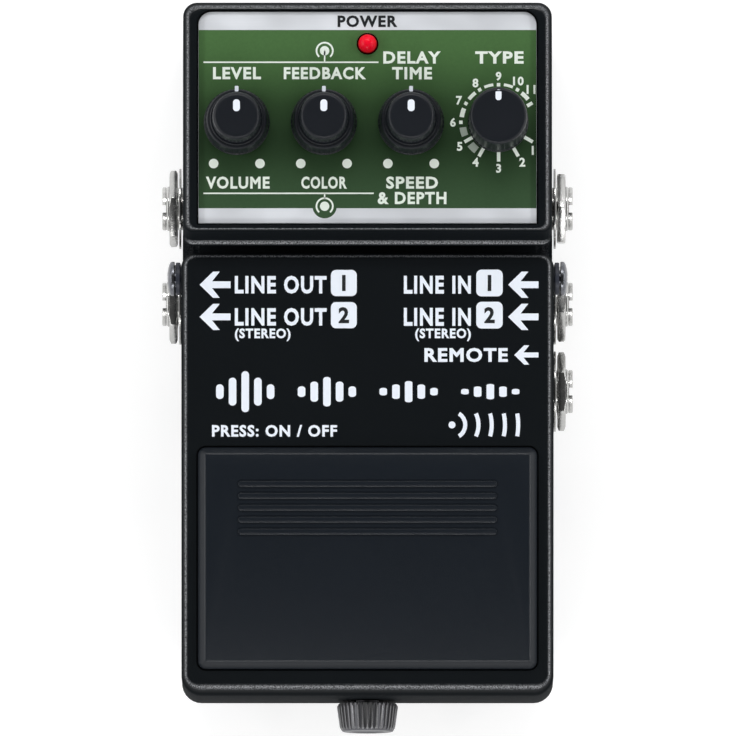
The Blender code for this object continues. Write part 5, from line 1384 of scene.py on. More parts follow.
DIAL_DASHES = [
    (45, 0.75, "ink_green_white"), (75, 0.5, "ink_green_white"), (105, 0.5, "ink_green_white"),
    (135, 0.65, "ink_green_white"), (165, 0.8, "ink_green_white"), (195, 1.2, "ink_grey"),
    (225, 1.35, "ink_grey"),
]
DIAL_DASH_DEG = 7
DIAL_EDGE_R = 7.0 * MM


def make_dial_piece():
    """Eleven ticks with their numbers, and the dashed arc that swells between them."""
    white = FINISHES["ink_green_white"]
    tick_w = DIAL_TICK_W
    stroke = bar(0.0, (DIAL_EDGE_R + DIAL_INNER_R) / 2, tick_w, DIAL_EDGE_R - DIAL_INNER_R)
    strokes = ring_of(stroke, 5, white, start_deg=-120, step_deg=-DIAL_STEP_DEG)
    spot = bar(0.0, DIAL_EDGE_R - tick_w / 2, tick_w, tick_w)
    spots = ring_of(spot, 5, white, start_deg=90, step_deg=-DIAL_STEP_DEG)
    last = bar(0.0, DIAL_EDGE_R - tick_w, tick_w, tick_w * 1.8)
    last.transform(Matrix.Rotation(math.radians(-60), 4, "Z"))
    parts = {"ink_green_white": [strokes, spots, last], "ink_grey": []}
    for middle, width, ink in DIAL_DASHES:
        parts[ink].append(sector(DIAL_EDGE_R - width * MM, DIAL_EDGE_R, middle - DIAL_DASH_DEG,
                                 middle + DIAL_DASH_DEG, 0.0))
    for text, x, y in DIAL_NUMBERS:
        parts["ink_green_white"].append(words(text, x * MM, y * MM, DIAL_CAP, None, WORD_WEIGHT))
    for ink, shapes in parts.items():
        dial = make_object("dial_print" + ink[3:], moved(joined(*shapes), DIAL_X, DIAL_Y, label_ink_z()),
                           FINISHES[ink], turn_out=False)
        dress(dial, "chassis", "label_green")


def lie_on_treadle(bm):
    """Tip flat print onto the treadle's slope."""
    for vert in bm.verts:
        vert.co.z += treadle_top_z(vert.co.y) - INK_LIFT
    return bm


PULSE_HEIGHTS = [2.6, 4.9, 7.2, 4.9, 2.6]
PULSE_BAR_W = 1.35 * MM
PULSE_BAR_PITCH = 2.25 * MM
PULSE_PITCH = 14.5 * MM
PULSE_KEEP = 0.72


def motif():
    """A pulse of round-ended bars and its fading repeats."""
    bars = []
    for place, height in enumerate(PULSE_HEIGHTS):
        half = height / 2 * MM
        x = (place - 2) * PULSE_BAR_PITCH
        bars.append(flat_sheet(rounded_box_outline(x - PULSE_BAR_W / 2, x + PULSE_BAR_W / 2, -half, half,
                                                   PULSE_BAR_W / 2 * 0.95, 6), 0.0))
    pulses = row_of(joined(*bars), 4, (PULSE_PITCH, 0.0, 0.0), FINISHES["ink_white"], keep=PULSE_KEEP)
    return moved(pulses, -21.7 * MM, -5.6 * MM)


def small_motif():
    """Dot with arcs spreading to the right."""
    waves = [flat_sheet(circle(0.0, 0.0, 0.62 * MM, 24), 0.0)]
    for ring in range(1, 6):
        middle_r = ring * 2.35 * MM
        turn = math.degrees(math.asin(min(1.0, 2.0 * MM / middle_r)))
        waves.append(sector(middle_r - 0.36 * MM, middle_r + 0.36 * MM, -turn, turn, 0.0))
    return moved(joined(*waves), 15.0 * MM, -11.45 * MM)


def make_treadle_words():
    """Print on the treadle: plain words for the jacks, arrows, numbered frames and a row of fading bars."""
    row_1 = 13.2 * MM
    row_2 = 7.55 * MM
    row_3 = 4.4 * MM
    row_4 = 0.85 * MM
    gap = WORD_WEIGHT
    parts = [
        arrow(-27.05 * MM, row_1, 5.5 * MM, 4.6 * MM),
        arrow(-27.05 * MM, row_2, 5.5 * MM, 4.6 * MM),
        words("LINE OUT", -15.4 * MM, row_1, TREADLE_CAP, 16.3 * MM, gap),
        words("LINE OUT", -15.4 * MM, row_2, TREADLE_CAP, 16.3 * MM, gap),
        tile(-4.2 * MM, row_1 + FIT, 4.6 * MM),
        tile(-4.2 * MM, row_2 + FIT, 4.6 * MM),
        words("(STEREO)", -18.6 * MM, row_3, TREADLE_SMALL_CAP, 9.9 * MM, gap),
        words("LINE IN", 12.4 * MM, row_1, TREADLE_CAP, 11.9 * MM, gap),
        words("LINE IN", 12.4 * MM, row_2, TREADLE_CAP, 11.9 * MM, gap),
        tile(21.65 * MM, row_1 + FIT, 4.7 * MM),
        tile(21.65 * MM, row_2 + FIT, 4.7 * MM),
        arrow(27.65 * MM, row_1, 5.4 * MM, 4.6 * MM),
        arrow(27.65 * MM, row_2, 5.4 * MM, 4.6 * MM),
        words("(STEREO)", 13.4 * MM, row_3, TREADLE_SMALL_CAP, 9.9 * MM, gap),
        words("REMOTE", 17.5 * MM, row_4, 2.5 * MM, 14.8 * MM, gap),
        arrow(28.2 * MM, row_4, 4.3 * MM, 3.4 * MM),
    ]
    parts += [motif(), small_motif()]
    parts.append(words("PRESS: ON / OFF", -16.5 * MM, -12.5 * MM, 2.1 * MM, 22.2 * MM, gap))
    ink = make_object("treadle_print", lie_on_treadle(joined(*parts)), FINISHES["ink_white"], turn_out=False)
    dress(ink, "treadle", "case_paint")
    numbers = [words(text, x, row + FIT, TREADLE_CAP * 0.9, None, gap) for x in (-4.2 * MM, 21.65 * MM)
               for text, row in (("1", row_1), ("2", row_2))]
    bm = lie_on_treadle(moved(joined(*numbers), 0.0, 0.0, INK_THICK - INK_LIFT))
    dark = make_object("treadle_numbers", bm, FINISHES["ink_dark"], turn_out=False)
    dress(dark, "treadle", "case_paint")


# Knobs

KNOB_RIB_RISE = 0.2 * MM
POINTER_INLAY = 0.03 * MM
INNER_POINTER_IN = 0.75 * MM
INNER_POINTER_OUT = 2.85 * MM
MODE_POINTER_IN = 2.7 * MM
MODE_POINTER_OUT = 4.6 * MM
MODE_POINTER_W = 1.05 * MM
NIB_W = 0.66 * MM
NIB_START = 4.9 * MM
NIB_END = 5.9 * MM
NIB_DEPTH = 1.6 * MM


def rounded_top(radius, top_z, edge_r, steps=EDGE_STEPS):
    """Profile points over a round top edge, outer side first."""
    return [(radius - inset, top_z - edge_r + rise) for inset, rise in [(0.0, 0.0)] + round_steps(edge_r, steps)]


def rib(low_r, high_r, low_z, high_z, width, rise):
    """One upright ridge with a round crown, leaning with the knob's side."""
    loops = []
    for radius, z in ((low_r, low_z), (low_r, low_z + width), (high_r, high_z - width), (high_r, high_z)):
        reach = rise if low_z < z < high_z else 0.0
        half = width / 2
        loops.append([
            (radius - rise, -half, z), (radius, -half, z), (radius + reach * 0.8, -half * 0.45, z),
            (radius + reach * 0.8, half * 0.45, z), (radius, half, z), (radius - rise, half, z),
        ])
    return stacked_loops(loops)


def pointer(width, start_y, end_y, top_z, inlay=POINTER_INLAY):
    """White inlay with round ends, pointing to +Y."""
    outline = rounded_box_outline(-width / 2, width / 2, start_y, end_y, width / 2 * 0.92, 8)
    return slab(outline, top_z - inlay * 2, top_z + inlay)


def knob_piece(name, profile, ribs, body, node, x, hollow=False, cuts=()):
    """A turned knob with moulded ribs round its side."""
    knob = make_object(name, joined(turned(profile, FINE_ROUND, hollow), ribs), FINISHES["knob_black"],
                       angle_deg=28, turn_out=False)
    mesh = knob.data
    bm = bmesh.new()
    bm.from_mesh(mesh)
    bmesh.ops.recalc_face_normals(bm, faces=bm.faces)
    bm.to_mesh(mesh)
    bm.free()
    if cuts:
        carve(knob, cuts=cuts)
    mesh = knob.data
    mesh.transform(Matrix.Translation((x, CONTROL_Y, 0.0)))
    smooth(mesh, 28)
    return dress(knob, body, "knob_black", node)


def make_dual_knobs(number, x, rib_count):
    """Outer ring knob and the taller knob inside it, each with a white pointer."""
    black = FINISHES["knob_black"]
    low = OUTER_KNOB_Z
    high = low + OUTER_KNOB_HEIGHT
    base_r = OUTER_KNOB_BASE_R
    top_r = OUTER_KNOB_TOP_R
    foot = 0.75 * MM
    rise = KNOB_RIB_RISE
    profile = [(base_r - 0.15 * MM, low), (base_r, low + 0.15 * MM), (base_r, low + foot),
               (base_r - rise, low + foot + rise / 2)]
    profile += rounded_top(top_r - rise / 2, high, 0.6 * MM)
    profile += [(INNER_KNOB_BASE_R + 0.35 * MM, high), (INNER_KNOB_BASE_R + 0.2 * MM, high - 0.25 * MM),
                (OUTER_KNOB_BORE_R, high - 0.25 * MM), (OUTER_KNOB_BORE_R, low + 1.3 * MM),
                (4.0 * MM, low + 1.3 * MM), (4.0 * MM, low)]
    ribs = ring_of(rib(base_r - rise * 1.2, top_r - rise, low + foot, high - 0.5 * MM, 0.42 * MM, rise),
                   rib_count, black, start_deg=180.0 / rib_count)
    knob_piece(f"ring_knob_{number}", profile, ribs, f"outer_knob_{number}", f"outer_knob_{number}", x, True)
    nib = slab(rounded_box_outline(-NIB_W / 2, NIB_W / 2, NIB_START, NIB_END, NIB_W / 4, 4),
               high - NIB_DEPTH, high + POINTER_INLAY)
    mark = make_object(f"ring_pointer_{number}", moved(nib, x, CONTROL_Y), FINISHES["ink_white"])
    dress(mark, f"outer_knob_{number}", "knob_black")

    low = INNER_KNOB_Z
    top = KNOB_TOP_Z
    base_r = INNER_KNOB_BASE_R
    neck_r = INNER_KNOB_NECK_R
    top_r = INNER_KNOB_TOP_R + FIT
    neck = low + 1.15 * MM
    profile = [(0, top - 2.0 * MM), (1.9 * MM, top - 2.0 * MM), (1.9 * MM, low), (base_r - 0.1 * MM, low),
               (base_r, low + 0.12 * MM)]
    profile += rounded_top(base_r, low + 0.75 * MM, 0.22 * MM)
    profile += [(neck_r + 0.06 * MM, low + 0.7 * MM), (neck_r - rise * 0.5, neck)]
    profile += rounded_top(top_r - rise * 0.5, top, 0.75 * MM)
    profile += [(top_r - 1.3 * MM, top - 0.03 * MM), (0, top - 0.1 * MM)]
    ribs = ring_of(rib(neck_r - rise, top_r - rise, neck - 0.15 * MM, top - 0.62 * MM, 0.4 * MM, rise),
                   rib_count, black)
    knob_piece(f"centre_knob_{number}", profile, ribs, f"inner_knob_{number}", f"inner_knob_{number}", x)
    slot = pointer(POINTER_W, INNER_POINTER_IN, INNER_POINTER_OUT, top - 0.07 * MM, 0.05 * MM)
    mark = make_object(f"centre_pointer_{number}", moved(slot, x, CONTROL_Y), FINISHES["ink_white"])
    dress(mark, f"inner_knob_{number}", "knob_black")


def make_mode_knob(rib_count):
    """The tall ribbed knob of the rotary switch."""
    x = CONTROL_XS[-1]
    low = OUTER_KNOB_Z
    top = KNOB_TOP_Z
    base_r = MODE_KNOB_BASE_R
    top_r = MODE_KNOB_TOP_R
    rise = KNOB_RIB_RISE
    foot = 0.9 * MM
    profile = [(0, top - 2.0 * MM), (3.3 * MM, top - 2.0 * MM), (3.3 * MM, low + 1.3 * MM),
               (4.0 * MM, low + 1.3 * MM), (4.0 * MM, low), (base_r - 0.15 * MM, low),
               (base_r, low + 0.15 * MM), (base_r, low + foot), (base_r - rise, low + foot + rise / 2)]
    profile += rounded_top(top_r - rise * 0.5, top, 0.6 * MM)
    profile += [(top_r - 1.4 * MM, top - 0.04 * MM), (0, top - 0.12 * MM)]
    ribs = ring_of(rib(base_r - rise * 1.2, top_r - rise, low + foot, top - 0.5 * MM, 0.42 * MM, rise),
                   rib_count, FINISHES["knob_black"], start_deg=180.0 / rib_count)
    knob_piece("dial_knob", profile, ribs, "mode_knob", "mode_knob", x)
    slot = pointer(MODE_POINTER_W, MODE_POINTER_IN, MODE_POINTER_OUT, top - 0.06 * MM, 0.05 * MM)
    mark = make_object("dial_pointer", moved(slot, x, CONTROL_Y), FINISHES["ink_white"])
    dress(mark, "mode_knob", "knob_black")


def make_led_piece():
    """Red dome on its stem."""
    low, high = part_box("status_led")
    foot = low[2]
    dome = high[2]
    foot_r = (high[0] - low[0]) / 2
    shoulder = PANEL_UNDER_Z - FIT
    profile = [(0, foot), (foot_r, foot), (foot_r, shoulder), (LED_R, shoulder)]
    for step in range(12):
        turn = math.radians(90 * step / 12)
        profile.append((LED_R * math.cos(turn), dome - LED_R + LED_R * math.sin(turn)))
    profile.append((0, dome))
    led = make_object("indicator_light", moved(turned(profile, ROUND), 0.0, LED_Y), FINISHES["led_red"])
    dress(led, "chassis", "led_red", "status_led")


# Jacks

def ridged_thread(radius, start, end):
    """Profile points of a threaded barrel, seen as fine even ridges."""
    points = []
    count = int((end - start) / THREAD_PITCH)
    for turn in range(count):
        z = start + turn * THREAD_PITCH
        points += [(radius - THREAD_DEPTH, z), (radius, z + THREAD_PITCH * 0.4),
                   (radius, z + THREAD_PITCH * 0.55), (radius - THREAD_DEPTH, z + THREAD_PITCH * 0.95)]
    return points


def make_jack_pieces():
    """Threaded, slotted barrels with washers and hex nuts, made once and turned to each side."""
    barrel_low = JACK_COLLAR_X + FIT / 3
    end = JACK_END_X
    radius = JACK_BARREL_R
    profile = [(radius - THREAD_DEPTH, barrel_low)]
    profile += ridged_thread(radius, NUT_X + NUT_THICK - 0.2 * MM, end - 0.75 * MM)
    profile += [(radius - THREAD_DEPTH, end - 0.72 * MM), (radius - 0.12 * MM, end - 0.62 * MM),
                (radius - 0.12 * MM, end - 0.18 * MM), (radius - 0.3 * MM, end),
                (JACK_LIP_R, end), (JACK_LIP_R - 0.2 * MM, end - 0.2 * MM), (JACK_BORE_R, end - JACK_LIP_DEPTH),
                (JACK_BORE_R, barrel_low)]
    slot = block(end - JACK_SLOT_DEPTH, end + OVERRUN, -JACK_SLOT_W / 2, JACK_SLOT_W / 2,
                 -radius - OVERRUN, radius + OVERRUN)
    barrel = make_object("barrel_form", along(turned(profile, FINE_ROUND, True), "+X"), FINISHES["nickel"])
    carve(barrel, cuts=[slot])
    soften(barrel, 0.05 * MM, 1, 50)

    washer = turned([(WASHER_R - 0.08 * MM, WASHER_X), (WASHER_R, WASHER_X + 0.08 * MM),
                     (WASHER_R, WASHER_X + WASHER_THICK - 0.08 * MM),
                     (WASHER_R - 0.08 * MM, WASHER_X + WASHER_THICK),
                     (radius + FIT, WASHER_X + WASHER_THICK), (radius + FIT, WASHER_X)], FINE_ROUND, True)
    washer = make_object("washer_form", along(washer, "+X"), FINISHES["nickel"])

    corner_r = NUT_ACROSS_FLATS / 2 / math.cos(math.radians(30))
    prism = turned([(0, NUT_X), (corner_r, NUT_X), (corner_r, NUT_X + NUT_THICK), (0, NUT_X + NUT_THICK)], 6)
    nut = make_object("nut_form", along(prism, "+X"), FINISHES["nickel"])
    cone = turned([(0, NUT_X), (corner_r - NUT_CHAMFER * 2, NUT_X), (corner_r + NUT_CHAMFER, NUT_X + NUT_CHAMFER * 1.3),
                   (corner_r + NUT_CHAMFER, NUT_X + NUT_THICK - NUT_CHAMFER * 1.3),
                   (corner_r - NUT_CHAMFER * 2, NUT_X + NUT_THICK), (0, NUT_X + NUT_THICK)], FINE_ROUND)
    tool = make_object("nut_cone", along(cone, "+X"))
    shared = nut.modifiers.new("shared", "BOOLEAN")
    shared.operation = "INTERSECT"
    shared.object = tool
    settle(nut)
    bpy.data.objects.remove(tool, do_unlink=True)
    thread = along(turned([(0, NUT_X - OVERRUN), (radius + FIT / 3, NUT_X - OVERRUN),
                           (radius + FIT / 3, NUT_X + NUT_THICK - 0.25 * MM),
                           (radius + FIT, NUT_X + NUT_THICK + 0.1 * MM),
                           (radius + FIT, NUT_X + NUT_THICK + OVERRUN), (0, NUT_X + NUT_THICK + OVERRUN)], ROUND), "+X")
    carve(nut, cuts=[thread])
    soften(nut, 0.07 * MM, 2, 25)

    for name, side, y in JACK_PLACES:
        turn = Matrix.Rotation(math.pi if side < 0 else 0.0, 4, "Z")
        place = Matrix.Translation((0.0, y, JACK_Z))
        tilt = Matrix.Rotation(math.radians(NUT_TILTS[name]), 4, "X")
        for form, kind, nodes in ((barrel, "barrel", ()), (washer, "ring", (name + "_washer",)),
                                  (nut, "hexnut", (name + "_nut",))):
            mesh = form.data.copy()
            if kind == "hexnut":
                mesh.transform(tilt)
            mesh.transform(place @ turn)
            piece = new_object(f"{name}_{kind}", mesh)
            dress(piece, "chassis", "nickel", *nodes)
        make_jack_body(name, place @ turn)
    for form in (barrel, washer, nut):
        bpy.data.objects.remove(form, do_unlink=True)


NUT_TILTS = {"jack_out_b": 11, "jack_out_a": 24, "jack_in_b": 3, "jack_in_a": 17, "jack_control": 35}
JACK_BODY_INNER_X = 9.15 * MM
JACK_BODY_OUT_X = 27.55 * MM
JACK_BODY_W = 15.0 * MM
JACK_BODY_H = 14.0 * MM
JACK_COLLAR_R = 5.2 * MM


def make_jack_body(name, place):
    """Moulded jack housing with its collar and bore."""
    half_w = JACK_BODY_W / 2
    half_h = JACK_BODY_H / 2
    outline = rounded_box_outline(-half_h, half_h, -half_w, half_w, 1.2 * MM, 4)
    body = make_object(name + "_housing", along(slab(outline, JACK_BODY_INNER_X, JACK_BODY_OUT_X), "+X"),
                       FINISHES["black_plastic"])
    collar = along(turned([
        (0, JACK_BODY_OUT_X - FIT), (JACK_COLLAR_R, JACK_BODY_OUT_X - FIT), (JACK_COLLAR_R, JACK_COLLAR_X),
        (JACK_BORE_R + FIT, JACK_COLLAR_X), (JACK_BORE_R + FIT, JACK_COLLAR_X + FIT), (0, JACK_COLLAR_X + FIT),
    ], ROUND), "+X")
    bore = along(rod(JACK_BORE_R - FIT / 3, JACK_BORE_END_X, JACK_COLLAR_X + OVERRUN), "+X")
    carve(body, [collar], [bore])
    body.data.transform(place)
    dress(body, "chassis", "black_plastic", name)


def make_power_piece():
    """Barrel power socket with a dished face, its bore and centre pin."""
    low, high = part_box("dc_jack")
    rear = CASE_CAVITY_REAR_Y - FIT
    socket = make_object("power_socket", block(low[0], high[0], low[1], rear, low[2], high[2]),
                         FINISHES["black_plastic"])
    end = POWER_COLLAR_END_Y
    collar = turned([(0, rear - FIT), (POWER_COLLAR_R, rear - FIT)] + rounded_top(POWER_COLLAR_R, end, 0.35 * MM)
                    + [(0, end)], ROUND)
    bore_end = end - POWER_BORE_DEPTH
    bore = turned([(POWER_BORE_R, bore_end), (POWER_BORE_R, end - 0.3 * MM), (POWER_BORE_R + FIT, end + FIT / 3),
                   (POWER_BORE_R + FIT, end + OVERRUN), (POWER_PIN_R, end + OVERRUN), (POWER_PIN_R, bore_end)],
                  ROUND, True)
    room = rod(POWER_BORE_R - FIT, end - TOP_GAP, end + OVERRUN * 2)
    carve(socket, [moved(along(collar, "+Y"), POWER_X, 0.0, POWER_Z)],
          [moved(along(bore, "+Y"), POWER_X, 0.0, POWER_Z), moved(along(room, "+Y"), POWER_X, 0.0, POWER_Z)])
    soften(socket, 0.08 * MM, 2, 50)
    dress(socket, "chassis", "black_plastic", "dc_jack")
    tip = end - TOP_GAP
    pin = turned([(0, bore_end + FIT), (POWER_PIN_R + 0.02 * MM, bore_end + FIT),
                  (POWER_PIN_R + 0.02 * MM, tip - 0.3 * MM), (POWER_PIN_R - 0.35 * MM, tip + 0.02 * MM),
                  (0, tip + 0.02 * MM)], ROUND)
    pin = make_object("power_pin", moved(along(pin, "+Y"), POWER_X, 0.0, POWER_Z), FINISHES["nickel"])
    dress(pin, "chassis", "nickel")


# Hinge, thumb screw and guide

def dome_points(radius, low_z, rise, steps=6):
    """Profile points over a shallow dome, from its rim to the axis."""
    points = []
    for step in range(steps):
        turn = math.radians(90 * step / steps)
        points.append((radius * math.cos(turn), low_z + rise * math.sin(turn)))
    return points + [(0, low_z + rise)]


def make_hinge_pieces():
    """Dark plated shoulder screws with a cross recess, each in its flanged nylon bush."""
    flange_x = TREADLE_HALF_W + STACK
    flange_end = flange_x + HINGE_BUSH_FLANGE
    head_x = flange_end + STACK
    sleeve_x = CASE_UPPER_HALF_W + STACK
    tip = CASE_UPPER_HALF_W - HINGE_SCREW_DEPTH
    head_low = head_x + HINGE_HEAD_THICK * 0.4
    soft = 0.12 * MM
    screw_profile = [(0, tip), (HINGE_SHANK_R, tip), (HINGE_SHANK_R, head_x), (HINGE_HEAD_R - soft, head_x),
                     (HINGE_HEAD_R, head_x + soft)]
    screw_profile += dome_points(HINGE_HEAD_R, head_low, HINGE_HEAD_THICK * 0.6, 8)
    bush_profile = [(HINGE_BUSH_R, sleeve_x), (HINGE_BUSH_R, flange_x), (HINGE_BUSH_FLANGE_R - soft, flange_x),
                    (HINGE_BUSH_FLANGE_R, flange_x + soft), (HINGE_BUSH_FLANGE_R, flange_end - soft),
                    (HINGE_BUSH_FLANGE_R - soft, flange_end), (HINGE_SHANK_R + RUN, flange_end),
                    (HINGE_SHANK_R + RUN, sleeve_x)]
    end = head_x + HINGE_HEAD_THICK
    for side, label in ((-1, "left"), (1, "right")):
        place = Matrix.Translation((0.0, HINGE_Y, HINGE_Z))
        if side < 0:
            place = place @ Matrix.Rotation(math.pi, 4, "Z")
        screw = make_object("hinge_head_" + label, along(turned(screw_profile, ROUND), "+X"),
                            FINISHES["dark_chrome"])
        carve(screw, cuts=cross_recess(end, 3.2 * MM, 0.75 * MM, 0.75 * MM))
        soften(screw, 0.05 * MM, 1, 60)
        screw.data.transform(place)
        dress(screw, "chassis", "dark_chrome", "hinge_screw_" + label)
        bush = make_object("hinge_sleeve_" + label, along(turned(bush_profile, ROUND, True), "+X"),
                           FINISHES["blue_nylon"])
        bush.data.transform(place)
        dress(bush, "chassis", "blue_nylon", "hinge_bush_" + label)


def cross_recess(end, length, width, depth):
    """Two crossed slots sunk into a screw head that faces +X."""
    half = length / 2
    turn = Matrix.Rotation(math.radians(45), 4, "X")
    slots = []
    for half_y, half_z in ((half, width / 2), (width / 2, half)):
        slot = block(end - depth, end + OVERRUN, -half_y, half_y, -half_z, half_z)
        slot.transform(turn)
        slots.append(slot)
    return slots


def make_thumb_piece():
    """Knurled thumb screw: straight ridges between two plain rims, and a plain pin."""
    base = -TREADLE_FRONT_Y + TOP_GAP
    end = base + THUMB_LENGTH
    tip = base - THUMB_SHANK_LENGTH
    groove = THUMB_RIDGE_DEPTH
    profile = [(0, tip), (THUMB_SHANK_R - 0.4 * MM, tip), (THUMB_SHANK_R, tip + 0.4 * MM), (THUMB_SHANK_R, base),
               (THUMB_BASE_R - groove - THUMB_HEEL, base), (THUMB_BASE_R - groove, base + THUMB_HEEL),
               (THUMB_END_R - groove, end - THUMB_CHAMFER)]
    profile += rounded_top(THUMB_END_R - groove, end, THUMB_CHAMFER * 0.8, 5)[1:]
    profile += [(THUMB_END_R * 0.62, end), (THUMB_END_R * 0.55, end - 0.18 * MM), (0, end - 0.18 * MM)]
    width = 2 * math.pi * THUMB_BASE_R / THUMB_RIDGES * 0.52
    ridge = rib(THUMB_BASE_R - groove, THUMB_END_R - groove, base + THUMB_HEEL / 2, end - THUMB_CHAMFER * 0.55,
                width, groove * 1.2)
    ridges = ring_of(ridge, THUMB_RIDGES, FINISHES["thumb_steel"])
    bm = along(joined(turned(profile, 72), ridges), "-Y")
    screw = make_object("knurled_screw", moved(bm, 0.0, 0.0, THUMB_Z), FINISHES["thumb_steel"], 28)
    dress(screw, "thumb_screw", "thumb_steel", "thumb_screw")


def make_guide_piece():
    """Nylon fork in the front wall, with a lead-in at the top of its slot."""
    low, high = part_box("guide_bush")
    inner = GUIDE_HALF_W - 1.4 * MM
    bush = make_object("guide_fork", block(low[0], high[0], low[1], high[1], low[2], high[2]),
                       FINISHES["black_plastic"])
    floor = GUIDE_FLOOR_Z + 1.4 * MM
    mouth = 1.0 * MM
    outline = arc(0.0, floor + inner, inner, 180, 360, 16)
    outline += [(inner, high[2] - mouth), (inner + mouth, high[2] + FIT), (-inner - mouth, high[2] + FIT),
                (-inner, high[2] - mouth)]
    reach_front = low[1] - OVERRUN
    reach_rear = high[1] + OVERRUN
    slot = stacked_loops([[(x, y, z) for x, z in outline] for y in (reach_front, reach_rear)])
    carve(bush, cuts=[slot])
    soften(bush, 0.15 * MM, 2, 45)
    dress(bush, "chassis", "black_plastic", "guide_bush")


def make_insert_piece():
    """Pressed steel ring behind the lip that the thumb screw turns in."""
    low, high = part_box("screw_insert")
    outer = (high[0] - low[0]) / 2
    soft = 0.12 * MM
    profile = [(outer - soft, low[1]), (outer, low[1] + soft), (outer, high[1] - soft), (outer - soft, high[1]),
               (THUMB_SHANK_R + FIT / 2 + soft, high[1]), (THUMB_SHANK_R + FIT / 2, high[1] - soft),
               (THUMB_SHANK_R + FIT / 2, low[1] + soft), (THUMB_SHANK_R + FIT / 2 + soft, low[1])]
    ring = make_object("lip_ring", moved(along(turned(profile, ROUND, True), "+Y"), 0.0, 0.0, THUMB_Z),
                       FINISHES["zinc_steel"])
    dress(ring, "treadle", "zinc_steel", "screw_insert")


# Base

def make_base_pieces():
    """Zinc base plate, moulded rubber sheet with a fine grid of pips, and cross-recess screws."""
    low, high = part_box("base_plate")
    outline_radius = CASE_CORNER_R
    edge = 0.2 * MM
    loops = []
    for inset, z in ((edge, low[2]), (0.0, low[2] + edge), (0.0, high[2] - edge), (edge, high[2])):
        outline = rounded_box_outline(low[0] + inset, high[0] - inset, low[1] + inset, high[1] - inset,
                                      outline_radius - inset)
        loops.append([(x, y, z) for x, y in outline])
    plate = make_object("bottom_plate", stacked_loops(loops), FINISHES["zinc_steel"])
    carve(plate, cuts=[moved(rod(BASE_SCREW_R + FIT, low[2] - OVERRUN, high[2] + OVERRUN), x, y)
                       for x, y in base_screw_places()])
    dress(plate, "chassis", "zinc_steel", "base_plate")

    low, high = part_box("base_rubber")
    loops = []
    sink = RUBBER_PIP_H
    for inset, z in ((edge, sink), (0.0, sink + edge), (0.0, high[2])):
        outline = rounded_box_outline(low[0] + inset, high[0] - inset, low[1] + inset, high[1] - inset,
                                      outline_radius - inset)
        loops.append([(x, y, z) for x, y in outline])
    rubber = make_object("foot_sheet", stacked_loops(loops), FINISHES["rubber_black"])
    notches = []
    for x, y in base_screw_places():
        side = math.copysign(1.0, x)
        end = math.copysign(1.0, y)
        notches.append(moved(rod(RUBBER_NOTCH_R, -OVERRUN, high[2] + OVERRUN), x, y))
        reach = BOSS_R * 3
        across = sorted((x - side * RUBBER_NOTCH_R, x + side * reach))
        beside = sorted((y, y + end * reach))
        notches.append(block(*across, *beside, -OVERRUN, high[2] + OVERRUN))
        across = sorted((x, x + side * reach))
        beside = sorted((y - end * RUBBER_NOTCH_R, y + end * reach))
        notches.append(block(*across, *beside, -OVERRUN, high[2] + OVERRUN))
    carve(rubber, cuts=notches)
    pip = turned([(0, 0.0), (RUBBER_PIP_R * 0.7, 0.0), (RUBBER_PIP_R, sink * 0.5), (RUBBER_PIP_R, sink + edge),
                  (0, sink + edge)], 10)
    columns = int((high[0] - RUBBER_PIP_MARGIN) * 2 / RUBBER_PIP_PITCH)
    rows = int((high[1] - low[1] - RUBBER_PIP_MARGIN * 2) / RUBBER_PIP_PITCH)
    places = []
    for row in range(rows + 1):
        for column in range(columns + 1):
            x = (column - columns / 2) * RUBBER_PIP_PITCH
            y = (low[1] + high[1]) / 2 + (row - rows / 2) * RUBBER_PIP_PITCH
            if all(math.hypot(x - sx, y - sy) > RUBBER_NOTCH_R + BOSS_R for sx, sy in base_screw_places()):
                places.append((x, y, 0.0))
    pips = spots_of(pip, places, FINISHES["rubber_black"])
    sheet = rubber.data
    bm = bmesh.new()
    bm.from_mesh(sheet)
    whole = joined(bm, pips)
    whole.to_mesh(sheet)
    whole.free()
    smooth(sheet)
    dress(rubber, "chassis", "rubber_black", "base_rubber")

    head_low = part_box("base_screw_1")[0][2]
    head_top = head_low + BASE_HEAD_THICK
    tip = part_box("base_screw_1")[1][2]
    profile = [(0, head_low)]
    profile += [(radius, 2 * head_low + BASE_HEAD_THICK * 0.45 - z)
                for radius, z in reversed(dome_points(BASE_HEAD_R, head_low, BASE_HEAD_THICK * 0.45)[:-1])]
    profile += [(BASE_HEAD_R, head_top - edge), (BASE_HEAD_R - edge, head_top), (BASE_SCREW_R, head_top)]
    z = head_top + BASE_SCREW_PITCH
    while z < tip - BASE_SCREW_PITCH * 2:
        profile += [(BASE_SCREW_R - BASE_SCREW_CUT, z), (BASE_SCREW_R, z + BASE_SCREW_PITCH / 2)]
        z += BASE_SCREW_PITCH
    profile += [(BASE_SCREW_R - BASE_SCREW_CUT, z), (0, tip)]
    screw = make_object("screw_form", turned(profile, 32), FINISHES["zinc_steel"])
    half = BASE_HEAD_R * 0.55
    thin = 0.32 * MM
    turn = Matrix.Rotation(math.radians(30), 4, "Z")
    slots = [block(-half, half, -thin, thin, head_low - OVERRUN, head_low + 0.7 * MM),
             block(-thin, thin, -half, half, head_low - OVERRUN, head_low + 0.7 * MM)]
    carve(screw, cuts=slots)
    for number, (x, y) in enumerate(base_screw_places(), 1):
        mesh = screw.data.copy()
        mesh.transform(Matrix.Translation((x, y, 0.0)) @ Matrix.Rotation(number, 4, "Z") @ turn)
        piece = new_object(f"plate_screw_{number}", mesh)
        dress(piece, "chassis", "zinc_steel", f"base_screw_{number}")
    bpy.data.objects.remove(screw, do_unlink=True)


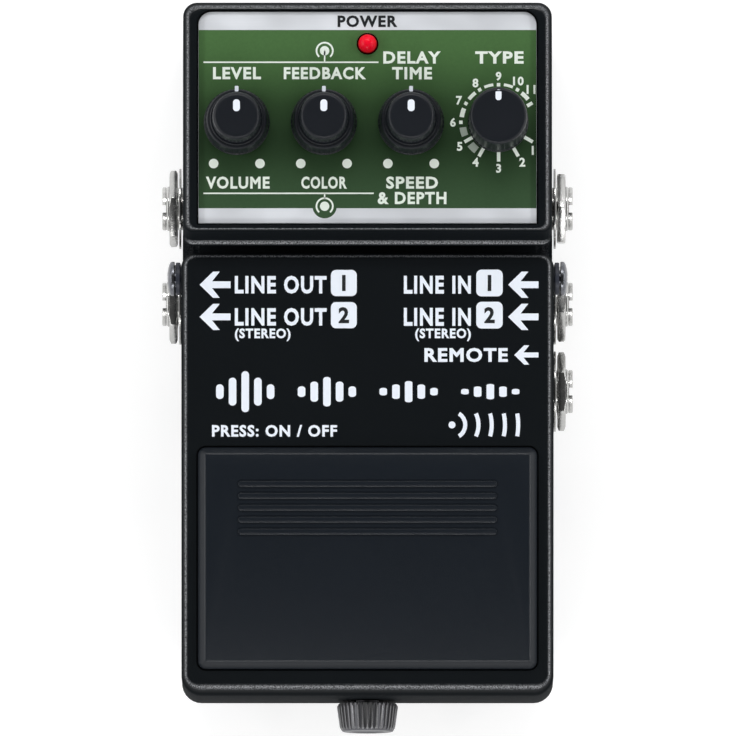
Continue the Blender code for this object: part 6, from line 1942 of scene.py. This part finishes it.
RUBBER_PIP_H = 0.3 * MM
RUBBER_PIP_R = 0.5 * MM
RUBBER_PIP_PITCH = 2.6 * MM
RUBBER_PIP_MARGIN = 2.0 * MM
BASE_SCREW_PITCH = 0.8 * MM
BASE_SCREW_CUT = 0.25 * MM


# Works under the treadle

def make_spring_piece(turns, points_per_turn):
    """Round-wire return spring with closed end turns."""
    low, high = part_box("return_spring")
    wire = SPRING_WIRE_R
    mean = (high[0] - low[0]) / 2 - wire
    bottom = low[2] + wire
    top = high[2] - wire - SPRING_PLAY
    count = turns * points_per_turn
    curve = bpy.data.curves.new("coil", "CURVE")
    curve.dimensions = "3D"
    curve.bevel_depth = wire
    curve.bevel_resolution = 4
    curve.use_fill_caps = True
    spline = curve.splines.new("POLY")
    spline.points.add(count)
    for step, point in enumerate(spline.points):
        share = step / count
        climb = share - SPRING_END_SHARE * math.sin(2 * math.pi * share) / (2 * math.pi)
        angle = 2 * math.pi * turns * share
        point.co = (mean * math.cos(angle), SPRING_Y + mean * math.sin(angle), bottom + (top - bottom) * climb,
                    1.0)
    obj = bpy.data.objects.new("coil", curve)
    bpy.context.scene.collection.objects.link(obj)
    mesh = evaluated_mesh(obj)
    bpy.data.objects.remove(obj, do_unlink=True)
    bpy.data.curves.remove(curve)
    spring = new_object("coil_spring", mesh, FINISHES["zinc_steel"])
    smooth(mesh)
    return dress(spring, "chassis", "zinc_steel", "return_spring")


SPRING_WIRE_R = 0.65 * MM
SPRING_END_SHARE = 0.35
SPRING_PLAY = 0.95 * MM


def make_switch_pieces():
    """Foot switch housing with its round stem, and the domed button inside it."""
    low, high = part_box("foot_switch")
    half = (high[0] - low[0]) / 2
    body_top = low[2] + 13.5 * MM
    body = make_object("switch_housing", moved(slab(
        rounded_box_outline(-half, half, -half, half, 0.9 * MM, 4), low[2], body_top), SWITCH_X, SPRING_Y),
        FINISHES["black_plastic"])
    button_low, button_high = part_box("switch_button")
    button_r = (button_high[0] - button_low[0]) / 2
    carve(body, [moved(rod(SWITCH_STEM_R, body_top - FIT, high[2]), SWITCH_X, SPRING_Y)],
          [moved(rod(button_r + FIT, button_low[2] - OVERRUN, high[2] + OVERRUN), SWITCH_X, SPRING_Y)])
    soften(body, 0.25 * MM, 2, 50)
    dress(body, "chassis", "black_plastic", "foot_switch")
    soft = 0.5 * MM
    profile = [(0, button_low[2]), (button_r, button_low[2])]
    profile += rounded_top(button_r, button_high[2], soft, 5)
    profile += [(0, button_high[2])]
    button = make_object("press_button", moved(turned(profile, 48), SWITCH_X, SPRING_Y),
                         FINISHES["plunger_white"])
    dress(button, "switch_button", "plunger_white", "switch_button")


def make_battery_pieces():
    """Battery can with rolled ends and its terminals, and the snap connector that covers them."""
    low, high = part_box("battery")
    end_x = high[0] - TERMINAL_H
    middle_y = (low[1] + high[1]) / 2
    middle_z = (low[2] + high[2]) / 2
    half_w = (high[1] - low[1]) / 2
    half_h = (high[2] - low[2]) / 2
    rolled = 0.5 * MM
    loops = []
    steps = [(rolled, low[0]), (0.0, low[0] + rolled), (0.0, end_x - rolled * 2), (rolled * 0.8, end_x - rolled),
             (rolled, end_x - FIT), (rolled * 2, end_x)]
    for inset, x in steps:
        outline = rounded_box_outline(-half_h + inset, half_h - inset, -half_w + inset, half_w - inset,
                                      2.4 * MM - inset)
        loops.append([(z, y, x) for z, y in outline])
    can = make_object("battery_can", moved(along(stacked_loops(loops), "+X"), 0.0, middle_y, middle_z),
                      FINISHES["battery_skin"])
    studs = []
    for side, radius in ((-1, TERMINAL_R), (1, TERMINAL_R * 0.92)):
        stud = along(rod(radius, end_x - FIT, high[0], 32 if side < 0 else 6), "+X")
        studs.append(moved(stud, 0.0, middle_y + side * TERMINAL_SPACING / 2, middle_z))
    carve(can, studs)
    soften(can, 0.12 * MM, 2, 50)
    dress(can, "chassis", "battery_skin", "battery")

    low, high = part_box("battery_snap")
    half_w = (high[1] - low[1]) / 2
    half_h = (high[2] - low[2]) / 2
    outline = rounded_box_outline(-half_h, half_h, -half_w, half_w, 2.4 * MM)
    snap = make_object("snap_connector", moved(along(slab(outline, low[0], high[0]), "+X"), 0.0, middle_y,
                                               middle_z), FINISHES["black_plastic"])
    sockets = []
    for side in (-1, 1):
        socket = along(rod(TERMINAL_R + FIT, low[0] - OVERRUN, low[0] + TERMINAL_H), "+X")
        sockets.append(moved(socket, 0.0, middle_y + side * TERMINAL_SPACING / 2, middle_z))
    carve(snap, cuts=sockets)
    soften(snap, 0.3 * MM, 3, 50)
    dress(snap, "chassis", "black_plastic", "battery_snap")


TERMINAL_R = 2.6 * MM
TERMINAL_H = 1.6 * MM
TERMINAL_SPACING = 12.7 * MM


# Stage

def bare_finish(name):
    """Material holding nothing but an output node."""
    material = bpy.data.materials.new(name)
    material.use_nodes = True
    tree = material.node_tree
    for node in list(tree.nodes):
        tree.nodes.remove(node)
    return material, tree, tree.nodes.new("ShaderNodeOutputMaterial")


def floor_finish(glow, grey):
    """Near-white floor that still takes a faint shadow and lends the object no light."""
    material, tree, output = bare_finish("floor_white")
    light = tree.nodes.new("ShaderNodeEmission")
    path = tree.nodes.new("ShaderNodeLightPath")
    seen = math_node(tree, "MAXIMUM", path.outputs["Is Camera Ray"], path.outputs["Is Glossy Ray"])
    seen = math_node(tree, "MAXIMUM", seen, path.outputs["Is Transmission Ray"])
    tree.links.new(spread(tree, seen, 0.0, glow), light.inputs["Strength"])
    matte = add_node(tree, "ShaderNodeBsdfDiffuse", Color=(grey, grey, grey, 1.0))
    both = tree.nodes.new("ShaderNodeAddShader")
    tree.links.new(light.outputs[0], both.inputs[0])
    tree.links.new(matte.outputs[0], both.inputs[1])
    tree.links.new(both.outputs[0], output.inputs["Surface"])
    return material


def studio_world(low, high):
    """Surroundings that are white from the horizon up and dimmer overhead, alike for every ray."""
    world = bpy.data.worlds.new("world")
    world.use_nodes = True
    tree = world.node_tree
    back = tree.nodes["Background"]
    coords = tree.nodes.new("ShaderNodeTexCoord")
    split = tree.nodes.new("ShaderNodeSeparateXYZ")
    tree.links.new(coords.outputs["Generated"], split.inputs[0])
    rise = band(tree, split.outputs["Z"], WORLD_FADE_START, WORLD_FADE_END)
    tree.links.new(spread(tree, rise, low, high), back.inputs["Strength"])
    back.inputs["Color"].default_value = (1.0, 1.0, 1.0, 1.0)
    bpy.context.scene.world = world


WORLD_FADE_START = 0.45
WORLD_FADE_END = 0.85
STRIP_LENGTH = 0.8
STRIP_WIDTH = 0.1


def soft_light(name, place, length, width, power, target):
    """Strip light aimed at a point, lying level across the line to it."""
    light = bpy.data.lights.new(name, "AREA")
    light.shape = "RECTANGLE"
    light.size = length
    light.size_y = width
    light.energy = power
    obj = bpy.data.objects.new(name, light)
    bpy.context.scene.collection.objects.link(obj)
    obj.location = place
    obj.rotation_euler = (Vector(target) - Vector(place)).to_track_quat("-Z", "Y").to_euler()
    return obj


def make_stage(view, lighting):
    """Floor, white surroundings, soft lights and the camera at the photograph's angle."""
    half = view.floor_half
    floor = make_object("floor", slab([(-half, -half), (half, -half), (half, half), (-half, half)],
                                      -view.floor_thick, 0.0), floor_finish(lighting.floor_glow, lighting.floor_grey))
    studio_world(lighting.low_sky, lighting.high_sky)
    middle = Vector(view.aim)
    lights = [
        soft_light("light_rear", (0.0, 0.7, 0.7), STRIP_LENGTH, STRIP_WIDTH, lighting.rear_power, middle),
        soft_light("light_front", (0.0, -0.78, 0.6), STRIP_LENGTH, STRIP_WIDTH, lighting.front_power, middle),
        soft_light("light_left", (-0.8, 0.0, 0.5), STRIP_LENGTH, STRIP_WIDTH, lighting.side_power, middle),
        soft_light("light_right", (0.8, 0.0, 0.5), STRIP_LENGTH, STRIP_WIDTH, lighting.side_power, middle),
    ]
    camera = bpy.data.cameras.new("camera")
    camera.sensor_width = view.sensor
    camera.lens = view.sensor * view.distance / view.frame_width
    camera.clip_end = view.distance * 4
    obj = bpy.data.objects.new("camera", camera)
    bpy.context.scene.collection.objects.link(obj)
    rise = view.elevation
    obj.location = middle + view.distance * Vector((0.0, -math.cos(rise), math.sin(rise)))
    obj.rotation_euler = (math.pi / 2 - rise, 0.0, 0.0)
    bpy.context.scene.camera = obj
    bpy.context.scene.view_settings.view_transform = "Standard"


# Properties

class PedalFinishSettings(bpy.types.PropertyGroup):
    """Colours and roughness of the finishes."""
    case_colour: FloatVectorProperty(name="Case", description="Paint of the case", size=3, subtype="COLOR",
                                     default=(0.0060, 0.0078, 0.0095))
    treadle_colour: FloatVectorProperty(name="Treadle", description="Paint of the treadle", size=3,
                                        subtype="COLOR", default=(0.0058, 0.0074, 0.0088))
    case_roughness: FloatProperty(name="Paint roughness", description="Roughness of the paint", default=0.2)
    rubber_colour: FloatVectorProperty(name="Rubber", description="Pad and base rubber", size=3,
                                       subtype="COLOR", default=(0.0062, 0.0092, 0.0138))
    knob_colour: FloatVectorProperty(name="Knobs", description="Moulded knobs", size=3, subtype="COLOR",
                                     default=(0.0100, 0.0118, 0.0155))
    ink_colour: FloatVectorProperty(name="Treadle print", description="White print on black", size=3,
                                    subtype="COLOR", default=(0.82, 0.87, 0.95))
    label_ink_colour: FloatVectorProperty(name="Label print", description="White print on green", size=3,
                                          subtype="COLOR", default=(0.88, 0.96, 0.87))
    green_rear: FloatVectorProperty(name="Green, rear", description="Green near the light", size=3,
                                    subtype="COLOR", default=(0.080, 0.180, 0.060))
    # Painted shade: the darker green at the knobs' row stands in for the knobs' shadow.
    green_knob_shade: FloatVectorProperty(name="Green, middle", description="Green round the knobs", size=3,
                                      subtype="COLOR", default=(0.0225, 0.050, 0.0205))
    green_front: FloatVectorProperty(name="Green, front", description="Green near the treadle", size=3,
                                     subtype="COLOR", default=(0.050, 0.102, 0.048))
    silver_colour: FloatVectorProperty(name="Silver", description="Bare plate of the label", size=3,
                                       subtype="COLOR", default=(0.92, 0.95, 1.0))


class PedalShapeSettings(bpy.types.PropertyGroup):
    """Counts and small sizes of the detail."""
    knob_ribs: IntProperty(name="Knob ribs", description="Fine ribs round each knob", default=40)
    soft_edge: FloatProperty(name="Cast edge", description="Radius of the cast case's small edges",
                             default=0.25 * MM, unit="LENGTH", precision=5)
    spring_turns: IntProperty(name="Spring turns", description="Turns of the return spring", default=8)
    spring_points: IntProperty(name="Spring smoothness", description="Points in each turn", default=28)


class PedalViewSettings(bpy.types.PropertyGroup):
    """Camera and floor."""
    elevation: FloatProperty(name="Elevation", description="Camera height angle", subtype="ANGLE",
                             default=math.radians(85))
    distance: FloatProperty(name="Distance", description="Camera to aim point", unit="LENGTH", default=5.0)
    frame_width: FloatProperty(name="Frame width", description="Width seen at the aim point", unit="LENGTH",
                               default=130.96 * MM, precision=5)
    sensor: FloatProperty(name="Sensor", description="Camera sensor width in millimetres", default=36.0)
    aim: FloatVectorProperty(name="Aim", description="Point that the camera looks at", size=3,
                             subtype="TRANSLATION", default=(0.09 * MM, -0.33 * MM, 25 * MM), precision=5)
    floor_half: FloatProperty(name="Floor half side", description="Half side of the floor", unit="LENGTH",
                              default=2.0)
    floor_thick: FloatProperty(name="Floor thickness", description="Thickness of the floor slab",
                               unit="LENGTH", default=0.01)


class PedalLightSettings(bpy.types.PropertyGroup):
    """Lights and surroundings."""
    low_sky: FloatProperty(name="Low surroundings", description="Strength near the horizon", default=0.9)
    high_sky: FloatProperty(name="High surroundings", description="Strength overhead", default=0.06)
    rear_power: FloatProperty(name="Rear light", description="Power in watts", unit="POWER", default=3.6)
    front_power: FloatProperty(name="Front light", description="Power in watts", unit="POWER", default=2.6)
    side_power: FloatProperty(name="Side lights", description="Power in watts", unit="POWER", default=2.4)
    floor_glow: FloatProperty(name="Floor glow", description="Own light of the floor", default=0.6)
    floor_grey: FloatProperty(name="Floor grey", description="Reflectance of the floor", default=0.6)


# Operators

class PieceOperator:
    """Shared frame of the pedal's operators."""
    bl_options = {"REGISTER", "UNDO"}


class PEDAL_OT_finishes(PieceOperator, bpy.types.Operator):
    """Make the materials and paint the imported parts"""
    bl_idname = "pedal.finishes"
    bl_label = "Finishes"

    def execute(self, context):
        FINISHES.update(make_finishes(context.scene.pedal_finish))
        paint_frame_nodes()
        return {"FINISHED"}


class PEDAL_OT_case(PieceOperator, bpy.types.Operator):
    """Build the cast case"""
    bl_idname = "pedal.case"
    bl_label = "Case"

    def execute(self, context):
        make_case_piece(context.scene.pedal_shape.soft_edge)
        return {"FINISHED"}


class PEDAL_OT_treadle(PieceOperator, bpy.types.Operator):
    """Build the treadle, its pad and its print"""
    bl_idname = "pedal.treadle"
    bl_label = "Treadle"

    def execute(self, context):
        make_treadle_piece()
        make_pad_piece()
        make_treadle_words()
        return {"FINISHED"}


class PEDAL_OT_label(PieceOperator, bpy.types.Operator):
    """Build the label, its print and the dial"""
    bl_idname = "pedal.label"
    bl_label = "Label"

    def execute(self, context):
        make_label_piece()
        make_label_words()
        make_dial_piece()
        return {"FINISHED"}


class PEDAL_OT_knobs(PieceOperator, bpy.types.Operator):
    """Build the knobs and the light"""
    bl_idname = "pedal.knobs"
    bl_label = "Knobs"

    def execute(self, context):
        ribs = context.scene.pedal_shape.knob_ribs
        for number, x in enumerate(CONTROL_XS[:-1], 1):
            make_dual_knobs(number, x, ribs)
        make_mode_knob(ribs)
        make_led_piece()
        return {"FINISHED"}


class PEDAL_OT_jacks(PieceOperator, bpy.types.Operator):
    """Build the phone jacks and the power socket"""
    bl_idname = "pedal.jacks"
    bl_label = "Jacks"

    def execute(self, context):
        make_jack_pieces()
        make_power_piece()
        return {"FINISHED"}


class PEDAL_OT_hinge(PieceOperator, bpy.types.Operator):
    """Build the hinge screws, the thumb screw and its guide"""
    bl_idname = "pedal.hinge"
    bl_label = "Hinge And Thumb Screw"

    def execute(self, context):
        make_hinge_pieces()
        make_thumb_piece()
        make_guide_piece()
        make_insert_piece()
        return {"FINISHED"}


class PEDAL_OT_base(PieceOperator, bpy.types.Operator):
    """Build the base plate, its rubber and its screws"""
    bl_idname = "pedal.base"
    bl_label = "Base"

    def execute(self, context):
        make_base_pieces()
        return {"FINISHED"}


class PEDAL_OT_works(PieceOperator, bpy.types.Operator):
    """Build the spring, the foot switch and the battery"""
    bl_idname = "pedal.works"
    bl_label = "Works"

    def execute(self, context):
        shape = context.scene.pedal_shape
        make_spring_piece(shape.spring_turns, shape.spring_points)
        make_switch_pieces()
        make_battery_pieces()
        return {"FINISHED"}


class PEDAL_OT_stage(PieceOperator, bpy.types.Operator):
    """Set up floor, lights and camera"""
    bl_idname = "pedal.stage"
    bl_label = "Stage"

    def execute(self, context):
        make_stage(context.scene.pedal_view, context.scene.pedal_light)
        return {"FINISHED"}


class PEDAL_PT_sidebar(bpy.types.Panel):
    """Sidebar of the 3D view with every step and its settings"""
    bl_idname = "PEDAL_PT_sidebar"
    bl_label = "Delay Pedal"
    bl_space_type = "VIEW_3D"
    bl_region_type = "UI"
    bl_category = "Pedal"

    def draw(self, context):
        layout = self.layout
        for step in STEPS:
            layout.operator(step.bl_idname)
        for attribute, group in SETTINGS.items():
            box = layout.box()
            for name in group.__annotations__:
                box.prop(getattr(context.scene, attribute), name)


SETTINGS = {
    "pedal_finish": PedalFinishSettings,
    "pedal_shape": PedalShapeSettings,
    "pedal_view": PedalViewSettings,
    "pedal_light": PedalLightSettings,
}
STEPS = [
    PEDAL_OT_finishes, PEDAL_OT_case, PEDAL_OT_treadle, PEDAL_OT_label, PEDAL_OT_knobs, PEDAL_OT_jacks,
    PEDAL_OT_hinge, PEDAL_OT_base, PEDAL_OT_works, PEDAL_OT_stage,
]
CLASSES = list(SETTINGS.values()) + STEPS + [PEDAL_PT_sidebar]


def register():
    for cls in CLASSES:
        bpy.utils.register_class(cls)
    for attribute, group in SETTINGS.items():
        setattr(bpy.types.Scene, attribute, PointerProperty(type=group))


def unregister():
    for attribute in SETTINGS:
        delattr(bpy.types.Scene, attribute)
    for cls in reversed(CLASSES):
        bpy.utils.unregister_class(cls)


def main():
    register()
    bpy.ops.pedal.finishes()
    bpy.ops.pedal.case()
    bpy.ops.pedal.treadle()
    bpy.ops.pedal.label()
    bpy.ops.pedal.knobs()
    bpy.ops.pedal.jacks()
    bpy.ops.pedal.hinge()
    bpy.ops.pedal.base()
    bpy.ops.pedal.works()
    bpy.ops.pedal.stage()
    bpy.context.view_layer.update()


if __name__ == "__main__":
    main()
